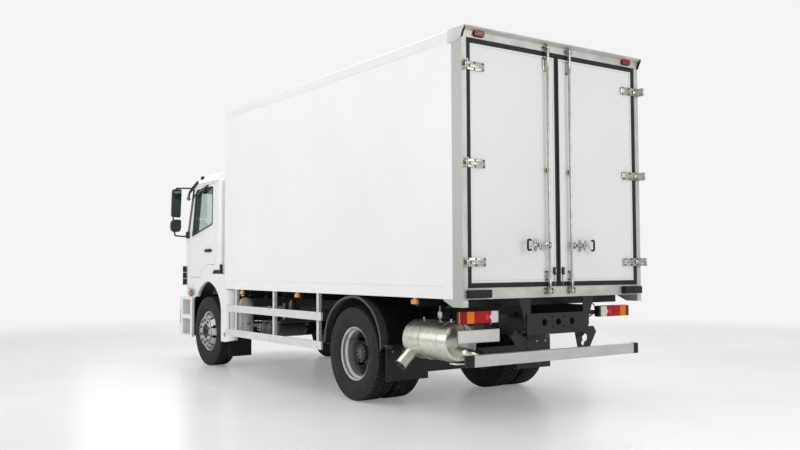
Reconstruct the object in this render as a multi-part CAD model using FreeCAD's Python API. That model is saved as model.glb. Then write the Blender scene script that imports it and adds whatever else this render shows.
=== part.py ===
"""Two-axle rigid truck with a day cab and a hinged-door refrigerated box body.

Lengths are millimetres. While a piece is made, x is the distance forward of the box body's rear
face, y is to the left of the centre line and z is the height above the ground. export() moves every
piece so that the origin lies on the ground under the middle of the truck's outer box.
"""
import FreeCAD, Part
import math
import os

Vector = FreeCAD.Vector

# Running gear
WHEELBASE = 4300.0
REAR_AXLE_X = 1988.0
FRONT_AXLE_X = REAR_AXLE_X + WHEELBASE
TYRE_RADIUS = 522.0
TYRE_WIDTH = 295.0
RIM_SEAT_RADIUS = 286.0
FRONT_WHEEL_Y = 1033.0
REAR_OUTER_WHEEL_Y = 1090.0
DUAL_SPACING = 335.0
HUB_BORE = 62.0
SPINDLE_CLEARANCE = 1.0
KINGPIN_Y = 850.0
KINGPIN_RADIUS = 24.0
PIN_CLEARANCE = 0.4
STEER_ARM_BACK = 215.0
TRACK_ROD_Z = 415.0
TRACK_ROD_RADIUS = 19.0

# Ladder frame
RAIL_OUTER_Y = 432.0
RAIL_TOP_Z = 1020.0
RAIL_HEIGHT = 220.0
RAIL_FLANGE = 70.0
RAIL_WEB = 8.0
RAIL_REAR_X = 15.0
RAIL_FRONT_X = 7180.0

# Box body
BOX_LENGTH = 5556.0
BOX_HALF_WIDTH = 1250.0
BOX_UNDERSIDE_Z = 1180.0
BOX_TOP_Z = 3767.0
SIDE_WALL = 85.0
ROOF_THICKNESS = 100.0
FLOOR_TOP_Z = 1300.0
FRONT_WALL = 100.0
CORNER_RADIUS = 95.0
EDGE_RAIL_DEPTH = 117.0
EDGE_RAIL_WIDTH = 100.0

# Rear portal and its doors
PORTAL_DEPTH = 153.0
PORTAL_STEP_X = 95.0
POST_INNER_Y = 1190.0
POST_REBATE_Y = 1150.0
SILL_TOP_Z = 1287.0
HEADER_BOTTOM_Z = 3665.0
REBATE_LAP = 40.0
HEADER_LIP = 56.0
SEAL_CLEARANCE = 5.0
SEAL_WIDTH = 42.0
SEAL_DEPTH = 70.0
CENTRE_SEAL_DEPTH = 24.0
CENTRE_SEAL_WIDTH = 24.0
DOOR_FACE_X = 8.0
CARGO_DOOR_THICKNESS = 80.0
CARGO_PIN_OUT = 75.0
CARGO_PIN_Y = 1245.0
CARGO_PIN_RADIUS = 7.0
CARGO_KNUCKLE_RADIUS = 15.0
CARGO_HINGE_Z = (1530.0, 2465.0, 3395.0)
CARGO_HINGE_HEIGHT = 82.0
LOCK_ROD_Y = 155.0
LOCK_ROD_RADIUS = 15.0
LOCK_ROD_OUT = 30.0
LOCK_ROD_BOTTOM_Z = 1212.0
LOCK_ROD_TOP_Z = 3728.0
HANDLE_Z = 1700.0

# Cab
CAB_REAR_X = 5890.0
CAB_FRONT_X = 7556.0
CAB_HALF_WIDTH = 1140.0
CAB_SKIN = 45.0
CAB_FLOOR_Z = 1335.0
CAB_LOW_Z = 1042.0
CAB_REAR_LOW_Z = 1400.0
CAB_BELT_Z = 1980.0
CAB_GUTTER_Z = 2800.0
CAB_ROOF_Z = 2965.0
WINDSCREEN_LEAN = 0.34
CAB_CORNER = 400.0
CAB_CROWN = 40.0
CAB_REAR_CORNER = 65.0
TILT_X = 7520.0
TILT_Z = 1008.0
TILT_PIN_RADIUS = 18.0
DOOR_THICKNESS = 58.0
DOOR_REAR_X = 6085.0
DOOR_FRONT_X = 7080.0
DOOR_BOTTOM_Z = 1340.0
DOOR_ARCH_Z = 1535.0
DOOR_TOP_Z = 2765.0
DOOR_GAP = 6.0
DOOR_PIN_AHEAD = 28.0
DOOR_PIN_IN = 4.0
GLASS = 6.0

# Cladding, guards and lamps
ARCH_HALF_LENGTH = 567.0
ARCH_TOP_Z = 1283.0
ARCH_SPRING_Z = 820.0
LINER_HALF_LENGTH = 634.0
LINER_TOP_Z = 1275.0
LINER_SHEET = 6.0
LINER_WALL_GAP_Y = 1072.0
SKIRT_BOTTOM_Z = 405.0
SKIRT_OUTER_Y = 1195.0
SKIRT_REAR_X = 5450.0
SKIRT_BEND_X = 5610.0
GUARD_OUTER_Y = 1250.0
GUARD_REAR_X = 2660.0
GUARD_FRONT_X = 5420.0
GUARD_RAIL_HEIGHT = 97.0
GUARD_LOW_Z = 515.0
BUMPER_FRONT_X = 7620.0
BUMPER_TOP_Z = 962.0
BUMPER_BOTTOM_Z = 395.0
UNDERRUN_HALF_WIDTH = 1205.0
UNDERRUN_Z = 599.0
UNDERRUN_HEIGHT = 110.0
SEAT_GAP = 0.3

REARMOST_X = -(CARGO_PIN_OUT + CARGO_KNUCKLE_RADIUS)
ORIGIN_X = (BUMPER_FRONT_X + REARMOST_X) / 2

# Frame fittings and springs
CAB_REST_X = 5895.0
CAB_REST_DEPTH = 50.0
CAB_REST_Z = CAB_REAR_LOW_Z - 6.0
CROSSMEMBERS_X = (1250.0, 2720.0, 3950.0, 5000.0, 7060.0)
CROSS_WIDTH = 70.0
CROSS_BOTTOM_Z = 870.0
PLATE_HOLE_Y = 194.0
PLATE_HOLE_RADIUS = 35.0
COUPLING_Z = 930.0
COUPLING_Y = 160.0
COUPLING_HEIGHT = 100.0
COUPLING_BOLT_RADIUS = 10.5
UNDERRUN_DEPTH = 62.0
LAMP_INNER_Y = 728.0
LAMP_OUTER_Y = 1184.0
LAMP_Z = 1003.0
LAMP_HEIGHT = 112.0
LAMP_FACE_X = 105.0
LAMP_BACK_X = 165.0
MUDGUARD_RADIUS = 645.0
BEARER_HEIGHT = 90.0
RUNNER_HEIGHT = BOX_UNDERSIDE_Z - RAIL_TOP_Z - BEARER_HEIGHT
BEARERS_X = (300.0, 800.0, 1300.0, 1800.0, 2250.0, 2740.0, 3250.0, 3750.0, 4250.0, 4750.0, 5130.0, 5430.0)
BEARER_LONG = 1180.0
BEARER_LONG_END_X = 5200.0
BEARER_SHORT = 560.0
SPRING_INNER_Y = 448.0
SPRING_OUTER_Y = 534.0
SPRING_SEAT_Z = 600.0
SPRING_LEAF = 17.0
FRONT_SPRING_INNER_Y = 372.0
FRONT_SPRING_OUTER_Y = 462.0
FRONT_SEAT_Z = 590.0

# Wheels and steering parts
RIM_BARREL = [(298.5, -111), (298.5, -104), (286, -101), (286, -60), (264, -40), (264, 22), (286, 55),
              (286, 101), (298.5, 104), (298.5, 111), (289, 111), (277, 99), (277, 62), (255, 30),
              (255, -46), (277, -68), (277, -99), (289, -111)]
RIM_DISC = [(268, 44), (254, 64), (222, 134), (206, 155), (108, 155), (108, 167.5), (208, 167.5),
            (232, 146), (264, 78), (272, 52)]
HAND_HOLE_CIRCLE = 238.0
HAND_HOLE_RADIUS = 23.0
HAND_HOLES = 10
KNUCKLE_Y = 902.0
KNUCKLE_PLATE = 28.0
LUG_HEIGHT = 44.0
LUG_GAP = 4.0
BALL_PIN_RADIUS = 13.0
OPEN_PIVOT = 2.0

# Box details
EDGE_FILLET = 22.0
SILL_BOTTOM_Z = 1180.0
POST_FOOT_Z = 1106.0
GUSSET_X = 298.0
FOOT_WALL = 8.0
FIELD_EDGE = 22.0

# Cargo door leaves
SEAL_OUTER_Y = POST_INNER_Y - SEAL_CLEARANCE
SEAL_LOW_Z = SILL_TOP_Z + SEAL_CLEARANCE
SEAL_HIGH_Z = HEADER_BOTTOM_Z - SEAL_CLEARANCE
SEAL_FACE_X = 2.0
LEAF_THICKNESS = 10.0
LEAF_INNER_Y = 972.0
PANEL_OUTER_Y = SEAL_OUTER_Y - SEAL_WIDTH
PANEL_INNER_Y = SEAL_CLEARANCE + CENTRE_SEAL_WIDTH
PANEL_LOW_Z = SEAL_LOW_Z + SEAL_WIDTH
PANEL_HIGH_Z = SEAL_HIGH_Z - SEAL_WIDTH
KNUCKLE_HALF = 19.0
BRACKET_GAP = 2.5
GRAB_X = 70.0
GRAB_OUT_Y = 1284.0
GRAB_LOW_Z = 1905.0
GRAB_HIGH_Z = 2150.0

# Cooler, silencer and canister
COOLER_LOW_Z = 3075.0
COOLER_HIGH_Z = 3700.0
COOLER_DEPTH = 430.0
COOLER_HALF_WIDTH = 860.0
SILENCER_Y = 950.0
SILENCER_Z = 742.0
SILENCER_RADIUS = 200.0
SILENCER_REAR_X = 400.0
SILENCER_FRONT_X = 1150.0
SILENCER_SEAM_X = 858.0
OUTLET_X = 1085.0
OUTLET_RADIUS = 63.0
CANISTER_X = 5185.0
CANISTER_Y = 1040.0
CANISTER_RADIUS = 100.0
UNDERRUN_CAP = 90.0

# Skirts, flaps, steps and lamps
APRON_LOW_Z = 345.0
LINER_LOW_Z = 412.0
LINER_INNER_Y = 885.0
LINER_OUTER_Y = 1148.0
FRONT_FLAP_X = 5560.0
SHUT_X = 6170.0
STEP_REAR_X = FRONT_AXLE_X + ARCH_HALF_LENGTH + 5
STEP_TOP_Z = 1030.0
BUMPER_WALL = 38.0
BUMPER_CORNER = 300.0
STEP_BACK_X = 6940.0
STEP_FRONT_X = 7270.0
STEP_WINDOWS = ((420.0, 680.0), (735.0, 985.0))
LAMP_BACK_EDGE_X = 7385.0
HEADER_LAMP_INNER_Y = 984.0
HEADER_LAMP_OUTER_Y = 1106.0
LAMP_WINDOW_Y = (690.0, 1300.0)
LAMP_WINDOW_Z = (600.0, 800.0)

# Cab openings
DOOR_OUTLINE = [(DOOR_REAR_X, DOOR_ARCH_Z), (DOOR_REAR_X + 285, DOOR_ARCH_Z),
                (DOOR_REAR_X + 425, DOOR_ARCH_Z - 40), (DOOR_REAR_X + 535, DOOR_ARCH_Z - 100),
                (DOOR_REAR_X + 615, DOOR_BOTTOM_Z),
                (DOOR_FRONT_X, DOOR_BOTTOM_Z), (DOOR_FRONT_X, 2040.0),
                (DOOR_FRONT_X - 175, DOOR_TOP_Z), (DOOR_REAR_X, DOOR_TOP_Z)]
WINDOW_OUTLINE = [(6195.0, 2158.0), (6985.0, 1998.0), (6860.0, 2640.0), (6815.0, 2708.0), (6185.0, 2722.0)]
CAB_HINGE_Z = (1480.0, 1900.0)
ROOF_SLOPE_LENGTH = 270.0
ROOF_SLOPE_WIDTH = 180.0
SCREEN_LOW_Z = 2010.0
SCREEN_HIGH_Z = 2735.0
GRILLE_PROUD = 18.0
GRILLE_HALF_WIDTH = 960.0
GRILLE_LOW_Z = 1180.0
GRILLE_HIGH_Z = 1580.0


def block(x0, x1, y0, y1, z0, z1):
    """A box between two opposite corners."""
    return Part.makeBox(x1 - x0, y1 - y0, z1 - z0, Vector(x0, y0, z0))


def rod(start, end, radius):
    """A cylinder between two points."""
    start = Vector(*start)
    way = Vector(*end) - start
    return Part.makeCylinder(radius, way.Length, start, way)


def ring(start, end, outer, inner):
    """A round tube between two points."""
    return rod(start, end, outer).cut(rod(start, end, inner))


def plate_xz(points, y0, y1):
    """A flat piece whose outline lies in the side view, from y0 to y1."""
    wire = Part.makePolygon([Vector(x, y0, z) for x, z in points + points[:1]])
    return Part.Face(wire).extrude(Vector(0, y1 - y0, 0))


def plate_yz(points, x0, x1):
    """A flat piece whose outline lies in the rear view, from x0 to x1."""
    wire = Part.makePolygon([Vector(x0, y, z) for y, z in points + points[:1]])
    return Part.Face(wire).extrude(Vector(x1 - x0, 0, 0))


def plate_xy(points, z0, z1):
    """A flat piece whose outline lies in the plan view, from z0 to z1."""
    wire = Part.makePolygon([Vector(x, y, z0) for x, y in points + points[:1]])
    return Part.Face(wire).extrude(Vector(0, 0, z1 - z0))


def mirrored(shape):
    """The same piece on the right-hand side."""
    return shape.mirror(Vector(0, 0, 0), Vector(0, 1, 0))


def both(shape):
    """The left-hand piece and its right-hand twin."""
    return [shape, mirrored(shape)]


def fused(shapes):
    """One solid from pieces that meet, with flush faces made one."""
    first = shapes[0]
    if len(shapes) > 1:
        first = first.multiFuse(shapes[1:])
    return first.removeSplitter()


def bent_tube(points, radius, bend):
    """A round tube along straight runs joined by tangent arcs in one path."""
    points = [Vector(*point) for point in points]
    edges = []
    start = points[0]
    for index in range(1, len(points) - 1):
        corner = points[index]
        back = (points[index - 1] - corner).normalize()
        ahead = (points[index + 1] - corner).normalize()
        half = math.acos(max(-1.0, min(1.0, back.dot(ahead)))) / 2
        reach = bend / math.tan(half)
        arc_start = corner + back * reach
        arc_end = corner + ahead * reach
        middle = corner + (back + ahead).normalize() * (bend / math.sin(half) - bend)
        edges.append(Part.LineSegment(start, arc_start).toShape())
        edges.append(Part.Arc(arc_start, middle, arc_end).toShape())
        start = arc_end
    edges.append(Part.LineSegment(start, points[-1]).toShape())
    path = Part.Wire(edges)
    section = Part.Wire(Part.makeCircle(radius, points[0], points[1] - points[0]))
    return path.makePipeShell([section], True, False)


def turned(profile, x, y, z, side=1):
    """A piece of revolution about an axle: profile points are (radius, distance out from y)."""
    points = [Vector(x + radius, y + out * side, z) for radius, out in profile + profile[:1]]
    face = Part.Face(Part.makePolygon(points))
    return face.revolve(Vector(x, y, z), Vector(0, 1, 0), 360)


def around_axle(x, y, z, radius, count, start=0.0):
    """Points evenly spaced on a circle about an axle."""
    for index in range(count):
        angle = start + 2 * math.pi * index / count
        yield x + radius * math.cos(angle), y, z + radius * math.sin(angle)


def export(name, shapes):
    """Write one node, moved to the truck's own origin."""
    solids = []
    for shape in shapes:
        shape = shape.copy()
        shape.translate(Vector(-ORIGIN_X, 0, 0))
        for solid in shape.Solids:
            if solid.Volume < 0:
                solid.reverse()
            solids.append(solid)
    whole = solids[0] if len(solids) == 1 else Part.makeCompound(solids)
    whole.exportStep("parts/" + name + ".step")
    box = whole.BoundBox
    print(f"{name:20s} {len(solids):2d} solids, faces {len(whole.Faces):4d}, valid {whole.isValid()},"
          f" x {box.XMin:.0f} {box.XMax:.0f}, y {box.YMin:.0f} {box.YMax:.0f},"
          f" z {box.ZMin:.0f} {box.ZMax:.0f}")


# Ladder frame and what it carries


def chassis_frame():
    """Two channel rails, their crossmembers, the coupling plate, lamp arms and guard brackets."""
    bottom = RAIL_TOP_Z - RAIL_HEIGHT
    pieces = []
    for side in (1, -1):
        outer = RAIL_OUTER_Y * side
        web = (RAIL_OUTER_Y - RAIL_WEB) * side
        edge = (RAIL_OUTER_Y - RAIL_FLANGE) * side
        outline = [(outer, bottom), (outer, RAIL_TOP_Z), (edge, RAIL_TOP_Z), (edge, RAIL_TOP_Z - RAIL_WEB),
                   (web, RAIL_TOP_Z - RAIL_WEB), (web, bottom + RAIL_WEB), (edge, bottom + RAIL_WEB),
                   (edge, bottom)]
        pieces.append(plate_yz(outline, RAIL_REAR_X, RAIL_FRONT_X))
    reach = RAIL_OUTER_Y - RAIL_WEB
    for x in CROSSMEMBERS_X:
        web = block(x, x + 8, -reach, reach, CROSS_BOTTOM_Z, RAIL_TOP_Z - RAIL_WEB)
        top = block(x, x + CROSS_WIDTH, -reach, reach, RAIL_TOP_Z - 2 * RAIL_WEB, RAIL_TOP_Z - RAIL_WEB)
        low = block(x, x + CROSS_WIDTH, -reach, reach, CROSS_BOTTOM_Z, CROSS_BOTTOM_Z + 8)
        pieces += [web, top, low]
    plate = block(RAIL_REAR_X, RAIL_REAR_X + 12, -RAIL_OUTER_Y, RAIL_OUTER_Y, bottom + 10, RAIL_TOP_Z)
    for y in (-PLATE_HOLE_Y, 0, PLATE_HOLE_Y):
        plate = plate.cut(rod((0, y, COUPLING_Z), (60, y, COUPLING_Z), PLATE_HOLE_RADIUS))
    for y in (-COUPLING_Y / 2, COUPLING_Y / 2):
        for z in (COUPLING_Z - COUPLING_HEIGHT / 2, COUPLING_Z + COUPLING_HEIGHT / 2):
            plate = plate.cut(rod((0, y, z), (60, y, z), COUPLING_BOLT_RADIUS))
    pieces.append(plate)
    for side in (1, -1):
        gusset = plate_yz([(366 * side, BOX_UNDERSIDE_Z), (532 * side, BOX_UNDERSIDE_Z),
                           (455 * side, RAIL_TOP_Z - 60), (372 * side, RAIL_TOP_Z - 60)], 27, 35)
        pieces.append(gusset)
        pieces.append(block(27, 35, min(372 * side, 455 * side), max(372 * side, 455 * side),
                            RAIL_TOP_Z - 140, RAIL_TOP_Z - 60))
        hanger = plate_yz([(300 * side, 860), (560 * side, 860), (600 * side, 800),
                           (440 * side, UNDERRUN_Z - 50), (350 * side, UNDERRUN_Z - 50),
                           (290 * side, 800)], UNDERRUN_DEPTH + SEAT_GAP, UNDERRUN_DEPTH + 12)
        slot = rod((0, 430 * side, 745), (120, 430 * side, 745), 42)
        slot = slot.fuse(rod((0, 400 * side, 690), (120, 400 * side, 690), 26))
        pieces.append(hanger.cut(slot))
        pieces.append(block(27, UNDERRUN_DEPTH + 4, min(372 * side, 500 * side),
                            max(372 * side, 500 * side), 835, 855))
        low, high = sorted((430 * side, LAMP_OUTER_Y * side * 0.86))
        arm = block(LAMP_BACK_X + SEAT_GAP, LAMP_BACK_X + 26, low, high, LAMP_Z - 28, LAMP_Z + 15)
        pieces.append(arm)
    for side in (1, -1):
        low, high = sorted(((RAIL_OUTER_Y - RAIL_FLANGE) * side, RAIL_OUTER_Y * side))
        horn = plate_xz([(RAIL_FRONT_X - 160, 900), (RAIL_FRONT_X, 900), (TILT_X - 60, TILT_Z - 34),
                         (TILT_X + 20, TILT_Z - 34), (TILT_X + 27, TILT_Z), (TILT_X, TILT_Z + 25),
                         (TILT_X - 80, TILT_Z + 20), (RAIL_FRONT_X - 160, RAIL_TOP_Z)], low, high)
        pieces.append(horn)
        pin_out = (RAIL_OUTER_Y + 34) * side
        pieces.append(rod((TILT_X, low, TILT_Z), (TILT_X, pin_out, TILT_Z), TILT_PIN_RADIUS)
                      if side > 0 else rod((TILT_X, high, TILT_Z), (TILT_X, pin_out, TILT_Z),
                                           TILT_PIN_RADIUS))
        pieces.append(block(CAB_REST_X, CAB_REST_X + CAB_REST_DEPTH, low, high,
                            RAIL_TOP_Z - RAIL_WEB, CAB_REST_Z))
    pieces.append(block(CAB_REST_X, CAB_REST_X + CAB_REST_DEPTH, -RAIL_OUTER_Y, RAIL_OUTER_Y,
                        CAB_REST_Z - 64, CAB_REST_Z))
    return [fused(pieces)]


def box_bearers():
    """Two runners on the rails and the cross bearers that carry the box floor."""
    low, high = RAIL_TOP_Z, RAIL_TOP_Z + RUNNER_HEIGHT
    pieces = []
    for side in (1, -1):
        inner, outer = sorted(((RAIL_OUTER_Y - RAIL_FLANGE) * side, RAIL_OUTER_Y * side))
        pieces.append(block(60, BOX_LENGTH - 60, inner, outer, low, high))
    for x in BEARERS_X:
        over_wheel = abs(x + 30 - REAR_AXLE_X) < MUDGUARD_RADIUS + 40
        behind_cab = x > BEARER_LONG_END_X
        reach = BEARER_SHORT if over_wheel or behind_cab else BEARER_LONG
        web = block(x, x + 8, -reach, reach, high, BOX_UNDERSIDE_Z)
        top = block(x, x + 60, -reach, reach, BOX_UNDERSIDE_Z - 8, BOX_UNDERSIDE_Z)
        foot = block(x, x + 60, -reach, reach, high, high + 8)
        pieces += [web, top, foot]
    return [fused(pieces)]


def rear_axle():
    """Banjo casing with its spindles, brake drums' backs and spring pads."""
    x, z = REAR_AXLE_X, TYRE_RADIUS
    spindle = HUB_BORE - SPINDLE_CLEARANCE
    pieces = [rod((x, -560, z), (x, 560, z), 70)]
    for side in (1, -1):
        pieces.append(rod((x, 550 * side, z), (x, 590 * side, z), 120))
        pieces.append(rod((x, 550 * side, z), (x, 900 * side, z), spindle))
        low, high = sorted((SPRING_INNER_Y * side, SPRING_OUTER_Y * side))
        pieces.append(block(x - 75, x + 75, low, high, z, SPRING_SEAT_Z))
    banjo = Part.makeSphere(205, Vector(x, 0, z))
    banjo = banjo.common(block(x - 150, x + 210, -180, 180, z - 205, z + 205))
    nose = Part.makeCone(130, 75, 130, Vector(x + 150, 0, z), Vector(1, 0, 0))
    return [fused(pieces + [banjo, nose])]


def leaf_pack(x, seat_z, half_length, rise, y0, y1, leaves):
    """A pack of leaves: each leaf is an arc, and each one below is shorter."""
    pieces = []
    for leaf in range(leaves):
        z = seat_z + SPRING_LEAF * (leaves - 1 - leaf)
        half = half_length * (1 - 0.17 * leaf)
        lift = rise * (half / half_length) ** 2
        low = [Vector(x - half, y0, z + lift), Vector(x, y0, z), Vector(x + half, y0, z + lift)]
        up = Vector(0, 0, SPRING_LEAF)
        edges = [Part.Arc(*low).toShape(),
                 Part.LineSegment(low[2], low[2] + up).toShape(),
                 Part.Arc(*[point + up for point in low]).toShape(),
                 Part.LineSegment(low[0] + up, low[0]).toShape()]
        pieces.append(Part.Face(Part.Wire(Part.__sortEdges__(edges))).extrude(Vector(0, y1 - y0, 0)))
    eye_z = seat_z + SPRING_LEAF * (leaves - 0.5) + rise
    for end in (-1, 1):
        pieces.append(rod((x + end * (half_length + 18), y0, eye_z),
                          (x + end * (half_length + 18), y1, eye_z), 30))
    return pieces, eye_z


def leaf_springs():
    """Four spring packs with the hangers that hold their eyes to the rails."""
    solids = []
    packs = ((REAR_AXLE_X, SPRING_SEAT_Z, 700.0, 75.0, SPRING_INNER_Y, SPRING_OUTER_Y, 5),
             (FRONT_AXLE_X, FRONT_SEAT_Z, 720.0, 60.0, FRONT_SPRING_INNER_Y, FRONT_SPRING_OUTER_Y, 3))
    for x, seat, half, rise, y0, y1, leaves in packs:
        pieces, eye_z = leaf_pack(x, seat + SEAT_GAP, half, rise, y0, y1, leaves)
        for end in (-1, 1):
            eye_x = x + end * (half + 18)
            if y0 > RAIL_OUTER_Y:
                hanger = plate_xz([(eye_x - 40, eye_z - 30), (eye_x + 40, eye_z - 30),
                                   (eye_x + 70, RAIL_TOP_Z - 20), (eye_x - 70, RAIL_TOP_Z - 20)],
                                  RAIL_OUTER_Y + SEAT_GAP, y0 + 12)
            else:
                hanger = plate_xz([(eye_x - 34, eye_z - 30), (eye_x + 34, eye_z - 30),
                                   (eye_x + 60, RAIL_TOP_Z - RAIL_HEIGHT - SEAT_GAP),
                                   (eye_x - 60, RAIL_TOP_Z - RAIL_HEIGHT - SEAT_GAP)],
                                  y0, RAIL_OUTER_Y)
            pieces.append(hanger)
        solids += both(fused(pieces))
    return solids


def front_axle():
    """Dropped beam with an eye for the kingpin at each end."""
    x, z = FRONT_AXLE_X, TYRE_RADIUS
    outline = [(-KINGPIN_Y, z - 45), (-KINGPIN_Y + 110, z - 45), (-560, z - 135), (560, z - 135),
               (KINGPIN_Y - 110, z - 45), (KINGPIN_Y, z - 45), (KINGPIN_Y, z + 45),
               (KINGPIN_Y - 130, z + 45), (570, z - 35), (-570, z - 35), (-KINGPIN_Y + 130, z + 45),
               (-KINGPIN_Y, z + 45)]
    beam = plate_yz(outline, x - 48, x + 48)
    for side in (1, -1):
        beam = beam.fuse(rod((x, KINGPIN_Y * side, z - 45), (x, KINGPIN_Y * side, z + 45), 48))
        end = block(x - 60, x + 60, KINGPIN_Y, KINGPIN_Y + 60, z - 60, z + 60)
        beam = beam.cut((end if side > 0 else mirrored(end)).cut(
            rod((x, KINGPIN_Y * side, z - 60), (x, KINGPIN_Y * side, z + 60), 48)))
        beam = beam.cut(rod((x, KINGPIN_Y * side, z - 60), (x, KINGPIN_Y * side, z + 60),
                            KINGPIN_RADIUS + PIN_CLEARANCE))
        low, high = sorted((FRONT_SPRING_INNER_Y * side, FRONT_SPRING_OUTER_Y * side))
        beam = beam.fuse(block(x - 65, x + 65, low, high, z - 60, FRONT_SEAT_Z))
    return [beam.removeSplitter()]


def driveline():
    """Engine and gearbox as one plain mass, with the propeller shaft to the rear axle."""
    engine = block(5980, 6830, -320, 320, 650, 1245)
    gearbox = plate_xz([(5230, 720), (5981, 660), (5981, 1000), (5230, 900)], -185, 185)
    shaft = rod((REAR_AXLE_X + 288, 0, TYRE_RADIUS + 20), (5231, 0, 800), 46)
    lugs = []
    for x in (6060, 6680):
        for side in (1, -1):
            low, high = sorted((310 * side, (RAIL_OUTER_Y - RAIL_WEB - SEAT_GAP) * side))
            lugs.append(block(x, x + 90, low, high, RAIL_TOP_Z - 150, RAIL_TOP_Z - 60))
    return [fused([engine, gearbox, shaft] + lugs)]


# Wheels, tyres and steering


def rim(x, y, z, side, first_hole=0.0):
    """One steel disc wheel: drop-centre barrel and a dished disc with round hand holes."""
    barrel = turned(RIM_BARREL, x, y, z, side)
    disc = turned(RIM_DISC, x, y, z, side)
    wheel = barrel.fuse(disc)
    holes = []
    for hx, hy, hz in around_axle(x, y, z, HAND_HOLE_CIRCLE, HAND_HOLES, first_hole):
        holes.append(rod((hx, hy + 60 * side, hz), (hx, hy + 180 * side, hz), HAND_HOLE_RADIUS))
    return wheel.cut(Part.makeCompound(holes))


def front_wheel(side):
    """Convex front wheel with its hub and brake drum."""
    x, y, z = FRONT_AXLE_X, FRONT_WHEEL_Y * side, TYRE_RADIUS
    hub = [(0, 186), (74, 186), (92, 178), (98, 160), (112, 160), (112, -92), (HUB_BORE, -92),
           (HUB_BORE, 130), (0, 130)]
    drum = [(108, -20), (205, -20), (205, -92), (190, -92), (190, -34), (108, -34)]
    face = rim(x, y, z, side, math.pi / HAND_HOLES)
    return fused([face, turned(hub, x, y, z, side), turned(drum, x, y, z, side)])


def rear_wheels(side):
    """Dual rear wheels back to back on one hub and drum."""
    x, z = REAR_AXLE_X, TYRE_RADIUS
    outer_y = REAR_OUTER_WHEEL_Y * side
    inner_y = (REAR_OUTER_WHEEL_Y - DUAL_SPACING) * side
    middle_y = (REAR_OUTER_WHEEL_Y - DUAL_SPACING / 2) * side
    hub = [(0, 207), (52, 207), (54, 200), (96, 200), (101, 194), (101, 150), (112, 140), (112, 28),
           (132, 28), (132, 0), (112, 0), (112, -270), (HUB_BORE, -270), (HUB_BORE, -12), (0, -12)]
    drum = [(108, -14), (205, -14), (205, -270), (190, -270), (190, -28), (108, -28)]
    return fused([rim(x, outer_y, z, -side), rim(x, inner_y, z, side),
                  turned(hub, x, middle_y, z, side), turned(drum, x, middle_y, z, side)])


def tyre(x, y):
    """One tyre: beads between the rim's flanges, bulged sidewalls, crowned tread."""
    half = TYRE_WIDTH / 2
    bead = RIM_SEAT_RADIUS + SEAT_GAP
    crown = TYRE_RADIUS

    def at(radius, out):
        return Vector(x + radius, y + out, TYRE_RADIUS)

    right = [at(bead, 100), at(299, 101), at(300, half - 33), at(385, half), at(crown - 32, half - 13),
             at(crown - 8, half - 20), at(crown - 2, half - 42)]
    left = [Vector(point.x, 2 * y - point.y, point.z) for point in right]
    edges = [Part.LineSegment(left[0], right[0]).toShape(),
             Part.LineSegment(right[0], right[1]).toShape(),
             Part.LineSegment(right[1], right[2]).toShape(),
             Part.Arc(right[2], right[3], right[4]).toShape(),
             Part.Arc(right[4], right[5], right[6]).toShape(),
             Part.Arc(right[6], at(crown, 0), left[6]).toShape(),
             Part.Arc(left[6], left[5], left[4]).toShape(),
             Part.Arc(left[4], left[3], left[2]).toShape(),
             Part.LineSegment(left[2], left[1]).toShape(),
             Part.LineSegment(left[1], left[0]).toShape()]
    face = Part.Face(Part.Wire(edges))
    return face.revolve(Vector(x, y, TYRE_RADIUS), Vector(0, 1, 0), 360)


def knuckle(side):
    """Forked knuckle with its kingpin, stub axle and steering arm."""
    x, y, z = FRONT_AXLE_X, KINGPIN_Y * side, TYRE_RADIUS
    out = KNUCKLE_Y * side
    face = (KNUCKLE_Y + KNUCKLE_PLATE) * side
    top = z + 45 + LUG_GAP
    bottom = z - 45 - LUG_GAP
    pieces = [rod((x, out, z), (x, face, z), 105),
              rod((x, out, z), (x, (FRONT_WHEEL_Y + 118) * side, z), HUB_BORE - SPINDLE_CLEARANCE),
              rod((x, y, bottom - LUG_HEIGHT), (x, y, top + LUG_HEIGHT), KINGPIN_RADIUS)]
    low, high = sorted((y, face))
    for base in (top, bottom - LUG_HEIGHT):
        pieces.append(rod((x, y, base), (x, y, base + LUG_HEIGHT), 44))
        pieces.append(block(x - 42, x + 42, low, high, base, base + LUG_HEIGHT))
    base = bottom - LUG_HEIGHT
    end_x = x - STEER_ARM_BACK
    pieces.append(block(end_x, x, y - 22, y + 22, base, base + 30))
    pieces.append(rod((end_x, y, base), (end_x, y, base + 30), 32))
    pieces.append(rod((end_x, y, TRACK_ROD_Z - 18), (end_x, y, base + 10), BALL_PIN_RADIUS))
    return [fused(pieces)]


def track_rod():
    """Tie between the two steering arms, with an eye at each end."""
    x = FRONT_AXLE_X - STEER_ARM_BACK
    z = TRACK_ROD_Z
    pieces = [rod((x, -KINGPIN_Y + 20, z), (x, KINGPIN_Y - 20, z), TRACK_ROD_RADIUS - 1)]
    for side in (1, -1):
        pieces.append(rod((x, KINGPIN_Y * side, z - 9), (x, KINGPIN_Y * side, z + 9), 32))
        pieces.append(rod((x, (KINGPIN_Y - 150) * side, z), (x, (KINGPIN_Y - 62) * side, z), 24))
    whole = fused(pieces)
    whole = whole.cut(rod((x, KINGPIN_Y, z - 40), (x, KINGPIN_Y, z + 40), BALL_PIN_RADIUS + PIN_CLEARANCE))
    whole = whole.cut(block(x - 60, x + 60, KINGPIN_Y - 52, KINGPIN_Y + 40, z + 9, z + 40))
    whole = whole.cut(block(x - 60, x + 60, -KINGPIN_Y - 40, -KINGPIN_Y + 52, z + 9, z + 40))
    return [whole.cut(rod((x, -KINGPIN_Y, z - 40), (x, -KINGPIN_Y, z + 40), BALL_PIN_RADIUS + OPEN_PIVOT))]


# Refrigerated box


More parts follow.
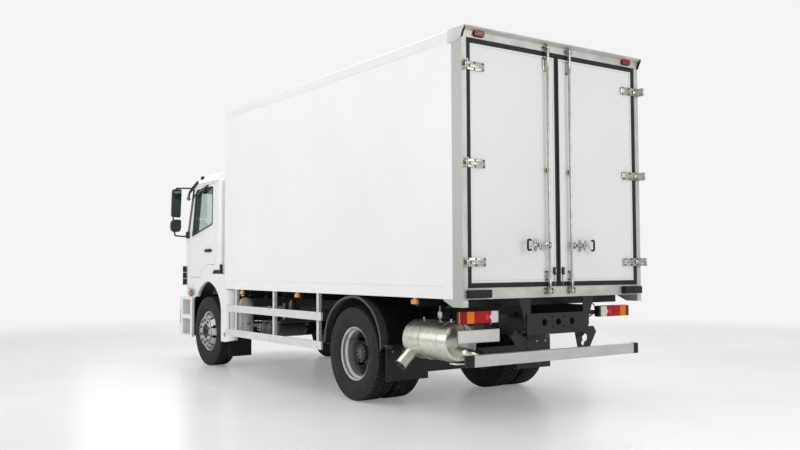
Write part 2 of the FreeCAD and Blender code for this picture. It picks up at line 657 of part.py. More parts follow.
def box_floor():
    """Insulated floor between the portal and the front wall."""
    return [block(PORTAL_DEPTH, BOX_LENGTH - FRONT_WALL, -BOX_HALF_WIDTH + SIDE_WALL,
                  BOX_HALF_WIDTH - SIDE_WALL, BOX_UNDERSIDE_Z, FLOOR_TOP_Z)]


def box_sides():
    """Side walls from the portal to the front corner posts."""
    wall = block(PORTAL_DEPTH, BOX_LENGTH - EDGE_RAIL_WIDTH, BOX_HALF_WIDTH - SIDE_WALL, BOX_HALF_WIDTH,
                 BOX_UNDERSIDE_Z, BOX_TOP_Z - EDGE_RAIL_DEPTH)
    return both(wall)


def box_front_wall():
    """Front wall between the corner posts, under the front edge rail."""
    reach = BOX_HALF_WIDTH - EDGE_RAIL_WIDTH
    return [block(BOX_LENGTH - FRONT_WALL, BOX_LENGTH, -reach, reach, BOX_UNDERSIDE_Z,
                  BOX_TOP_Z - EDGE_RAIL_DEPTH)]


def box_roof():
    """Roof panel between the edge rails."""
    reach = BOX_HALF_WIDTH - EDGE_RAIL_WIDTH
    return [block(PORTAL_DEPTH, BOX_LENGTH - EDGE_RAIL_WIDTH, -reach, reach,
                  BOX_TOP_Z - ROOF_THICKNESS, BOX_TOP_Z)]


def rounded_column():
    """Front corner post: an upright with a quarter-round outer edge."""
    x1, y1 = BOX_LENGTH, BOX_HALF_WIDTH
    x0, y0 = x1 - EDGE_RAIL_WIDTH, y1 - EDGE_RAIL_WIDTH
    r = CORNER_RADIUS
    z = BOX_UNDERSIDE_Z
    bend = r * (1 - math.sqrt(0.5))
    edges = [Part.LineSegment(Vector(x0, y0, z), Vector(x1, y0, z)).toShape(),
             Part.LineSegment(Vector(x1, y0, z), Vector(x1, y1 - r, z)).toShape(),
             Part.Arc(Vector(x1, y1 - r, z), Vector(x1 - bend, y1 - bend, z),
                      Vector(x1 - r, y1, z)).toShape(),
             Part.LineSegment(Vector(x1 - r, y1, z), Vector(x0, y1, z)).toShape(),
             Part.LineSegment(Vector(x0, y1, z), Vector(x0, y0, z)).toShape()]
    return Part.Face(Part.Wire(edges)).extrude(Vector(0, 0, BOX_TOP_Z - z))


def box_edge_trim():
    """Front corner posts and the rails along the roof's two sides and front, in one frame."""
    low = BOX_TOP_Z - EDGE_RAIL_DEPTH
    pieces = []
    for column in both(rounded_column()):
        pieces.append(column)
    rail = block(PORTAL_DEPTH, BOX_LENGTH - EDGE_RAIL_WIDTH, BOX_HALF_WIDTH - EDGE_RAIL_WIDTH,
                 BOX_HALF_WIDTH, low, BOX_TOP_Z)
    pieces += both(rail)
    pieces.append(block(BOX_LENGTH - EDGE_RAIL_WIDTH, BOX_LENGTH, -BOX_HALF_WIDTH + EDGE_RAIL_WIDTH,
                        BOX_HALF_WIDTH - EDGE_RAIL_WIDTH, low, BOX_TOP_Z))
    whole = fused(pieces)
    round_edges = []
    for edge in whole.Edges:
        box = edge.BoundBox
        if box.ZLength < 1 and abs(box.ZMin - BOX_TOP_Z) < 1:
            along_side = box.YLength < 1 and abs(abs(box.YMin) - BOX_HALF_WIDTH) < 1
            along_front = box.XLength < 1 and abs(box.XMin - BOX_LENGTH) < 1
            corner = box.XMin > BOX_LENGTH - CORNER_RADIUS - 1 and box.XLength > 1 and box.YLength > 1
            if along_side or along_front or corner:
                round_edges.append(edge)
    return [whole.makeFillet(EDGE_FILLET, round_edges)]


def rear_portal():
    """Door frame: stepped posts, sill and a header with a rain lip."""
    outer = BOX_HALF_WIDTH
    step = PORTAL_STEP_X
    post = [(0, outer), (PORTAL_DEPTH, outer), (PORTAL_DEPTH, POST_REBATE_Y), (step, POST_REBATE_Y),
            (step, POST_INNER_Y), (0, POST_INNER_Y)]
    pieces = both(plate_xy(post, SILL_BOTTOM_Z, BOX_TOP_Z))
    foot = plate_xz([(0, POST_FOOT_Z), (PORTAL_DEPTH, POST_FOOT_Z), (GUSSET_X, BOX_UNDERSIDE_Z - 14),
                     (GUSSET_X, BOX_UNDERSIDE_Z), (0, BOX_UNDERSIDE_Z), ], POST_INNER_Y, outer)
    foot = foot.cut(block(-1, GUSSET_X + 1, POST_INNER_Y + FOOT_WALL, outer - FOOT_WALL,
                          POST_FOOT_Z - 1, SILL_BOTTOM_Z - 12))
    pieces += both(foot)
    sill = [(0, SILL_BOTTOM_Z), (0, SILL_TOP_Z), (step, SILL_TOP_Z), (step, SILL_TOP_Z + REBATE_LAP),
            (PORTAL_DEPTH, SILL_TOP_Z + REBATE_LAP), (PORTAL_DEPTH, SILL_BOTTOM_Z)]
    pieces.append(plate_xz(sill, -POST_INNER_Y, POST_INNER_Y))
    header = [(0, HEADER_BOTTOM_Z), (0, HEADER_BOTTOM_Z + 16), (-10, HEADER_BOTTOM_Z + 62),
              (-HEADER_LIP, BOX_TOP_Z - 12), (-HEADER_LIP, BOX_TOP_Z), (PORTAL_DEPTH, BOX_TOP_Z),
              (PORTAL_DEPTH, HEADER_BOTTOM_Z - REBATE_LAP), (step, HEADER_BOTTOM_Z - REBATE_LAP),
              (step, HEADER_BOTTOM_Z)]
    pieces.append(plate_xz(header, -outer, outer))
    return [fused(pieces)]


# Cargo doors


def cargo_door():
    """Left door leaf: an insulated slab with a shallow frame moulding round its outer face."""
    x0, x1 = DOOR_FACE_X, DOOR_FACE_X + CARGO_DOOR_THICKNESS
    slab = block(x0, x1, PANEL_INNER_Y, PANEL_OUTER_Y, PANEL_LOW_Z, PANEL_HIGH_Z)
    field = block(x0 - 1, x0 + 2, PANEL_INNER_Y + FIELD_EDGE, PANEL_OUTER_Y - FIELD_EDGE,
                  PANEL_LOW_Z + FIELD_EDGE, PANEL_HIGH_Z - FIELD_EDGE)
    return [slab.cut(field)]


def cargo_seal():
    """Left door's rubber seal: deep on three edges and a thin lip on the centre line."""
    ring_block = block(SEAL_FACE_X, SEAL_DEPTH, SEAL_CLEARANCE, SEAL_OUTER_Y, SEAL_LOW_Z, SEAL_HIGH_Z)
    slab = block(SEAL_FACE_X - 1, SEAL_DEPTH + 1, PANEL_INNER_Y, PANEL_OUTER_Y, PANEL_LOW_Z, PANEL_HIGH_Z)
    relief = block(SEAL_FACE_X + CENTRE_SEAL_DEPTH, SEAL_DEPTH + 1, SEAL_CLEARANCE - 1, PANEL_INNER_Y,
                   SEAL_LOW_Z - 1, SEAL_HIGH_Z + 1)
    return [ring_block.cut(slab).cut(relief)]


def lock_gear():
    """Left door's hinge leaves, lock rod with its guides and cams, handle and retainer."""
    solids = []
    pin_x = -CARGO_PIN_OUT
    for z in CARGO_HINGE_Z:
        half = CARGO_HINGE_HEIGHT / 2
        leaf = plate_xy([(DOOR_FACE_X, LEAF_INNER_Y), (-LEAF_THICKNESS, LEAF_INNER_Y),
                         (-LEAF_THICKNESS, PANEL_OUTER_Y + 8), (SEAL_FACE_X - SEAT_GAP, PANEL_OUTER_Y + 8),
                         (SEAL_FACE_X - SEAT_GAP, PANEL_OUTER_Y), (DOOR_FACE_X, PANEL_OUTER_Y)],
                        z - half, z + half)
        arm = plate_xy([(-LEAF_THICKNESS, PANEL_OUTER_Y - 30), (-LEAF_THICKNESS, PANEL_OUTER_Y + 8),
                        (pin_x + 4, CARGO_PIN_Y - 10), (pin_x + 14, CARGO_PIN_Y + 3),
                        (-2, PANEL_OUTER_Y + 34), (SEAL_FACE_X - SEAT_GAP, PANEL_OUTER_Y + 30),
                        (SEAL_FACE_X - SEAT_GAP, PANEL_OUTER_Y - 30)], z - KNUCKLE_HALF, z + KNUCKLE_HALF)
        arm = arm.cut(block(DOOR_FACE_X - 30, DOOR_FACE_X + 30, PANEL_OUTER_Y - 60, PANEL_OUTER_Y - 29,
                            z - 50, z + 50))
        eye = rod((pin_x, CARGO_PIN_Y, z - KNUCKLE_HALF), (pin_x, CARGO_PIN_Y, z + KNUCKLE_HALF),
                  CARGO_KNUCKLE_RADIUS)
        ribs = [block(-LEAF_THICKNESS - 8, -LEAF_THICKNESS + 1, LEAF_INNER_Y + 14, PANEL_OUTER_Y - 10,
                      z + dz - 5, z + dz + 5) for dz in (-30, 30)]
        hinge = fused([leaf, arm, eye] + ribs)
        bore = rod((pin_x, CARGO_PIN_Y, z - 60), (pin_x, CARGO_PIN_Y, z + 60),
                   CARGO_PIN_RADIUS + PIN_CLEARANCE)
        solids.append(hinge.cut(bore))
    x, y = -LOCK_ROD_OUT, LOCK_ROD_Y
    pieces = [rod((x, y, LOCK_ROD_BOTTOM_Z), (x, y, LOCK_ROD_TOP_Z), LOCK_ROD_RADIUS)]
    for low, high in ((1352, 1430), (2425, 2490), (3505, 3600)):
        pieces.append(rod((x, y, low), (x, y, high), LOCK_ROD_RADIUS + 6))
        pieces.append(block(x, 0, y - 15, y + 15, low, high))
        pieces.append(block(-8, DOOR_FACE_X + 2, y - 42, y + 42, low + 8, high - 8))
    for low, high in ((1228, 1256), (3690, 3716)):
        pieces.append(block(x - 15, x + 15, y - 18, y + 18, low, high))
    pieces.append(rod((x, y, HANDLE_Z - 34), (x, y, HANDLE_Z + 34), LOCK_ROD_RADIUS + 8))
    pieces.append(block(-50, -38, y, 450, HANDLE_Z - 11, HANDLE_Z + 11))
    grip = block(-50, -38, 440, 508, HANDLE_Z - 55, HANDLE_Z + 55)
    grip = grip.cut(block(-60, -30, 458, 490, HANDLE_Z - 38, HANDLE_Z + 38))
    pieces.append(grip)
    pieces.append(block(-36, DOOR_FACE_X + 2, 300, 330, HANDLE_Z - 60, HANDLE_Z + 62))
    pieces.append(block(-50, -30, 296, 334, HANDLE_Z + 11, HANDLE_Z + 26))
    pieces.append(block(-50, -30, 296, 334, HANDLE_Z - 26, HANDLE_Z - 11))
    solids.append(fused(pieces))
    solids.append(block(-18, DOOR_FACE_X, 44, 74, 1400, 1477))
    return solids


def portal_fittings():
    """Fixed hinge brackets with their pins, the rods' keepers and the side grab rail."""
    solids = []
    pin_x = -CARGO_PIN_OUT
    half = CARGO_HINGE_HEIGHT / 2
    near = KNUCKLE_HALF + BRACKET_GAP
    for z in CARGO_HINGE_Z:
        pieces = [block(-8, 0, POST_INNER_Y + 6, BOX_HALF_WIDTH, z - half - 5, z + half + 5),
                  rod((pin_x, CARGO_PIN_Y, z - half), (pin_x, CARGO_PIN_Y, z + half), CARGO_PIN_RADIUS)]
        for low, high in ((z - half, z - near), (z + near, z + half)):
            bracket = [(-4, POST_INNER_Y + 14), (-4, BOX_HALF_WIDTH), (pin_x + 4, CARGO_PIN_Y + 14),
                       (pin_x - 8, CARGO_PIN_Y - 4), (pin_x + 6, CARGO_PIN_Y - 12)]
            pieces.append(plate_xy(bracket, low, high))
            pieces.append(rod((pin_x, CARGO_PIN_Y, low), (pin_x, CARGO_PIN_Y, high), CARGO_KNUCKLE_RADIUS))
        solids += both(fused(pieces))
    for low, high in ((1214, 1274), (3683, 3722)):
        for y in (LOCK_ROD_Y - 34, LOCK_ROD_Y + 24):
            depth = -46 if low < 2000 else -30
            piece = block(depth, 0, y, y + 10, low, high)
            if low > 2000:
                room = [(0, 3600), (0, HEADER_BOTTOM_Z + 16), (-10, HEADER_BOTTOM_Z + 62),
                        (-HEADER_LIP, BOX_TOP_Z - 12), (-HEADER_LIP, 3800), (40, 3800), (40, 3600)]
                piece = piece.cut(plate_xz(room, y - 5, y + 20))
            solids += both(piece)
    rail = bent_tube([(GRAB_X, -BOX_HALF_WIDTH, GRAB_LOW_Z), (GRAB_X, -GRAB_OUT_Y, GRAB_LOW_Z),
                      (GRAB_X, -GRAB_OUT_Y, GRAB_HIGH_Z), (GRAB_X, -BOX_HALF_WIDTH, GRAB_HIGH_Z)], 9, 16)
    solids.append(rail)
    return solids


# Equipment on the frame


def cooling_unit():
    """Refrigeration unit on the front wall over the cab, with the evaporator inside the box."""
    x = BOX_LENGTH + SEAT_GAP
    profile = [(x, COOLER_LOW_Z + 10), (x + 300, COOLER_LOW_Z), (x + COOLER_DEPTH - 40, COOLER_LOW_Z + 60),
               (x + COOLER_DEPTH, COOLER_LOW_Z + 200), (x + COOLER_DEPTH - 30, COOLER_HIGH_Z - 90),
               (x + COOLER_DEPTH - 130, COOLER_HIGH_Z), (x, COOLER_HIGH_Z)]
    case = plate_xz(profile, -COOLER_HALF_WIDTH, COOLER_HALF_WIDTH)
    upright = [edge for edge in case.Edges
               if edge.BoundBox.YLength < 1 and edge.BoundBox.XMin > x + 250 and edge.BoundBox.ZLength > 60]
    case = case.makeFillet(40, upright)
    for z in range(int(COOLER_LOW_Z) + 230, int(COOLER_HIGH_Z) - 140, 46):
        case = case.cut(block(x + COOLER_DEPTH - 38, x + COOLER_DEPTH + 60, -520, 520, z, z + 24))
    inner = BOX_LENGTH - FRONT_WALL - SEAT_GAP
    evaporator = plate_xz([(inner, 3330), (inner - 320, 3380), (inner - 360, 3560), (inner - 360, 3640),
                           (inner, 3640)], -640, 640)
    return [case, evaporator]


def silencer():
    """Stainless silencer drum with straps, hangers, elbow and an outlet pipe."""
    y, z, r = SILENCER_Y, SILENCER_Z, SILENCER_RADIUS
    drum = rod((SILENCER_REAR_X, y, z), (SILENCER_FRONT_X, y, z), r)
    drum = drum.makeFillet(26, [edge for edge in drum.Edges if edge.BoundBox.XLength < 1])
    pieces = [drum, rod((SILENCER_SEAM_X - 3, y, z), (SILENCER_SEAM_X + 3, y, z), r + 4)]
    for x in (SILENCER_REAR_X + 150, SILENCER_FRONT_X - 130):
        pieces.append(block(x - 22, x + 22, RAIL_OUTER_Y + SEAT_GAP, y - r * 0.7, z + 100, z + 150))
        pieces.append(block(x - 22, x + 22, RAIL_OUTER_Y + SEAT_GAP, RAIL_OUTER_Y + 12, z + 80, z + 240))
    outlet_top = Vector(OUTLET_X, y + 70, z - 90)
    outlet_end = Vector(OUTLET_X, 1208, 478)
    pieces.append(rod(outlet_top, outlet_end, OUTLET_RADIUS))
    inlet_x = SILENCER_REAR_X - 112
    pieces.append(bent_tube([(SILENCER_REAR_X + 10, y, z - 92), (inlet_x, y, z - 92), (inlet_x, 690, 532),
                             (SILENCER_REAR_X + 300, 590, 640), (SILENCER_FRONT_X - 30, 590, 650)], 46, 60))
    pieces.append(rod((SILENCER_REAR_X - 14, y, z - 92), (SILENCER_REAR_X + 4, y, z - 92), 62))
    bore = rod(outlet_end - (outlet_end - outlet_top) * 0.5, outlet_end + (outlet_end - outlet_top) * 0.1,
               OUTLET_RADIUS - 4)
    return [fused(pieces).cut(bore)]


def fuel_tank():
    """Rounded fuel tank on the right-hand rail with two straps."""
    tank = block(2900, 4230, -1130, -540, 440, 990)
    tank = tank.makeFillet(85, [edge for edge in tank.Edges if edge.BoundBox.XLength > 100])
    cap = rod((3960, -900, 985), (3960, -900, 1022), 55)
    pieces = [tank, cap]
    for x in (3130, 3940):
        strap = block(x, x + 60, -1136, -534, 434, 996)
        strap = strap.makeFillet(90, [edge for edge in strap.Edges if edge.BoundBox.XLength > 50])
        pieces.append(strap)
        pieces.append(block(x - 10, x + 70, -560, -RAIL_OUTER_Y - SEAT_GAP, 640, 960))
    return [fused(pieces)]


def air_tanks():
    """Three compressed-air tanks under the left rail, side by side."""
    solids = []
    for x in (4170, 4362, 4554):
        tank = rod((x, 640, 655), (x, 1105, 655), 92)
        tank = tank.makeFillet(55, [edge for edge in tank.Edges if edge.BoundBox.YLength < 1])
        solids.append(tank)
    shelf = block(4070, 4655, RAIL_OUTER_Y + SEAT_GAP, 1060, 744, 762)
    web = block(4070, 4655, RAIL_OUTER_Y + SEAT_GAP, RAIL_OUTER_Y + 12, 744, 930)
    return [fused(solids + [shelf, web])]


def side_boxes():
    """Battery box on the right and an upright canister on the left, each on rail arms."""
    battery = block(4450, 5080, -1120, -600, 540, 1000)
    battery = battery.makeFillet(18, [edge for edge in battery.Edges if edge.BoundBox.ZLength > 100])
    battery = fused([battery, block(4500, 5030, -610, -RAIL_OUTER_Y - SEAT_GAP, 820, 900)])
    x, y = CANISTER_X, CANISTER_Y
    outline = [(0, 565), (CANISTER_RADIUS - 8, 565), (CANISTER_RADIUS, 573), (CANISTER_RADIUS, 985),
               (CANISTER_RADIUS - 10, 1008), (70, 1044), (62, 1050), (0, 1050)]
    points = [Vector(x + radius, y, z) for radius, z in outline + outline[:1]]
    canister = Part.Face(Part.makePolygon(points)).revolve(Vector(x, y, 0), Vector(0, 0, 1), 360)
    for z in (640, 880):
        canister = canister.fuse(block(x - 30, x + 30, RAIL_OUTER_Y + SEAT_GAP, y, z, z + 40))
    canister = canister.fuse(block(x - 30, x + 30, RAIL_OUTER_Y + SEAT_GAP, RAIL_OUTER_Y + 12, 640, 960))
    return [battery, canister.removeSplitter()]


def side_guards():
    """Two rails a side on posts that hang from the box bearers."""
    rear, front = GUARD_REAR_X, GUARD_FRONT_X
    pieces = []
    for low in (515, 858):
        pieces.append(block(rear, front, GUARD_OUTER_Y - 25, GUARD_OUTER_Y, low, low + GUARD_RAIL_HEIGHT))
    for x in (rear + 100, 3925, 5100):
        pieces.append(block(x, x + 50, GUARD_OUTER_Y - 65, GUARD_OUTER_Y - 24,
                            GUARD_LOW_Z, BOX_UNDERSIDE_Z - SEAT_GAP))
    pieces.append(block(front - 50, front, GUARD_OUTER_Y - 50, GUARD_OUTER_Y - 24, 515, 955))
    return both(fused(pieces))


def underrun_guard():
    """Rear underrun bar: a hollow extrusion."""
    low, high = UNDERRUN_Z - UNDERRUN_HEIGHT / 2, UNDERRUN_Z + UNDERRUN_HEIGHT / 2
    reach = UNDERRUN_HALF_WIDTH - UNDERRUN_CAP
    bar = block(0, UNDERRUN_DEPTH, -reach, reach, low, high)
    bar = bar.makeFillet(8, [edge for edge in bar.Edges if edge.BoundBox.YLength > 100])
    return [bar]


def rear_buffers():
    """Rubber dock buffers on the sill and the moulded caps on the underrun bar's ends."""
    pad = block(-60, -SEAT_GAP, 936, 1208, 1192, 1270)
    pad = pad.makeFillet(14, [edge for edge in pad.Edges if edge.BoundBox.XMax < -50])
    low, high = UNDERRUN_Z - UNDERRUN_HEIGHT / 2, UNDERRUN_Z + UNDERRUN_HEIGHT / 2
    cap = block(0, UNDERRUN_DEPTH, UNDERRUN_HALF_WIDTH - UNDERRUN_CAP + SEAT_GAP,
                UNDERRUN_HALF_WIDTH, low, high)
    cap = cap.makeChamfer(18, [edge for edge in cap.Edges if edge.BoundBox.YMin > UNDERRUN_HALF_WIDTH - 1])
    return both(pad) + both(cap)


def tail_lamps():
    """Long lamp housings with a rounded outer end, one on each lamp arm."""
    low, high = LAMP_Z - LAMP_HEIGHT / 2, LAMP_Z + LAMP_HEIGHT / 2
    lamp = block(LAMP_FACE_X, LAMP_BACK_X, LAMP_INNER_Y, LAMP_OUTER_Y, low, high)
    ends = [edge for edge in lamp.Edges
            if edge.BoundBox.ZLength > 50 and edge.BoundBox.YMin > LAMP_OUTER_Y - 1]
    lamp = lamp.makeFillet(26, ends)
    return both(lamp)


def marker_lamps():
    """Amber side markers that hang from the box's edge and red markers on the header."""
    solids = []
    for x in (836, 3343, 4975):
        lens = block(x - 48, x + 48, BEARER_LONG + 5, BEARER_LONG + 34, 1112, 1158)
        stalk = block(x - 30, x + 30, BEARER_LONG + 8, BEARER_LONG + 24, 1150, BOX_UNDERSIDE_Z - SEAT_GAP)
        solids += both(fused([lens, stalk]))
    profile = [(-2.5, 3688), (-10.8, 3727), (-22.5, 3734), (-30, 3734), (-30, 3690), (-26, 3686)]
    header = plate_xz(profile, HEADER_LAMP_INNER_Y, HEADER_LAMP_OUTER_Y)
    return solids + both(header)


# Mudguards, skirts, bumper and steps


def arch_points(half, rise, low_z, steps=14):
    """Points of an arch over the front wheel from its rear foot over the top to its front foot."""
    points = [(FRONT_AXLE_X - half, low_z)]
    for index in range(steps + 1):
        angle = math.pi - math.pi * index / steps
        points.append((FRONT_AXLE_X + half * math.cos(angle), ARCH_SPRING_Z + rise * math.sin(angle)))
    points.append((FRONT_AXLE_X + half, low_z))
    return points


def arch_cutter(low_z, y0, y1):
    """A solid the size of the wheel arch's opening in the body."""
    return plate_xz(arch_points(ARCH_HALF_LENGTH, ARCH_TOP_Z - ARCH_SPRING_Z, low_z), y0, y1)


def liner_form(inset, low_z, y0, y1):
    """The wheel housing's outer form drawn in by inset: wider than the opening, for the steered tyre."""
    rise = LINER_TOP_Z - ARCH_SPRING_Z - inset
    return plate_xz(arch_points(LINER_HALF_LENGTH - inset, rise, low_z), y0, y1)


def rear_guard_points(radius_front, radius_rear, top, low_z, steps=14):
    """Points over the rear wheels: the rear half is drawn in more than the front half."""
    points = [(REAR_AXLE_X - radius_rear, low_z)]
    centre = 640.0
    for index in range(steps + 1):
        angle = math.pi - math.pi * index / steps
        reach = radius_rear if math.cos(angle) < 0 else radius_front
        points.append((REAR_AXLE_X + reach * math.cos(angle), centre + (top - centre) * math.sin(angle)))
    points.append((REAR_AXLE_X + radius_front, low_z))
    return points


def mudguards():
    """Front wheel liners, rear mudguards and all four flaps, on arms from the rails."""
    liner = liner_form(0, LINER_LOW_Z, LINER_INNER_Y, LINER_OUTER_Y)
    liner = liner.cut(liner_form(LINER_SHEET, LINER_LOW_Z - 1, LINER_INNER_Y - 1, LINER_OUTER_Y + 1))
    liner = liner.cut(block(FRONT_AXLE_X, 7000, LINER_WALL_GAP_Y, 1200, CAB_LOW_Z - 8, 1400))
    pieces = [liner]
    for x in (FRONT_AXLE_X - 570, FRONT_AXLE_X + 530):
        pieces.append(block(x, x + 40, RAIL_OUTER_Y - 50, LINER_INNER_Y + 60,
                            RAIL_TOP_Z + SEAT_GAP, RAIL_TOP_Z + 36))
    flap_x = FRONT_FLAP_X
    pieces.append(block(flap_x, flap_x + 12, 780, LINER_OUTER_Y - 13, 190, SKIRT_BOTTOM_Z + 40))
    pieces.append(block(flap_x, FRONT_AXLE_X - LINER_HALF_LENGTH + 4, LINER_INNER_Y, LINER_INNER_Y + 12,
                        SKIRT_BOTTOM_Z + 10, SKIRT_BOTTOM_Z + 120))
    front = fused(pieces)
    outer = plate_xz(rear_guard_points(646, 562, BOX_UNDERSIDE_Z - 10, 600), 600, 1222)
    inner = plate_xz(rear_guard_points(638, 554, BOX_UNDERSIDE_Z - 18, 590), 590, 1230)
    shell = outer.cut(inner)
    rim_out = plate_xz(rear_guard_points(650, 566, BOX_UNDERSIDE_Z - 6, 596), 1196, 1222)
    rim_in = plate_xz(rear_guard_points(622, 538, BOX_UNDERSIDE_Z - 34, 590), 1190, 1230)
    pieces = [shell, rim_out.cut(rim_in)]
    for x in (REAR_AXLE_X - 500, REAR_AXLE_X + 560):
        pieces.append(block(x, x + 40, RAIL_OUTER_Y + SEAT_GAP, 606, RAIL_TOP_Z - 36, RAIL_TOP_Z - 2))
        pieces.append(block(x, x + 40, 600, 640, RAIL_TOP_Z - 200, RAIL_TOP_Z - 2))
    rear_x = REAR_AXLE_X - 566
    pieces.append(block(rear_x - 66, rear_x - 54, 650, 1200, 275, 660))
    pieces.append(block(rear_x - 66, rear_x + 8, 650, 1200, 648, 660))
    apron = block(rear_x - 66, rear_x - 58, -660, 660, APRON_LOW_Z, 560)
    return both(front) + [fused(both(fused(pieces)) + [apron])]


def skirt_line(y):
    """Plan line of the skirt's face: straight beside the wheel, then curving in to its rear edge."""
    z = SKIRT_BOTTOM_Z
    return [Vector(FRONT_AXLE_X, y, z), Vector(SKIRT_BEND_X, y, z), Vector(SKIRT_BEND_X - 95, y - 28, z),
            Vector(SKIRT_REAR_X, y - 96, z)]


def cab_skirts():
    """White panels behind the front wheels, shaped to the arch, the cab's lower edge and the box."""
    top = BOX_UNDERSIDE_Z - 15
    cab_edge = CAB_REAR_LOW_Z - 8
    outline = [(SKIRT_REAR_X, SKIRT_BOTTOM_Z + 24), (SKIRT_REAR_X + 130, SKIRT_BOTTOM_Z),
               (FRONT_AXLE_X - 100, SKIRT_BOTTOM_Z), (FRONT_AXLE_X - 100, 1200),
               (SHUT_X + 118, ARCH_TOP_Z + 12), (SHUT_X - 5, cab_edge), (BOX_LENGTH + 24, cab_edge),
               (BOX_LENGTH + 24, top), (SKIRT_REAR_X, top)]
    outer = skirt_line(SKIRT_OUTER_Y)
    inner = skirt_line(LINER_OUTER_Y + SEAT_GAP)
    edges = [Part.LineSegment(outer[0], outer[1]).toShape(), Part.Arc(*outer[1:]).toShape(),
             Part.LineSegment(outer[3], inner[3]).toShape(), Part.Arc(*reversed(inner[1:])).toShape(),
             Part.LineSegment(inner[1], inner[0]).toShape(), Part.LineSegment(inner[0], outer[0]).toShape()]
    plan = Part.Face(Part.Wire(edges)).extrude(Vector(0, 0, CAB_REAR_LOW_Z - SKIRT_BOTTOM_Z))
    panel = plan.common(plate_xz(outline, 1000, 1300))
    panel = panel.cut(arch_cutter(100, 1000, 1300))
    panel = panel.cut(block(SHUT_X + 119, 8000, 1000, 1300, 0, 2000))
    return both(panel)


def front_outline(front_x, half_width, corner, crown, z, rear_x, rear_corner=0.0):
    """Closed plan outline: straight sides, round corners and a slightly bowed front."""
    start_x = front_x - corner
    nose_x = front_x - crown
    turn_y = half_width - (corner - crown) * 0.86
    middle_x = start_x + (nose_x - start_x) * 0.66
    middle_y = turn_y + (half_width - turn_y) * 0.72
    left = [Vector(start_x, half_width, z), Vector(middle_x, middle_y, z), Vector(nose_x, turn_y, z)]
    right = [Vector(point.x, -point.y, z) for point in left]
    bulge = rear_corner * (1 - math.sqrt(0.5))
    back = [Vector(rear_x, half_width - rear_corner, z),
            Vector(rear_x + bulge, half_width - bulge, z),
            Vector(rear_x + rear_corner, half_width, z)]
    back_right = [Vector(point.x, -point.y, z) for point in reversed(back)]
    edges = [Part.LineSegment(back[2], left[0]).toShape(),
             Part.Arc(*left).toShape(),
             Part.Arc(left[2], Vector(front_x, 0, z), right[2]).toShape(),
             Part.Arc(right[2], right[1], right[0]).toShape(),
             Part.LineSegment(right[0], back_right[0]).toShape(),
             Part.LineSegment(back_right[2], back[0]).toShape()]
    if rear_corner:
        edges.insert(5, Part.Arc(*back_right).toShape())
        edges.append(Part.Arc(*back).toShape())
    return Part.Wire(edges)


def bumper_block(inset):
    """The bumper's outer form, drawn in by inset on its front and sides."""
    wire = front_outline(BUMPER_FRONT_X - inset, SKIRT_OUTER_Y - inset, BUMPER_CORNER - inset, 46,
                         BUMPER_BOTTOM_Z, STEP_REAR_X)
    return Part.Face(wire).extrude(Vector(0, 0, STEP_TOP_Z - BUMPER_BOTTOM_Z))


def bumper_shell():
    """Wrap-round bumper before its openings are cut."""
    hollow = block(STEP_REAR_X - 10, STEP_REAR_X + 1, -2000, 2000, 0, 2000)
    shell = bumper_block(0).cut(bumper_block(BUMPER_WALL)).cut(hollow)
    ledge = bumper_block(BUMPER_WALL - 2).common(block(7150, 7700, -1000, 1000, 880, 912))
    step_down = block(TILT_X - 90, 8000, -2000, 2000, BUMPER_TOP_Z + 23, 2000)
    keep_rail = block(6000, 7600, -RAIL_OUTER_Y - 20, RAIL_OUTER_Y + 20, 860, 930)
    return shell.fuse(ledge.cut(keep_rail)).cut(step_down)


def lamp_window(grow):
    """The part of the bumper that a headlamp takes up."""
    return block(LAMP_BACK_EDGE_X - grow, 8000, LAMP_WINDOW_Y[0] - grow, LAMP_WINDOW_Y[1] + grow,
                 LAMP_WINDOW_Z[0] - grow, LAMP_WINDOW_Z[1] + grow)


def front_bumper():
    """White bumper that runs back round the corners to frame the steps."""
    shell = bumper_shell()
    cutters = []
    for low, high in STEP_WINDOWS:
        cutters += both(block(STEP_BACK_X, STEP_FRONT_X, SKIRT_OUTER_Y - 100, 1300, low, high))
    cutters += both(lamp_window(SEAT_GAP))
    cutters.append(block(7500, 8000, -560, 560, 640, 760))
    cutters.append(block(7500, 8000, -600, 600, 440, 560))
    shell = shell.cut(Part.makeCompound(cutters))
    carriers = []
    for side in (1, -1):
        low, high = sorted(((RAIL_OUTER_Y + SEAT_GAP) * side, (SKIRT_OUTER_Y - BUMPER_WALL + 1) * side))
        carriers.append(block(7080, 7140, low, high, 690, 728))
        low, high = sorted(((RAIL_OUTER_Y + SEAT_GAP) * side, (RAIL_OUTER_Y + 40) * side))
        carriers.append(block(7080, 7140, low, high, 690, 975))
    return [fused([shell] + carriers)]


def steps():
    """Grey tread trays set into the two step openings on each side."""
    solids = []
    for low, high in STEP_WINDOWS:
        tray = block(STEP_BACK_X + SEAT_GAP, STEP_FRONT_X - SEAT_GAP, 1020, SKIRT_OUTER_Y - 8,
                     low + SEAT_GAP, high - SEAT_GAP)
        room = block(STEP_BACK_X + 10, STEP_FRONT_X - 10, 1060, 1300, low + 14, high - 10)
        solids += both(tray.cut(room))
    return solids


def headlamps():
    """Lens blocks that fill the bumper's two lamp openings."""
    lamp = bumper_block(3).cut(bumper_block(BUMPER_WALL - 2)).common(lamp_window(0))
    return both(lamp.Solids[0])


# Cab


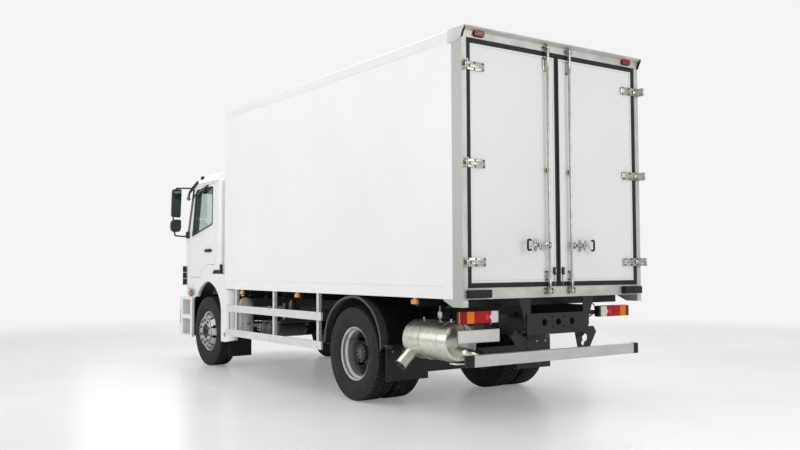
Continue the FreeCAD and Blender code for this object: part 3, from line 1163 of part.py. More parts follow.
def cab_form(inset):
    """The cab's outer form drawn in by inset: upright lower part, leaning screen and domed roof."""
    rear = CAB_REAR_X + inset
    half = CAB_HALF_WIDTH - inset
    belt_x = CAB_FRONT_X - 16 - inset
    gutter_x = belt_x - WINDSCREEN_LEAN * (CAB_GUTTER_Z - CAB_BELT_Z)
    bend = CAB_REAR_CORNER - inset
    low = front_outline(CAB_FRONT_X - inset, half, CAB_CORNER - inset, CAB_CROWN, CAB_LOW_Z, rear, bend)
    waist = front_outline(belt_x, half, CAB_CORNER - 60 - inset, CAB_CROWN, CAB_BELT_Z, rear, bend)
    gutter = front_outline(gutter_x, half, CAB_CORNER - 60 - inset, CAB_CROWN, CAB_GUTTER_Z, rear, bend)
    roof_z = CAB_ROOF_Z - inset
    roof = front_outline(gutter_x - ROOF_SLOPE_LENGTH, half - ROOF_SLOPE_WIDTH,
                         CAB_CORNER - 100 - inset, CAB_CROWN, roof_z, rear + 60, bend)
    lower = Part.makeLoft([low, waist], True, True)
    upper = Part.makeLoft([waist, gutter], True, True)
    cap = Part.makeLoft([gutter, roof], True, True)
    return lower.fuse([upper, cap])


def grown(points, by):
    """An outline moved outwards by a distance, corner by corner."""
    wire = Part.makePolygon([Vector(x, 0, z) for x, z in points + points[:1]])
    offset = wire.makeOffset2D(by, 2) if by else wire
    return [(vertex.Point.x, vertex.Point.z) for vertex in offset.OrderedVertexes]


def soft_plate(points, y0, y1, radius):
    """A flat piece in the side view with all its corners rounded."""
    plate = plate_xz(points, y0, y1)
    across = [edge for edge in plate.Edges if edge.BoundBox.YLength > abs(y1 - y0) * 0.9
              and edge.BoundBox.XLength < 1 and edge.BoundBox.ZLength < 1]
    return plate.makeFillet(radius, across)


def cab_shell():
    """Hollow cab with its floor, door openings, screen opening, wheel arches and tilt ears."""
    shell = cab_form(0).cut(cab_form(CAB_SKIN))
    floor_outline = [(CAB_REAR_X + 10, CAB_REAR_LOW_Z), (SHUT_X, CAB_REAR_LOW_Z),
                     (SHUT_X + 120, CAB_FLOOR_Z - 40),
                     (6870, CAB_FLOOR_Z - 40), (6870, CAB_LOW_Z), (7500, CAB_LOW_Z), (7500, CAB_LOW_Z + 38),
                     (6905, CAB_LOW_Z + 38), (6905, CAB_FLOOR_Z), (SHUT_X + 140, CAB_FLOOR_Z),
                     (SHUT_X + 20, CAB_REAR_LOW_Z + 40), (CAB_REAR_X + 10, CAB_REAR_LOW_Z + 40)]
    floor = plate_xz(floor_outline, -CAB_HALF_WIDTH, CAB_HALF_WIDTH)
    floor = floor.common(cab_form(20))
    low_cut = plate_xz([(CAB_REAR_X - 50, 900), (CAB_REAR_X - 50, CAB_REAR_LOW_Z), (SHUT_X, CAB_REAR_LOW_Z),
                        (SHUT_X + 120, ARCH_TOP_Z + 12), (FRONT_AXLE_X + 1, ARCH_TOP_Z),
                        (FRONT_AXLE_X + 1, 900)],
                       -2000, 2000)
    shell = shell.cut(low_cut).fuse(floor)
    arch = arch_cutter(700, -2000, 2000)
    shell = shell.cut(arch.cut(block(5000, 8000, -1030, 1030, 600, 1290)))
    shell = shell.cut(block(6000, 6869, -1080, 1080, 900, CAB_FLOOR_Z - 40))
    opening = soft_plate(grown(DOOR_OUTLINE, DOOR_GAP), CAB_HALF_WIDTH - 64, CAB_HALF_WIDTH + 60, 40)
    cutters = both(opening)
    pin_x = DOOR_FRONT_X + DOOR_PIN_AHEAD
    pin_y = CAB_HALF_WIDTH - DOOR_PIN_IN
    for z in CAB_HINGE_Z:
        cutters += both(block(DOOR_FRONT_X - 5, pin_x + 20, pin_y - 20, 1300, z - 34, z + 34))
    cutters.append(block(7000, 8000, -1010, 1010, SCREEN_LOW_Z, SCREEN_HIGH_Z))
    shell = shell.cut(Part.makeCompound(cutters))
    pieces = [shell]
    for side in (1, -1):
        ear_in, ear_out = (RAIL_OUTER_Y + 6) * side, (RAIL_OUTER_Y + 28) * side
        low, high = sorted((ear_in, ear_out))
        ear = rod((TILT_X, ear_in, TILT_Z), (TILT_X, ear_out, TILT_Z), 32)
        ear = ear.fuse(block(TILT_X - 32, TILT_X + 26, low, high, TILT_Z, CAB_LOW_Z + 20))
        pieces.append(ear.cut(rod((TILT_X, 300 * side, TILT_Z), (TILT_X, 600 * side, TILT_Z),
                                  TILT_PIN_RADIUS + PIN_CLEARANCE)))
        for z in CAB_HINGE_Z:
            pin = rod((pin_x, pin_y * side, z - 34), (pin_x, pin_y * side, z + 34), 5)
            pieces.append(pin)
    return [fused(pieces)]


def windscreen():
    """Curved screen set in its opening."""
    pane = cab_form(10).cut(cab_form(10 + GLASS))
    pane = pane.common(block(7000, 8000, -1010 + SEAT_GAP, 1010 - SEAT_GAP, SCREEN_LOW_Z + SEAT_GAP,
                             SCREEN_HIGH_Z - SEAT_GAP))
    return [pane.Solids[0]]


def grille():
    """Bowed louvre panel on the cab's front."""
    panel = cab_form(-GRILLE_PROUD).cut(cab_form(-SEAT_GAP))
    panel = panel.common(block(7150, 8000, -GRILLE_HALF_WIDTH, GRILLE_HALF_WIDTH,
                               GRILLE_LOW_Z, GRILLE_HIGH_Z))
    groove_form = cab_form(-GRILLE_PROUD - 1).cut(cab_form(-6))
    grooves = []
    z = GRILLE_LOW_Z + 26
    while z < GRILLE_HIGH_Z - 30:
        grooves.append(block(7150, 8000, -GRILLE_HALF_WIDTH + 30, GRILLE_HALF_WIDTH - 30, z, z + 26))
        z += 58
    return [panel.cut(groove_form.common(Part.makeCompound(grooves)))]


def cab_door():
    """Left cab door with its window cut, a hinge arm at each pin and a pull handle."""
    y0, y1 = CAB_HALF_WIDTH - DOOR_THICKNESS, CAB_HALF_WIDTH
    door = soft_plate(DOOR_OUTLINE, y0, y1, 34)
    door = door.cut(soft_plate(WINDOW_OUTLINE, y0 - 10, y1 + 10, 45))
    pin_x = DOOR_FRONT_X + DOOR_PIN_AHEAD
    pin_y = CAB_HALF_WIDTH - DOOR_PIN_IN
    pieces = [door]
    for z in CAB_HINGE_Z:
        pieces.append(block(DOOR_FRONT_X - 10, pin_x, pin_y - 8, pin_y + 4, z - 28, z + 28))
        pieces.append(rod((pin_x, pin_y, z - 28), (pin_x, pin_y, z + 28), 10))
    whole = fused(pieces)
    for z in CAB_HINGE_Z:
        whole = whole.cut(rod((pin_x, pin_y, z - 40), (pin_x, pin_y, z + 40), 5 + PIN_CLEARANCE))
    return [whole]


def cab_door_glass():
    """Left door's pane, set in the window opening."""
    y = CAB_HALF_WIDTH - 26
    return [soft_plate(grown(WINDOW_OUTLINE, -SEAT_GAP), y, y + GLASS, 45 - SEAT_GAP)]


def dashboard():
    """Facia across the cab with the steering column and wheel on the left."""
    facia = plate_xz([(7060, 1640), (7080, 1900), (7200, 1975), (7600, 1960), (7600, 1500), (7300, 1400)],
                     -1074, 1074)
    facia = facia.common(cab_form(CAB_SKIN + SEAT_GAP))
    centre = Vector(6930, 540, 1925)
    way = Vector(-0.42, 0, 0.907)
    hoop = Part.makeTorus(215, 15, centre, way)
    hub = Part.makeCylinder(62, 34, centre - way * 50, way)
    column = Part.makeCylinder(34, 330, centre - way * 370, way)
    spokes = []
    for angle in (0, 180, 270):
        spoke = Part.makeBox(220, 26, 12, Vector(0, -13, -6))
        spoke.rotate(Vector(0, 0, 0), Vector(0, 0, 1), angle)
        spoke.rotate(Vector(0, 0, 0), Vector(0, 1, 0), -24.8)
        spoke.translate(centre - way * 14)
        spokes.append(spoke)
    knee = block(7040, 7120, 490, 590, 1590, 1720)
    return [fused([facia, hoop, hub, column, knee] + spokes)]


def seats():
    """Two high-backed seats on pedestals."""
    base = block(6400, 6760, 380, 740, CAB_FLOOR_Z + SEAT_GAP, 1610)
    cushion = block(6330, 6850, 300, 820, 1600, 1740)
    cushion = cushion.makeFillet(45, cushion.Edges)
    back = plate_xz([(6340, 1700), (6470, 1700), (6400, 2380), (6280, 2380)], 310, 810)
    back = back.makeFillet(40, [edge for edge in back.Edges if edge.BoundBox.ZLength > 50])
    head = block(6275, 6375, 430, 690, 2380, 2560)
    head = head.makeFillet(35, [edge for edge in head.Edges if edge.BoundBox.ZLength > 50])
    return both(fused([base, cushion, back, head]))


def mirrors():
    """Main and wide-angle mirror heads on tubular arms from the screen pillars."""
    main = rounded_block(7175, 7290, 1245, 1402, 2300, 2750, 30)
    wide = rounded_block(7180, 7290, 1245, 1402, 2072, 2288, 30)
    top = bent_tube([(6960, 1060, 2757), (7236, 1325, 2772), (7236, 1325, 2735)], 13, 20)
    low = bent_tube([(7120, 1080, 2035), (7236, 1325, 2040), (7236, 1325, 2090)], 13, 30)
    link = rod((7236, 1325, 2280), (7236, 1325, 2310), 22)
    whole = fused([main, wide, top, low, link]).cut(cab_form(-SEAT_GAP))
    return both(largest(whole))


def rounded_block(x0, x1, y0, y1, z0, z1, radius):
    """A box with every edge rounded."""
    shape = block(x0, x1, y0, y1, z0, z1)
    return shape.makeFillet(radius, shape.Edges)


def largest(shape):
    """The biggest solid of a shape."""
    return max(shape.Solids, key=lambda solid: solid.Volume)


def build():
    """Make every node and write it."""
    os.makedirs("parts", exist_ok=True)
    export("chassis_frame", chassis_frame())
    export("box_bearers", box_bearers())
    export("rear_axle", rear_axle())
    export("front_axle", front_axle())
    export("leaf_springs", leaf_springs())
    export("driveline", driveline())
    for name, side in (("left", 1), ("right", -1)):
        export("wheel_front_" + name, [front_wheel(side)])
        export("wheels_rear_" + name, [rear_wheels(side)])
        export("tyre_front_" + name, [tyre(FRONT_AXLE_X, FRONT_WHEEL_Y * side)])
        export("tyres_rear_" + name, [tyre(REAR_AXLE_X, REAR_OUTER_WHEEL_Y * side),
                                      tyre(REAR_AXLE_X, (REAR_OUTER_WHEEL_Y - DUAL_SPACING) * side)])
        export("knuckle_" + name, knuckle(side))
    export("track_rod", track_rod())
    export("box_floor", box_floor())
    export("box_sides", box_sides())
    export("box_front_wall", box_front_wall())
    export("box_roof", box_roof())
    export("box_edge_trim", box_edge_trim())
    export("rear_portal", rear_portal())
    export("portal_fittings", portal_fittings())
    left_nodes = (("cargo_door", cargo_door()), ("cargo_seal", cargo_seal()), ("lock_gear", lock_gear()),
                  ("cab_door", cab_door()), ("cab_glass", cab_door_glass()))
    for name, shapes in left_nodes:
        export(name + "_left", shapes)
        export(name + "_right", [mirrored(shape) for shape in shapes])
    export("cooling_unit", cooling_unit())
    export("silencer", silencer())
    export("fuel_tank", fuel_tank())
    export("air_tanks", air_tanks())
    export("side_boxes", side_boxes())
    export("side_guards", side_guards())
    export("underrun_guard", underrun_guard())
    export("rear_buffers", rear_buffers())
    export("tail_lamps", tail_lamps())
    export("marker_lamps", marker_lamps())
    export("mudguards", mudguards())
    export("cab_skirts", cab_skirts())
    export("front_bumper", front_bumper())
    export("steps", steps())
    export("headlamps", headlamps())
    export("cab_shell", cab_shell())
    export("windscreen", windscreen())
    export("grille", grille())
    export("dashboard", dashboard())
    export("seats", seats())
    export("mirrors", mirrors())


build()
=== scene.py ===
"""The looks of a refrigerated truck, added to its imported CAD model.

Run as a script, it loads the model and makes every piece with an operator of its own. The CAD parts
stay where they are. Lengths are metres in the model's frame: X forward, Y to the left, Z up.
"""

import bmesh
import bpy
import numpy as np
from bpy.props import FloatProperty, FloatVectorProperty, IntProperty, PointerProperty
from mathutils import Matrix, Vector


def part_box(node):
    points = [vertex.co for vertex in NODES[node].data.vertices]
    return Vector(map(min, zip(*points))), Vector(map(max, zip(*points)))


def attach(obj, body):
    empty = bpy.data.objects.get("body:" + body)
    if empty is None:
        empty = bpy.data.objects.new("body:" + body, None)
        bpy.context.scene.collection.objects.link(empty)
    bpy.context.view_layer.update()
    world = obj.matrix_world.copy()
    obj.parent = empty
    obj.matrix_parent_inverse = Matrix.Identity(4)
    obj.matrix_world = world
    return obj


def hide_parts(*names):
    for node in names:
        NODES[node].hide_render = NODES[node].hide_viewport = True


bl_info = {
    "name": "Refrigerated Truck Looks",
    "version": (1, 0, 0),
    "blender": (4, 5, 0),
    "location": "3D View > Sidebar > Truck",
    "description": "Adds tyres, lamps, door gear, trim and finishes to the packed truck",
    "category": "Object",
}

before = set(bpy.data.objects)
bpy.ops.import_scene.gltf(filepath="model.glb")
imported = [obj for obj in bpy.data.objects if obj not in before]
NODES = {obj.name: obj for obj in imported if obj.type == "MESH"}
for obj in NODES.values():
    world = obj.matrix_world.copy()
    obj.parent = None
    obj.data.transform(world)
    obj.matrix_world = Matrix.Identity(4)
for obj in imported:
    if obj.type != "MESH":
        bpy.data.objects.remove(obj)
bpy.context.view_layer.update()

# Places that several pieces share, read from the CAD parts
REAR_FACE_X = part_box("box_sides")[0].x - 0.153
SIDE_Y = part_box("box_sides")[1].y
BOX_TOP_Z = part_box("box_roof")[1].z
BOX_LOW_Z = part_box("box_sides")[0].z
WHEEL_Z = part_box("wheel_front_left")[0].z / 2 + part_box("wheel_front_left")[1].z / 2
FRONT_AXLE_X = REAR_FACE_X + 6.288
REAR_AXLE_X = REAR_FACE_X + 1.988
FRONT_WHEEL_Y = 1.033
REAR_WHEEL_Y = 1.090
TWIN_SPACING = 0.335
FRONT_DISC_Y = FRONT_WHEEL_Y + 0.1675
FRONT_HUB_Y = FRONT_WHEEL_Y + 0.186
REAR_DISC_Y = 0.935
TREAD_RADIUS = 0.522
TREAD_HALF_WIDTH = 0.112
HUB_RADIUS = 0.1135
NUT_CIRCLE = 0.1675

# Places measured from the box's rear face, with Y for the left side
PANEL_FACE_Y = 1.2502
LOCK_ROD_X = -0.028
LOCK_ROD_Y = 0.155
HINGE_HEIGHTS = (1.530, 2.465, 3.395)
GRIP_Z = 1.700
ROD_GUIDE_Z = 2.451
HEADER_LAMP = (0.984, 1.106, 3.688, 3.734)
HEADER_FOOT_Z = 3.681
HEADER_LEAN = 0.217
SCREEN_FOOT_X = 7.540
SCREEN_FOOT_Z = 1.98
SCREEN_LEAN = 0.34
SCREEN_BOW = 0.040
FRONT_PANEL_X = 7.556
BUMPER_NOSE_X = 7.620
BUMPER_BOW = 0.046
BUMPER_TURN_Y = 0.9766
HEADLAMP_Z = 0.70
CAB_SKIN_INNER_Y = 1.0822
SILENCER_Y, SILENCER_Z = 0.950, 0.742
SILENCER_BANDS_X = (0.560, 1.015)
CANISTER_X, CANISTER_Y = 5.185, 1.040
BATTERY_STRAPS_X = (4.60, 4.93)
SEAT_Y = 0.560
WALL_LINING_Y = 1.1645
LOAD_RAIL_HEIGHTS = (2.05, 2.75)
FAN_PLACES_Y = (-0.42, 0.0, 0.42)

# Directions
REARWARD = (-1, 0, 0)
FORWARD = (1, 0, 0)
OUTWARD = (0, 1, 0)
UPRIGHT = (0, 0, 1)


def ahead(station):
    """X of a place measured forward from the box's rear face."""
    return REAR_FACE_X + station


# Shapes: each is (vertices, faces), worked out as whole arrays


def grid_faces(rows, columns, wrap_rows, wrap_columns, offset=0):
    """Quads that join a grid of points, numbered row by row."""
    i = np.arange(rows if wrap_rows else rows - 1)[:, None]
    j = np.arange(columns if wrap_columns else columns - 1)[None, :]
    i_next, j_next = (i + 1) % rows, (j + 1) % columns
    quads = np.stack([i * columns + j, i_next * columns + j,
                      i_next * columns + j_next, i * columns + j_next], axis=-1)
    return (quads.reshape(-1, 4) + offset).tolist()


def surface(points, wrap_rows=False, wrap_columns=False, caps=False):
    """A grid of points as a surface; caps close the first and last rows with one flat face each."""
    rows, columns = points.shape[:2]
    faces = grid_faces(rows, columns, wrap_rows, wrap_columns)
    if caps:
        faces.append(list(range(columns)))
        faces.append([(rows - 1) * columns + k for k in reversed(range(columns))])
    return points.reshape(-1, 3), faces


def joined(shapes):
    """Several shapes as one."""
    vertices, faces, count = [], [], 0
    for points, quads in shapes:
        vertices.append(np.asarray(points, float))
        faces += [[k + count for k in face] for face in quads]
        count += len(points)
    return np.concatenate(vertices), faces


def placed(shape, centres, turn=None):
    """Copies of a shape at many centres, each turned by the same 3 by 3 matrix first."""
    points, faces = shape
    points = points @ np.asarray(turn, float).T if turn is not None else points
    centres = np.asarray(centres, float).reshape(-1, 3)
    every = (centres[:, None, :] + points[None, :, :]).reshape(-1, 3)
    return every, [[k + n * len(points) for k in face] for n in range(len(centres)) for face in faces]


def mirrored(shape):
    """The shape and its twin across the truck's centre line."""
    points, faces = shape
    twin = points * np.array([1, -1, 1]), [face[::-1] for face in faces]
    return joined([shape, twin])


def only_twin(shape):
    """The shape's twin on the right-hand side alone."""
    return shape[0] * np.array([1, -1, 1]), [face[::-1] for face in shape[1]]


def aimed(direction, up=UPRIGHT):
    """Matrix whose third column is the direction, so a shape along Z points that way."""
    w = np.asarray(direction, float)
    w = w / np.linalg.norm(w)
    side = np.cross(up, w)
    if np.linalg.norm(side) < 1e-6:
        side = np.cross(FORWARD, w)
    side = side / np.linalg.norm(side)
    return np.stack([side, np.cross(w, side), w], axis=1)


def turned_about(profile, centre, direction, count):
    """Points of a profile of (radius, distance along) carried once round an axis."""
    profile = np.asarray(profile, float)
    angle = np.linspace(0, 2 * np.pi, count, endpoint=False)
    ring = np.stack([np.cos(angle), np.sin(angle)], axis=1)
    along = np.repeat(profile[:, None, 1:], count, 1)
    points = np.concatenate([profile[:, None, :1] * ring[None], along], axis=-1)
    return points @ aimed(direction).T + np.asarray(centre, float)


def revolved(profile, centre, direction, count=48):
    """A solid of revolution: the ends of its profile lie on the axis, or are closed flat."""
    return surface(turned_about(profile, centre, direction, count), wrap_columns=True, caps=True)


def ring_of(profile, centre, direction, count=96):
    """A ring: a closed profile carried once round an axis."""
    return surface(turned_about(profile, centre, direction, count), wrap_rows=True, wrap_columns=True)


def smooth_path(corners, steps=10):
    """Catmull-Rom curve through the corners: cubic blends whose slopes follow the neighbours."""
    p = np.asarray(corners, float)
    p = np.concatenate([2 * p[:1] - p[1:2], p, 2 * p[-1:] - p[-2:-1]])
    t = np.linspace(0, 1, steps, endpoint=False)[:, None]
    spans = [0.5 * (2 * b + (c - a) * t + (2 * a - 5 * b + 4 * c - d) * t ** 2
                    + (3 * b - a - 3 * c + d) * t ** 3) for a, b, c, d in zip(p, p[1:], p[2:], p[3:])]
    return np.concatenate(spans + [p[-2:-1]])


def swept(profile, path, up=UPRIGHT, closed=False):
    """A closed profile of (across, upward) points carried along a path, square to it."""
    profile, path = np.asarray(profile, float), np.asarray(path, float)
    if closed:
        way = np.roll(path, -1, 0) - np.roll(path, 1, 0)
    else:
        way = np.gradient(path, axis=0)
    way = way / np.linalg.norm(way, axis=1, keepdims=True)
    across = np.cross(way, np.broadcast_to(np.asarray(up, float), way.shape))
    across = across / np.linalg.norm(across, axis=1, keepdims=True)
    top = np.cross(across, way)
    points = path[:, None] + profile[None, :, :1] * across[:, None] + profile[None, :, 1:] * top[:, None]
    return surface(points, wrap_rows=closed, wrap_columns=True, caps=not closed)


def circle(radius, count=16):
    """Points round a circle."""
    angle = np.linspace(0, 2 * np.pi, count, endpoint=False)
    return np.stack([radius * np.cos(angle), radius * np.sin(angle)], axis=1)


def tube(corners, radius, count=14, steps=10, up=(0.13, 0.21, 1)):
    """A round pipe on a smooth path through the corners."""
    return swept(circle(radius, count), smooth_path(corners, steps), up)


def oblong(left, low, right, high):
    """The four corners of a rectangle."""
    return [(left, low), (right, low), (right, high), (left, high)]


def softened(corners, radius, steps=5):
    """A closed outline whose corners are turned into arcs, each a quadratic blend between its two sides."""
    p = np.asarray(corners, float)
    radius = np.broadcast_to(np.asarray(radius, float), len(p))
    before, after = np.roll(p, 1, 0) - p, np.roll(p, -1, 0) - p
    reach_in = np.minimum(radius / np.linalg.norm(before, axis=1), 0.5)[:, None]
    reach_out = np.minimum(radius / np.linalg.norm(after, axis=1), 0.5)[:, None]
    t = np.linspace(0, 1, steps)[None, :, None]
    a, b, c = (p + before * reach_in)[:, None], p[:, None], (p + after * reach_out)[:, None]
    return ((1 - t) ** 2 * a + 2 * t * (1 - t) * b + t ** 2 * c).reshape(-1, p.shape[1])


def inset(outline, by):
    """A closed plane outline drawn inwards: each point moves along the mean of its sides' normals."""
    p = np.asarray(outline, float)
    area = np.sum(p[:, 0] * np.roll(p[:, 1], -1) - np.roll(p[:, 0], -1) * p[:, 1])
    side = np.roll(p, -1, 0) - p
    length = np.maximum(np.linalg.norm(side, axis=1, keepdims=True), 1e-9)
    normal = np.stack([-side[:, 1], side[:, 0]], axis=1) / length * np.sign(area)
    both = normal + np.roll(normal, 1, 0)
    scale = np.maximum(np.sum(both * both, axis=1, keepdims=True) / 2, 0.4)
    return p + both / scale * by


AXES = {"x": (OUTWARD, UPRIGHT, FORWARD), "y": (FORWARD, UPRIGHT, OUTWARD),
        "z": (FORWARD, OUTWARD, UPRIGHT)}


def plate(outline, axis, start, end, edge=0.002, steps=3):
    """A flat piece: its outline lies square to the axis, and both its rims are rounded by edge."""
    u, v, w = (np.array(a, float) for a in AXES[axis])
    angle = np.linspace(0, np.pi / 2, steps)
    drawn_in, deep = edge * (1 - np.sin(angle)), edge * (1 - np.cos(angle))
    levels = [(d, start + (end - start) / abs(end - start) * h) for d, h in zip(drawn_in, deep)]
    levels += [(d, end - (end - start) / abs(end - start) * h) for d, h in zip(drawn_in[::-1], deep[::-1])]
    loops = np.stack([inset(outline, d)[:, :1] * u + inset(outline, d)[:, 1:] * v + h * w
                      for d, h in levels])
    return surface(loops, wrap_columns=True, caps=True)


def slab(low, high, edge=0.002, axis="x"):
    """A rectangular piece between two corners with rounded rims."""
    u, v, w = {"x": (1, 2, 0), "y": (0, 2, 1), "z": (0, 1, 2)}[axis]
    outline = softened(oblong(low[u], low[v], high[u], high[v]), edge, 3)
    return plate(outline, axis, low[w], high[w], edge)


def hex_bolt(radius, height):
    """A hexagon head on a washer, standing on the XY plane."""
    head = plate(np.stack([radius * np.cos(np.arange(6) * np.pi / 3),
                           radius * np.sin(np.arange(6) * np.pi / 3)], 1),
                 "z", height * 0.2, height, radius * 0.09, 2)
    washer = revolved([(0, 0), (radius * 1.35, 0), (radius * 1.35, height * 0.16),
                       (radius * 1.2, height * 0.22), (0, height * 0.22)], (0, 0, 0), UPRIGHT, 16)
    return joined([head, washer])


def bolts_at(radius, height, centres, direction):
    """Hexagon heads at many places, all facing one way."""
    return placed(hex_bolt(radius, height), centres, aimed(direction))


def dome(radius, height, count=10):
    """A rivet head: a low dome standing on the XY plane."""
    angle = np.linspace(0, np.pi / 2, 4)
    profile = np.stack([radius * np.cos(angle), height * np.sin(angle)], axis=1)
    profile[-1, 0] = radius * 0.02
    return revolved(np.concatenate([[(radius, -0.0008)], profile]), (0, 0, 0), UPRIGHT, count)


def look_outwards(work):
    """Turn each closed shell of a mesh so that its faces look out."""
    left = set(work.faces)
    while left:
        shell, edge = [], [left.pop()]
        while edge:
            face = edge.pop()
            shell.append(face)
            near = {other for side in face.edges for other in side.link_faces} & left
            left -= near
            edge += near
        closed = all(len(side.link_faces) == 2 for face in shell for side in face.edges)
        if closed and sum(face.normal.dot(face.calc_center_median()) * face.calc_area()
                          for face in shell) < 0:
            bmesh.ops.reverse_faces(work, faces=shell)


def make(name, shape, material, body, smooth_below=32.0, replaces=(), slot=None):
    """One finished piece: its mesh, shading, material, and the CAD body it rides on."""
    points, faces = shape
    mesh = bpy.data.meshes.new(name)
    mesh.from_pydata(np.asarray(points).tolist(), [], faces)
    turned = bmesh.new()
    turned.from_mesh(mesh)
    bmesh.ops.remove_doubles(turned, verts=turned.verts, dist=1e-6)
    bmesh.ops.recalc_face_normals(turned, faces=turned.faces)
    turned.normal_update()
    look_outwards(turned)
    turned.to_mesh(mesh)
    turned.free()
    mesh.polygons.foreach_set("use_smooth", np.ones(len(mesh.polygons), bool))
    mesh.validate()
    mesh.set_sharp_from_angle(angle=np.radians(smooth_below))
    mesh.update()
    piece = bpy.data.objects.new(name, mesh)
    bpy.context.scene.collection.objects.link(piece)
    for one in material if isinstance(material, (list, tuple)) else [material]:
        mesh.materials.append(finish(one))
    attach(piece, body)
    if replaces:
        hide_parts(*replaces)
    return piece


def from_rear(shape):
    """A shape drawn with X measured from the box's rear face, put in its place."""
    return placed(shape, [(REAR_FACE_X, 0, 0)])


def unchanged(shape):
    """The shape as it is."""
    return shape


SIDES = (("left", unchanged), ("right", only_twin))


def add(name, shapes, material, body="chassis", *more):
    """A piece made of shapes that are drawn from the box's rear face."""
    return make(name, from_rear(joined(shapes)), material, body, *more)


def add_pair(name, shapes, material, body="chassis", *more):
    """The same for shapes on the left, with their twins on the right."""
    return make(name, from_rear(mirrored(joined(shapes))), material, body, *more)


def add_turned(name, turn, shapes, material, body, *more):
    """The same for one side alone: the shapes as drawn on the left, or their twins on the right."""
    return make(name, from_rear(turn(joined(shapes))), material, body, *more)


# Finishes: each is named for its real material, and a comment says what that gives the eye


def linear(code):
    """An sRGB hex colour as linear red, green, blue and alpha."""
    part = np.array([int(code[k:k + 2], 16) for k in (0, 2, 4)]) / 255
    value = np.where(part <= 0.04045, part / 12.92, ((part + 0.055) / 1.055) ** 2.4)
    return (*value.tolist(), 1.0)


def put(tree, kind, links=None, **values):
    """Add one shader node; values set its settings or sockets, and links join its sockets to outputs."""
    node = tree.nodes.new("ShaderNode" + kind)
    for name, value in values.items():
        if name in node.bl_rna.properties:
            setattr(node, name, value)
    for name, value in values.items():
        if name not in node.bl_rna.properties:
            key = int(name[1:]) if name[0] == "_" else name.replace("_", " ")
            node.inputs[key].default_value = value
    for key, source in (links or {}).items():
        tree.links.new(source, node.inputs[key])
    return node


def shader(name, base, roughness, metallic=0.0, **sockets):
    """A new material with one Principled shader, its colour, roughness and metal set on its own sockets."""
    material = bpy.data.materials.new(name)
    material.use_nodes = True
    tree = material.node_tree
    tree.nodes.clear()
    body = put(tree, "BsdfPrincipled", Base_Color=linear(base),
               Roughness=roughness, Metallic=metallic, **sockets)
    put(tree, "OutputMaterial", {"Surface": body.outputs[0]})
    material.diffuse_color = linear(base)
    return material, tree, body


def opened(material):
    """A finished material's tree, its Principled shader and what its base colour comes from."""
    tree = material.node_tree
    body = [node for node in tree.nodes if node.type == "BSDF_PRINCIPLED"][0]
    return tree, body, body.inputs["Base Color"].links[0].from_socket


def place_of(tree):
    """Object coordinates as separate X, Y and Z sockets."""
    return put(tree, "SeparateXYZ", {"Vector": put(tree, "TexCoord").outputs["Object"]}).outputs


def calc(tree, operation, first, second=None):
    """Result of one operation on a socket and, where it takes one, a second socket or a number."""
    if second is None:
        return put(tree, "Math", {0: first}, operation=operation).outputs[0]
    if isinstance(second, bpy.types.NodeSocket):
        return put(tree, "Math", {0: first, 1: second}, operation=operation).outputs[0]
    return put(tree, "Math", {0: first}, _1=second, operation=operation).outputs[0]


def cells(tree, points, scale, **values):
    """Distance from the middle of the nearest of that many cells a metre."""
    return put(tree, "TexVoronoi", {"Vector": points}, Scale=scale, **values).outputs["Distance"]


def prisms(tree, points, scale):
    """Square pyramids in rows, as moulded behind a lamp's lens."""
    return cells(tree, points, scale, distance="CHEBYCHEV", Randomness=0.0)


def overlaid(tree, body, share, under, colour):
    """Base colour that is the given colour where the share is one, and otherwise what lies under it."""
    mixed = put(tree, "MixRGB", {"Fac": share, "Color1": under}, Color2=linear(colour))
    tree.links.new(mixed.outputs[0], body.inputs["Base Color"])


def object_points(tree, stretch=(1, 1, 1)):
    """Object coordinates, stretched along each axis."""
    where = put(tree, "TexCoord")
    return put(tree, "Mapping", {"Vector": where.outputs["Object"]}, Scale=stretch).outputs[0]


def bump(tree, body, height, depth, strength=1.0, under=None):
    """A height pattern as surface relief of the given depth in metres."""
    links = {"Height": height}
    if under is not None:
        links["Normal"] = under
    relief = put(tree, "Bump", links, Distance=depth, Strength=strength)
    tree.links.new(relief.outputs[0], body.inputs["Normal"])
    return relief.outputs[0]


def tinted(tree, body, factor, first, second, low=0.3, high=0.7):
    """Base colour that wanders between two colours as the factor goes from low to high."""
    ramp = put(tree, "ValToRGB", {"Fac": factor})
    ramp.color_ramp.elements[0].position, ramp.color_ramp.elements[1].position = low, high
    ramp.color_ramp.elements[0].color, ramp.color_ramp.elements[1].color = linear(first), linear(second)
    tree.links.new(ramp.outputs[0], body.inputs["Base Color"])
    return ramp.outputs[0]


def ranged(tree, body, factor, socket, low, high):
    """A socket that follows a factor between two values."""
    out = put(tree, "MapRange", {"Value": factor}, To_Min=low, To_Max=high)
    tree.links.new(out.outputs[0], body.inputs[socket])


def noise(tree, points, scale, detail=3.0, roughness=0.55):
    """Value of a noise with that many cells a metre."""
    return put(tree, "TexNoise", {"Vector": points}, Scale=scale,
               Detail=detail, Roughness=roughness).outputs[0]


def shaded(base, share):
    """A hex colour made darker or lighter."""
    return "".join("%02X" % min(255, round(int(base[k:k + 2], 16) * share)) for k in (0, 2, 4))


def plain(name, base, roughness, metallic=0.0, **sockets):
    # A small fitting's even finish; its tint and shine wander slightly so that it doesn't look printed
    material, tree, body = shader(name, base, roughness, metallic, **sockets)
    points = object_points(tree)
    ranged(tree, body, noise(tree, points, 45, 3.0), "Roughness", roughness - 0.07, roughness + 0.1)
    tinted(tree, body, noise(tree, points, 7), shaded(base, 0.95), shaded(base, 1.04))
    return material


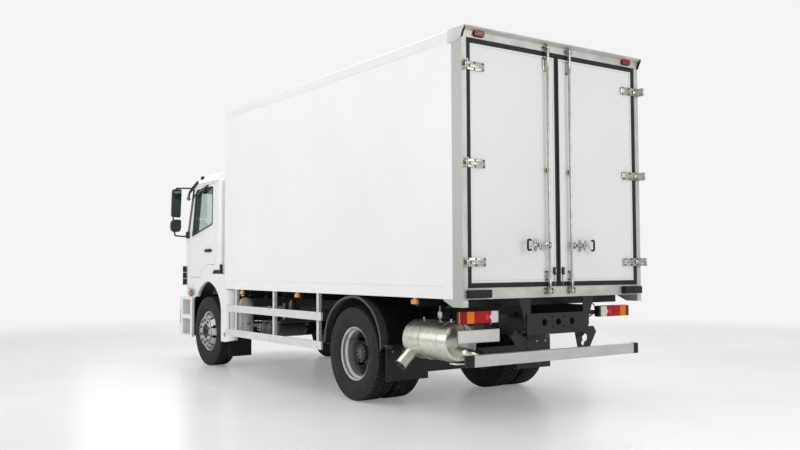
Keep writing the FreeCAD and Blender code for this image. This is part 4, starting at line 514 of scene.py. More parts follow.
def white_enamel(name="sprayed white enamel"):
    # Two-pack body paint: clear sharp gloss over faint orange peel of about 4 mm
    material, tree, body = shader(name, "EEF0F1", 0.3, Coat_Weight=0.6, Coat_Roughness=0.08)
    points = object_points(tree)
    bump(tree, body, noise(tree, points, 180, 1.0), 0.00012, 0.5)
    tinted(tree, body, noise(tree, points, 1.4), "ECEEF0", "F1F2F3")
    return material


def cab_enamel():
    # The same body paint; the screen pillars carry the screen's black baked border between waist and gutter
    material = white_enamel("white cab enamel and black screen border")
    tree, body, paint = opened(material)
    place = place_of(tree)
    up = calc(tree, "MULTIPLY", place["Z"], SCREEN_LEAN)
    lean = calc(tree, "ADD", place["X"], up)
    front = calc(tree, "GREATER_THAN", lean, ahead(7.150 + SCREEN_LEAN * SCREEN_FOOT_Z))
    side = calc(tree, "ABSOLUTE", place["Y"])
    out = calc(tree, "GREATER_THAN", side, 0.985)
    over = calc(tree, "GREATER_THAN", place["Z"], 2.012)
    under = calc(tree, "LESS_THAN", place["Z"], 2.733)
    first = calc(tree, "MULTIPLY", front, out)
    second = calc(tree, "MULTIPLY", over, under)
    border = calc(tree, "MULTIPLY", first, second)
    overlaid(tree, body, border, paint, "131415")
    return material


def laminate_panel():
    # Gel-coated laminate skins: even white, soft gloss, slow waves about 0.5 m apart in the reflection
    material, tree, body = shader("gel-coated laminate", "F1F2F3",
                                  0.34, Coat_Weight=0.25, Coat_Roughness=0.2)
    points = object_points(tree)
    waves = bump(tree, body, noise(tree, points, 2.2, 0.0), 0.0012, 0.5)
    bump(tree, body, noise(tree, points, 420, 1.0), 0.00005, 0.4, waves)
    tinted(tree, body, noise(tree, points, 0.9), "EFF0F1", "F4F4F4")
    return material


def load_floor():
    # Resin floor with bauxite grit of about 3 mm: matt mid grey and sparkling rough
    material, tree, body = shader("gritted resin floor", "74777A", 0.75)
    points = object_points(tree)
    grit = cells(tree, points, 330.0)
    bump(tree, body, grit, 0.0008, 0.8)
    tinted(tree, body, noise(tree, points, 200), "686B6E", "85888A")
    return material


def extruded_aluminium(name, base, dark, roughness, run, metallic=0.9):
    # Satin anodised extrusion: grey with fine die lines along its run, 1 mm apart, and slow cloudy marks
    material, tree, body = shader(name, base, roughness, metallic)
    stretch = {"x": (0.03, 1, 1), "y": (1, 0.03, 1), "z": (1, 1, 0.03)}[run]
    lines = noise(tree, object_points(tree, stretch), 260, 4.0, 0.7)
    cloud = noise(tree, object_points(tree, tuple(0.3 if s < 1 else 1 for s in stretch)), 9, 5.0, 0.65)
    tinted(tree, body, cloud, dark, base, 0.34, 0.62)
    ranged(tree, body, lines, "Roughness", roughness - 0.1, roughness + 0.18)
    bump(tree, body, lines, 0.00012, 0.5)
    return material


def portal_aluminium():
    # The same extrusion, with its die lines upright on the posts and level on the sill and header; its
    # outward side faces carry painted shade, a darker grey
    material, tree, body = shader("anodised aluminium frame", "C4C3BD", 0.42, 0.55)
    height = place_of(tree)["Z"]
    low, high = BOX_LOW_Z + 0.107, BOX_TOP_Z - 0.102
    above = calc(tree, "GREATER_THAN", height, high)
    below = calc(tree, "LESS_THAN", height, low)
    level = calc(tree, "ADD", above, below)
    pair = [(noise(tree, object_points(tree, stretch), 260, 4.0, 0.7),
             noise(tree, object_points(tree, tuple(0.3 if s < 1 else 1 for s in stretch)), 9, 5.0, 0.65))
            for stretch in ((1, 1, 0.03), (1, 0.03, 1))]
    lines = put(tree, "Mix", {0: level, 2: pair[0][0], 3: pair[1][0]}).outputs[0]
    cloud = put(tree, "Mix", {0: level, 2: pair[0][1], 3: pair[1][1]}).outputs[0]
    shade = tinted(tree, body, cloud, "BAB9B3", "D4D3CD", 0.34, 0.62)
    # Painted shade: the frame's outward side faces are made a darker grey
    out = place_of(tree)["Y"]
    side = calc(tree, "GREATER_THAN", calc(tree, "ABSOLUTE", out), SIDE_Y - 0.0005)
    overlaid(tree, body, side, shade, "B2B3AD")
    ranged(tree, body, lines, "Roughness", 0.34, 0.56)
    bump(tree, body, lines, 0.00012, 0.5)
    return material


def marker_lens():
    # Acrylic again: amber along the sides, red on the header behind the box's rear face
    material, tree, body = shader("marker acrylic", "F08A1E", 0.12, Coat_Weight=0.6, IOR=1.49)
    place = place_of(tree)["X"]
    factor = put(tree, "MapRange", {"Value": place}, From_Min=REAR_FACE_X,
                 From_Max=REAR_FACE_X + 0.01).outputs[0]
    tinted(tree, body, factor, "8E0A1C", "EE9238", 0.4, 0.6)
    ribs = prisms(tree, object_points(tree), 150.0)
    bump(tree, body, ribs, 0.0015, 0.5)
    return material


def stainless(name="brushed stainless", base="B4AEA4", roughness=0.28, run="z", tones=("9C968D", "C6C1B8")):
    # Brushed stainless: warm, bright edges, fine hairlines drawn at 1.5 mm so that they show
    material, tree, body = shader(name, base, roughness, 1.0)
    stretch = {"x": (0.04, 1, 1), "y": (1, 0.04, 1), "z": (1, 1, 0.04)}[run]
    lines = noise(tree, object_points(tree, stretch), 600, 2.0, 0.6)
    tinted(tree, body, noise(tree, object_points(tree), 18, 4.0), *tones)
    ranged(tree, body, lines, "Roughness", roughness - 0.1, roughness + 0.16)
    bump(tree, body, lines, 0.00008, 0.4)
    return material


def chassis_paint():
    # Black chassis enamel over steel: half gloss, a grey film of road dust, small runs and pits
    material, tree, body = shader("black chassis enamel", "17181A", 0.42)
    points = object_points(tree)
    dust = noise(tree, points, 6, 6.0, 0.7)
    tinted(tree, body, dust, "0B0C0D", "1D1D1E", 0.42, 0.75)
    ranged(tree, body, dust, "Roughness", 0.34, 0.62)
    bump(tree, body, noise(tree, points, 140, 3.0), 0.0002, 0.5)
    return material


def painted_casting():
    # Sand casting under black paint: 2 mm pebble, dull with lighter worn crests
    material, tree, body = shader("painted sand casting", "1C1D1E", 0.6)
    points = object_points(tree)
    grain = noise(tree, points, 420, 3.0, 0.6)
    bump(tree, body, grain, 0.0006, 0.7)
    tinted(tree, body, noise(tree, points, 14, 5.0, 0.7), "161718", "303132", 0.4, 0.8)
    return material


def wheel_enamel(name="silver wheel enamel", axle_x=None):
    # Silver wheel enamel: fine aluminium flake under clear coat with cloudy grey patches; on the rear wheels
    # the disc, hub and inner twin are darkened, painted shade that is partly the disc's own grey
    material, tree, body = shader(name, "B4B6B8", 0.36, 0.55, Coat_Weight=0.3, Coat_Roughness=0.15)
    points = object_points(tree)
    flake = cells(tree, points, 900.0)
    cloud = tinted(tree, body, noise(tree, points, 7, 5.0, 0.7), "A6A8AA", "D2D4D6", 0.3, 0.6)
    bump(tree, body, flake, 0.00006, 0.25)
    if axle_x is not None:
        shaded_centre(tree, body, cloud, axle_x)
    return material


def shaded_centre(tree, body, cloud, axle_x):
    """Black hub and ring on the front wheels; on the rear wheels, painted shade darkens the disc, hub and
    inner twin inside the bright outer barrel, partly the disc's own grey.
    """
    place = place_of(tree)
    along = calc(tree, "SUBTRACT", place["X"], axle_x)
    up = calc(tree, "SUBTRACT", place["Z"], WHEEL_Z)
    flat = put(tree, "CombineXYZ", {"X": along, "Y": up}).outputs[0]
    radius = put(tree, "VectorMath", {0: flat}, operation="LENGTH").outputs["Value"]
    hub = calc(tree, "LESS_THAN", radius, HUB_RADIUS)
    if axle_x > 0:
        step = put(tree, "Math", {0: radius}, _1=0.2125, _2=0.0035, operation="COMPARE").outputs[0]
        dark = calc(tree, "MAXIMUM", hub, step)
    else:
        # Rear wheels: painted shade on everything inboard of the outer barrel, the recessed disc and the
        # inner twin, partly the disc's own darker grey
        out = calc(tree, "ABSOLUTE", place["Y"])
        inside = calc(tree, "LESS_THAN", out, 1.045)
        dark = calc(tree, "MAXIMUM", hub, inside)
    overlaid(tree, body, dark, cloud, "232426" if axle_x > 0 else "3A3B3D")
    ranged(tree, body, dark, "Metallic", 0.55, 0.1)


def tyre_rubber():
    # Carbon-black tread rubber: dark neutral grey, dull, with a fine mould texture and dust on the crown
    material, tree, body = shader("tyre rubber", "202123", 0.72, Specular_IOR_Level=0.35)
    points = object_points(tree)
    tinted(tree, body, noise(tree, points, 10, 6.0, 0.7), "1A1B1D", "2B2B2C", 0.35, 0.7)
    bump(tree, body, noise(tree, points, 300, 3.0), 0.0003, 0.5)
    return material


def seal_rubber():
    # EPDM profile: near black with a waxy half shine
    material, tree, body = shader("extruded door seal rubber", "0F1011", 0.5, Specular_IOR_Level=0.4)
    points = object_points(tree)
    bump(tree, body, noise(tree, points, 240, 2.0), 0.0002, 0.4)
    ranged(tree, body, noise(tree, points, 12, 4.0), "Roughness", 0.42, 0.62)
    return material


def grained_plastic(name, base, lighter, roughness=0.55):
    # Moulded polypropylene: leather-like grain of about 1.5 mm that breaks up its shine
    material, tree, body = shader(name, base, roughness)
    points = object_points(tree)
    grain = cells(tree, points, 650.0, feature="SMOOTH_F1")
    bump(tree, body, grain, 0.0003, 0.5)
    tinted(tree, body, noise(tree, points, 8, 5.0, 0.7), base, lighter, 0.35, 0.75)
    return material


def split_plastic(name, base, other, axis, level, lighter, out_from=0):
    # Moulded plastic in two tones: the second lies above a level along one axis and far enough out
    material = grained_plastic(name, base, lighter, 0.45)
    tree, body, first = opened(material)
    place = place_of(tree)[axis]
    above = calc(tree, "GREATER_THAN", place, level)
    if out_from:
        side = place_of(tree)["Y"]
        side = calc(tree, "ABSOLUTE", side)
        side = calc(tree, "GREATER_THAN", side, out_from)
        above = calc(tree, "MULTIPLY", above, side)
    overlaid(tree, body, above, first, other)
    return material


def mudguard_plastic():
    # Rolled polypropylene guards, greyer with dust than the rubber flaps below them
    return split_plastic("dusty polypropylene guards", "060707", "424344", "Z", 0.62, "0D0E0E", 1.125)


def service_box():
    # Black battery box on the right; the canister on the left is pale grey-green moulded plastic
    return split_plastic("black and pale moulded boxes", "17181A", "C2C4B9", "Y", 0.0, "202123")


def step_tread():
    # Pressed step insert: pale grey with rows of small dark holes 16 mm apart
    material = grained_plastic("pale grey pressed step", "D6D9D9", "E0E3E2")
    tree, body, pale = opened(material)
    holes = cells(tree, object_points(tree), 62.5, Randomness=0.0)
    open_part = calc(tree, "LESS_THAN", holes, 0.26)
    overlaid(tree, body, open_part, pale, "A4A8A8")
    return material


def safety_glass(name="green safety glass", base="E0EBE7"):
    # Laminated glass: clear with the pale green that iron gives it
    material, tree, body = shader(name, base, 0.0, Transmission_Weight=1.0, IOR=1.5)
    bump(tree, body, noise(tree, object_points(tree), 3.0, 0.0), 0.0002, 0.15)
    return material


def mirror_glass():
    # Silvered glass with a faint cool cast; its base is dimmed to a dark grey-green, a painted dark
    # reflection
    material, tree, body = shader("silvered mirror glass with painted dark reflection", "6E7E78", 0.03, 1.0)
    bump(tree, body, noise(tree, object_points(tree), 4.0, 0.0), 0.0001, 0.1)
    return material


def lens(name, base):
    # Acrylic lens: glossy, see-through and coloured, with moulded prisms 6 mm apart behind its face
    material, tree, body = shader(name, base, 0.12, Transmission_Weight=0.25, IOR=1.49, Coat_Weight=0.5)
    points = object_points(tree)
    ribs = prisms(tree, points, 160.0)
    bump(tree, body, ribs, 0.0015, 0.5)
    return material


def tail_lens():
    # One moulding in clear, red, amber and red, the clear part with a toothed edge; the side wrap is amber
    material, tree, body = shader("multi-colour acrylic lens",
                                  "C4121A", 0.2, Coat_Weight=0.15, Specular_IOR_Level=0.25)
    points = place_of(tree)
    side = calc(tree, "ABSOLUTE", points["Y"])
    middle = (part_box("tail_lamps")[0].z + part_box("tail_lamps")[1].z) / 2
    rise = calc(tree, "SUBTRACT", points["Z"], middle)
    fold = calc(tree, "PINGPONG", rise, 0.062)
    tooth = put(tree, "MapRange", {"Value": fold}, From_Min=0.0,
                From_Max=0.031, To_Min=-0.012, To_Max=0.012).outputs[0]
    near = calc(tree, "LESS_THAN", side, 0.90)
    teeth = calc(tree, "MULTIPLY", tooth, near)
    place = calc(tree, "ADD", side, teeth)
    scaled = put(tree, "MapRange", {"Value": place}, From_Min=0.72, From_Max=1.19).outputs[0]
    ramp = put(tree, "ValToRGB", {"Fac": scaled})
    ramp.color_ramp.interpolation = "CONSTANT"
    bands = ((0.0, "DCD8D6"), (0.225, "B4070F"), (0.66, "F07A05"), (0.845, "8E060E"))
    for index, (start, colour) in enumerate(bands):
        element = ramp.color_ramp.elements[index] if index < 2 else ramp.color_ramp.elements.new(start)
        element.position, element.color = start, linear(colour)
    wrap = calc(tree, "GREATER_THAN", points["X"], ahead(0.131))
    outer = calc(tree, "GREATER_THAN", side, 1.15)
    corner = calc(tree, "MULTIPLY", wrap, outer)
    overlaid(tree, body, corner, ramp.outputs[0], "EE7A08")
    grid = prisms(tree, object_points(tree), 170.0)
    bump(tree, body, grid, 0.0012, 0.4)
    return material


def woven_fabric(name, first, second):
    # Woven wool-blend seat cloth: 3 mm ribs crossing, drawn twice their real size so that they show
    material, tree, body = shader(name, first, 0.9, Sheen_Weight=0.4)
    points = object_points(tree)
    wave = put(tree, "TexWave", {"Vector": points}, Scale=110.0, Distortion=0.4).outputs[1]
    cross = put(tree, "TexWave", {"Vector": points}, Scale=110.0,
                bands_direction="Z", Distortion=0.4).outputs[1]
    weave = calc(tree, "MULTIPLY", wave, cross)
    tinted(tree, body, weave, first, second, 0.0, 0.9)
    bump(tree, body, weave, 0.0008, 0.8)
    return material


def studio_floor():
    # Painted studio floor: white, evenly lit, with the soft shine of floor enamel
    material, tree, body = shader("white floor enamel", "F2F2F3", 0.3, Specular_IOR_Level=0.45)
    points = object_points(tree)
    cloud = noise(tree, points, 0.35, 2.0)
    ranged(tree, body, cloud, "Roughness", 0.2, 0.34)
    tinted(tree, body, cloud, "EDEEEF", "F4F4F5")
    return material


# Each finish: the function that makes it and what that is given
MAKERS = {
    "white enamel": (white_enamel,),
    "laminate": (laminate_panel,),
    "load floor": (load_floor,),
    "cross aluminium": (extruded_aluminium, "anodised aluminium crosspieces", "B9BBBD", "8F9193", 0.36, "y"),
    "portal": (portal_aluminium,),
    "marker lens": (marker_lens,),
    "guard aluminium": (extruded_aluminium, "bright aluminium guard rails", "E6E7E7", "D9DADA", 0.36, "x",
                        0.35),
    "bumper aluminium": (extruded_aluminium, "brushed aluminium bar", "CFD1D1", "C2C4C4", 0.36, "y", 0.5),
    "tank aluminium": (extruded_aluminium, "mill-finish aluminium", "C6C8CA", "A5A7A9", 0.3, "x"),
    "stainless": (stainless,),
    "stainless drum": (stainless, "rolled stainless sheet", "D8D3C9", 0.26, "y", ("CFCBC1", "E6E2D9")),
    "chassis": (chassis_paint,),
    "casting": (painted_casting,),
    "wheel": (wheel_enamel,),
    "front wheel": (wheel_enamel, "silver wheel enamel and black hub", FRONT_AXLE_X),
    "rear wheel": (wheel_enamel, "silver wheel enamel and dark disc", REAR_AXLE_X),
    "nut": (plain, "zinc-plated wheel nuts", "7E8082", 0.42, 0.7),
    "tyre": (tyre_rubber,),
    "seal": (seal_rubber,),
    "black plastic": (grained_plastic, "black polypropylene", "141516", "222325"),
    "grey plastic": (grained_plastic, "grey polypropylene", "77797B", "8C8E90"),
    "dashboard": (grained_plastic, "soft grained facia skin", "2B2D30", "383A3D", 0.7),
    "glass": (safety_glass,),
    "mirror": (mirror_glass,),
    "red lens": (lens, "red acrylic", "B8121A"),
    "amber lens": (lens, "amber acrylic", "F0953A"),
    "clear lens": (lens, "clear acrylic", "E8EBEC"),
    "tail lens": (tail_lens,),
    "seat cloth": (woven_fabric, "ribbed seat cloth", "22262C", "3A4049"),
    "plate white": (plain, "retroreflective white sheet", "DDDEDD", 0.45),
    "bright gear": (stainless, "polished stainless door gear", "C9C5B9", 0.26, "y", ("B4B0A7", "D6D2CA")),
    "dull gear": (stainless, "cast stainless fittings", "8B877C", 0.38),
    "dark bolt": (plain, "blackened bolts", "4A4843", 0.5, 0.6),
    "corner moulding": (plain, "pale grey corner moulding", "D3D4D0", 0.42),
    "sealant": (plain, "grey joint sealant", "B4B5B1", 0.6),
    "window rubber": (plain, "black window rubber", "0B0C0C", 0.45),
    "lamp cover": (safety_glass, "clear polycarbonate lamp cover", "F3F5F5"),
    "cab lining": (grained_plastic, "light grey cab lining", "A3ABA8", "B4BBB8"),
    "brass": (stainless, "turned brass", "B59B5B", 0.35, "z", ("A08A4E", "C6AE70")),
    "mudguard": (mudguard_plastic,),
    "service box": (service_box,),
    "tank enamel": (grained_plastic, "grey tank enamel", "3E4042", "55585A", 0.4),
    "seam line": (plain, "white joint sealant", "D9DADA", 0.5),
    "joint line": (plain, "grey joint line", "8A8C8D", 0.6),
    "gutter grey": (plain, "grey gutter sealant", "C2C4C4", 0.5),
    "smoked visor": (plain, "smoked acrylic visor", "3A4244", 0.15),
    "chrome": (plain, "vacuum-chromed bowl", "E6E7E8", 0.1, 1.0),
    "cab enamel": (cab_enamel,),
    "step tread": (step_tread,),
    "reflector red": (lens, "bright red reflector", "E3141C"),
    "cable": (plain, "black cable sheath", "151617", 0.45),
    "zinc": (stainless, "zinc-plated steel", "A9ABAC", 0.4, "x", ("9C9EA0", "BDBFC0")),
    "floor": (studio_floor,),
}


def finish(name):
    """The material of that short name, made the first time it is asked for."""
    if name not in finish.made:
        maker, *values = MAKERS[name]
        finish.made[name] = maker(*values)
    return finish.made[name]


finish.made = {}


# Settings that a user would change


class TRUCK_PG_colours(bpy.types.PropertyGroup):
    """Colours of the larger pieces."""
    deck_light: FloatVectorProperty(name="Studio white",
                                    description="Colour of the far floor and the backdrop",
                                    subtype="COLOR", size=4, default=linear("F4F4F4"))


class TRUCK_PG_sizes(bpy.types.PropertyGroup):
    """Sizes of what is added to the CAD parts."""
    tread_depth: FloatProperty(name="Tread depth", description="Depth of the grooves round the tyres",
                               subtype="DISTANCE", default=0.012)
    tread_blocks: IntProperty(name="Tread blocks", description="Blocks round the drive tyres", default=54)
    nut_radius: FloatProperty(name="Wheel nut radius", description="From the centre to a corner of the nut",
                              subtype="DISTANCE", default=0.0175)


def sizes():
    """The size settings."""
    return bpy.context.scene.truck_sizes


# Stage, camera and light


def area_light(name, place, target, width, height, watts):
    """A soft box that faces its target."""
    light = bpy.data.lights.new(name, "AREA")
    light.shape, light.size, light.size_y, light.energy = "RECTANGLE", width, height, watts
    lamp = bpy.data.objects.new(name, light)
    bpy.context.scene.collection.objects.link(lamp)
    lamp.location = place
    lamp.rotation_euler = (Vector(target) - Vector(place)).to_track_quat("-Z", "Y").to_euler()
    lamp.visible_camera = lamp.visible_transmission = False
    return lamp


def camera_matrix(place, yaw, pitch, roll):
    """World matrix of a camera that looks along yaw and pitch and is rolled about its view."""
    yaw, pitch, roll = np.radians([yaw, pitch, roll])
    view = np.array([np.cos(yaw) * np.cos(pitch), np.sin(yaw) * np.cos(pitch), np.sin(pitch)])
    right = np.array([np.sin(yaw), -np.cos(yaw), 0.0])
    top = np.cross(right, view)
    across = np.cos(roll) * right + np.sin(roll) * top
    upward = np.cos(roll) * top - np.sin(roll) * right
    matrix = np.eye(4)
    matrix[:3, 0], matrix[:3, 1], matrix[:3, 2], matrix[:3, 3] = across, upward, -view, place
    return Matrix(matrix.tolist())


class TRUCK_OT_stage(bpy.types.Operator):
    """Make the floor, the backdrop, the lights and the camera"""
    bl_idname = "truck.stage"
    bl_label = "Stage"

    def execute(self, context):
        colours = context.scene.truck_colours
        radius = np.array([0.02, 3, 6, 10, 20, 60, 200.0])
        angle = np.linspace(0, 2 * np.pi, 64, endpoint=False)
        disc = np.stack([radius[:, None] * np.cos(angle), radius[:, None] * np.sin(angle),
                         np.zeros((len(radius), 64))], axis=-1)
        points, faces = surface(disc, wrap_columns=True)
        mesh = bpy.data.meshes.new("studio_floor")
        mesh.from_pydata(points.tolist(), [], [face[::-1] for face in faces] + [list(range(64))])
        floor = bpy.data.objects.new("studio_floor", mesh)
        context.scene.collection.objects.link(floor)
        material = finish("floor")
        tree, near = opened(material)[:2]
        glow = put(tree, "Emission", Color=colours.deck_light, Strength=1.0)
        away = put(tree, "VectorMath", {0: put(tree, "TexCoord").outputs["Object"]}, operation="LENGTH")
        far = put(tree, "MapRange", {"Value": away.outputs["Value"]},
                  From_Min=7.0, From_Max=15.0, interpolation_type="SMOOTHSTEP").outputs[0]
        seen = put(tree, "LightPath").outputs["Is Camera Ray"]
        faint = calc(tree, "MAXIMUM", far, 0.22)
        factor = calc(tree, "MULTIPLY", faint, seen)
        mixed = put(tree, "MixShader", {"Fac": factor, 1: near.outputs[0], 2: glow.outputs[0]})
        out = [node for node in tree.nodes if node.type == "OUTPUT_MATERIAL"][0]
        tree.links.new(mixed.outputs[0], out.inputs["Surface"])
        mesh.materials.append(material)

        world = bpy.data.worlds.new("soft studio")
        context.scene.world = world
        world.use_nodes = True
        tree = world.node_tree
        tree.nodes.clear()
        path = put(tree, "LightPath")
        direct = calc(tree, "MAXIMUM", path.outputs["Is Camera Ray"], path.outputs["Is Transmission Ray"])
        shown = put(tree, "Background", Color=colours.deck_light, Strength=1.0)
        fill = put(tree, "Background", Color=linear("F7F7F5"), Strength=0.62)
        both = put(tree, "MixShader", {"Fac": direct, 1: fill.outputs[0], 2: shown.outputs[0]})
        put(tree, "OutputWorld", {"Surface": both.outputs[0]})

        area_light("overhead_softbox", (0.5, 1.0, 8.5), (0, 0, 1.0), 12.0, 8.0, 340)
        area_light("left_softbox", (2.0, 11.0, 4.6), (0, 0, 1.8), 13.0, 5.0, 390)
        area_light("rear_softbox", (-12.0, -2.5, 4.6), (-3.0, 0, 1.8), 7.0, 4.5, 200)
        area_light("front_softbox", (12.0, -3.0, 4.6), (2.0, 0, 1.8), 7.0, 4.5, 150)
        area_light("right_softbox", (0.0, -11.0, 4.6), (0, 0, 1.8), 13.0, 5.0, 250)

        data = bpy.data.cameras.new("photo_camera")
        data.sensor_width, data.lens, data.clip_start, data.clip_end = 36.0, 38.93, 0.1, 400.0
        camera = bpy.data.objects.new("photo_camera", data)
        context.scene.collection.objects.link(camera)
        camera.matrix_world = camera_matrix((ahead(-6.284), 6.340, 1.497), -34.87, 2.72, -0.26)
        context.scene.camera = camera
        context.scene.view_settings.view_transform = "Standard"
        return {"FINISHED"}


# Finishes on the CAD parts

NODE_FINISHES = {
    "chassis": ("chassis_frame", "box_bearers"),
    "tank enamel": ("air_tanks",),
    "casting": ("rear_axle", "front_axle", "leaf_springs", "driveline", "knuckle_left", "knuckle_right",
                "track_rod"),
    "front wheel": ("wheel_front_left", "wheel_front_right"),
    "rear wheel": ("wheels_rear_left", "wheels_rear_right"),
    "tyre": ("tyre_front_left", "tyre_front_right", "tyres_rear_left", "tyres_rear_right"),
    "load floor": ("box_floor",),
    "laminate": ("box_sides", "box_front_wall", "box_roof", "cargo_door_left", "cargo_door_right"),
    "white enamel": ("box_edge_trim", "cab_door_left", "cab_door_right", "cab_skirts", "front_bumper",
                     "cooling_unit"),
    "cab enamel": ("cab_shell",),
    "portal": ("rear_portal",),
    "stainless": ("portal_fittings", "lock_gear_left", "lock_gear_right"),
    "stainless drum": ("silencer",),
    "seal": ("cargo_seal_left", "cargo_seal_right", "rear_buffers"),
    "glass": ("cab_glass_left", "cab_glass_right", "windscreen"),
    "tank aluminium": ("fuel_tank",),
    "service box": ("side_boxes",),
    "guard aluminium": ("side_guards",),
    "bumper aluminium": ("underrun_guard",),
    "tail lens": ("tail_lamps",),
    "marker lens": ("marker_lamps",),
    "black plastic": ("grille", "mirrors"),
    "mudguard": ("mudguards",),
    "step tread": ("steps",),
    "clear lens": ("headlamps",),
    "dashboard": ("dashboard",),
    "seat cloth": ("seats",),
}


def smooth_group():
    """Geometry group that joins a CAD mesh's loose triangles and shades gentle edges smooth."""
    group = bpy.data.node_groups.new("joined and smooth", "GeometryNodeTree")
    group.interface.new_socket("Geometry", in_out="INPUT", socket_type="NodeSocketGeometry")
    group.interface.new_socket("Geometry", in_out="OUTPUT", socket_type="NodeSocketGeometry")
    nodes, links = group.nodes, group.links
    start, end = nodes.new("NodeGroupInput"), nodes.new("NodeGroupOutput")
    merge = nodes.new("GeometryNodeMergeByDistance")
    merge.inputs["Distance"].default_value = 0.00001
    faces = nodes.new("GeometryNodeSetShadeSmooth")
    edges = nodes.new("GeometryNodeSetShadeSmooth")
    edges.domain = "EDGE"
    edges.inputs["Shade Smooth"].default_value = False
    angle = nodes.new("GeometryNodeInputMeshEdgeAngle")
    sharp = nodes.new("FunctionNodeCompare")
    sharp.data_type, sharp.operation = "FLOAT", "GREATER_THAN"
    sharp.inputs["B"].default_value = float(np.radians(28))
    links.new(start.outputs[0], merge.inputs["Geometry"])
    links.new(merge.outputs[0], faces.inputs["Geometry"])
    links.new(faces.outputs[0], edges.inputs["Geometry"])
    links.new(angle.outputs["Unsigned Angle"], sharp.inputs["A"])
    links.new(sharp.outputs[0], edges.inputs["Selection"])
    links.new(edges.outputs[0], end.inputs[0])
    return group


class TRUCK_OT_finish_parts(bpy.types.Operator):
    """Give every CAD part its finish and smooth shading"""
    bl_idname = "truck.finish_parts"
    bl_label = "Part Finishes"

    def execute(self, context):
        group = smooth_group()
        for short, names in NODE_FINISHES.items():
            for name in names:
                part = NODES[name]
                for place in part.material_slots:
                    place.material = finish(short)
                if not part.material_slots:
                    part.data.materials.append(finish(short))
                part.modifiers.new("joined and smooth", "NODES").node_group = group
        return {"FINISHED"}


# Tyres and wheels

# Half of a tyre's section from bead to shoulder: radius, distance out from its middle, raised by the band
SIDEWALL = [(0.2863, 0.1000, 0), (0.2990, 0.1010, 0), (0.3000, 0.1145, 0),
            (0.3040, 0.1205, 0), (0.3120, 0.1245, 0), (0.3165, 0.1232, 0),
            (0.3200, 0.1282, 0), (0.3360, 0.1345, 0), (0.3500, 0.1390, 0),
            (0.3640, 0.1428, 0), (0.3655, 0.1446, 0), (0.3690, 0.1452, 0), (0.3705, 0.1440, 0),
            (0.3840, 0.1468, 0), (0.3852, 0.1470, 1), (0.3980, 0.1474, 1), (0.4118, 0.1470, 1),
            (0.4130, 0.1468, 0), (0.4350, 0.1455, 0), (0.4500, 0.1435, 0), (0.4515, 0.1452, 0),
            (0.4555, 0.1448, 0), (0.4570, 0.1422, 0), (0.4750, 0.1388, 0), (0.4880, 0.1352, 0)]
SHOULDER = [(0.4900, 0.1345, 0.0), (0.4980, 0.1325, 0.35), (0.5060, 0.1298, 0.7), (0.5140, 0.1268, 1.0),
            (0.5185, 0.1190, 1.0)]


def tread_columns(grooves, width):
    """Points across the tread: distance out, whether it is a groove's bottom, and its row of blocks."""
    edges = sorted(grooves, reverse=True)
    columns, start = [], TREAD_HALF_WIDTH
    for row, groove in enumerate(edges + [None]):
        end = -TREAD_HALF_WIDTH if groove is None else groove + width / 2
        columns += [(out, 0.0, row) for out in np.linspace(start, end, 4)]
        if groove is not None:
            columns += [(groove + width * 0.36, 1.0, -1), (groove - width * 0.36, 1.0, -1)]
            start = groove - width / 2
    return columns


def tyre_shape(x, y, blocks, grooves, cut, wander):
    """A tyre with grooves round it, blocks cut across its rows and raised rings on its walls."""
    depth = sizes().tread_depth
    pitch = np.array([0.0, 0.035, 0.15, 0.185, 0.5, 0.535, 0.65, 0.685])
    phase = np.tile(pitch, blocks)
    angle = (np.repeat(np.arange(blocks), len(pitch)) + phase) * 2 * np.pi / blocks
    in_first = np.isin(phase, pitch[1:3]).astype(float)
    in_second = np.isin(phase, pitch[5:7]).astype(float)
    zigzag = np.abs(phase - 0.5) * 4 - 1
    bars = (np.abs(np.sin(angle)) > 0.45) & (np.arange(len(angle)) % 4 < 2)
    columns = []
    for radius, out, band in SIDEWALL:
        columns.append((radius + 0 * angle, out + 0.0011 * band * bars))
    for radius, out, share in SHOULDER:
        columns.append((radius - depth * 0.8 * cut * share * in_first, out + 0 * angle))
    inner = []
    for out, deep, row in tread_columns(grooves, 0.012):
        crown = TREAD_RADIUS - 0.0022 * (out / TREAD_HALF_WIDTH) ** 2
        outermost = row in (0, len(grooves))
        across = cut * (in_first if outermost or row % 2 == 0 else in_second)
        if not outermost:
            across = across * 0.75
        fall = np.full(len(angle), 1.0) if deep else across
        shift = wander * zigzag * (1.0 if abs(out) < 0.1 else 0.0)
        inner.append((crown - depth * fall, out + shift))
    left = [(r, out) for r, out in columns]
    right = [(r, -out) for r, out in reversed(columns)]
    every = left + inner + right
    radius = np.stack([r for r, out in every], axis=1)
    out = np.stack([o for r, o in every], axis=1)
    points = np.stack([x + radius * np.cos(angle)[:, None], y + out,
                       WHEEL_Z + radius * np.sin(angle)[:, None]], axis=-1)
    return surface(points[::-1], wrap_rows=True, wrap_columns=True)


def round_axle(x, y, radius, count, start=0.0):
    """Centres evenly spaced on a circle about an axle."""
    angle = start + np.arange(count) * 2 * np.pi / count
    return np.stack([x + radius * np.cos(angle), np.full(count, y), WHEEL_Z + radius * np.sin(angle)],
                    axis=1)


def wheel_nuts(x, y, side):
    """Ten nuts with their washers and the ends of their studs."""
    radius = sizes().nut_radius
    turn = aimed((0, side, 0))
    nut = hex_bolt(radius, 0.024)
    stud = revolved([(0, 0.02), (0.010, 0.02), (0.010, 0.036), (0.0085, 0.0385), (0, 0.0385)],
                    (0, 0, 0), UPRIGHT, 12)
    return placed(joined([nut, stud]), round_axle(x, y, NUT_CIRCLE, 10, np.pi / 10), turn)


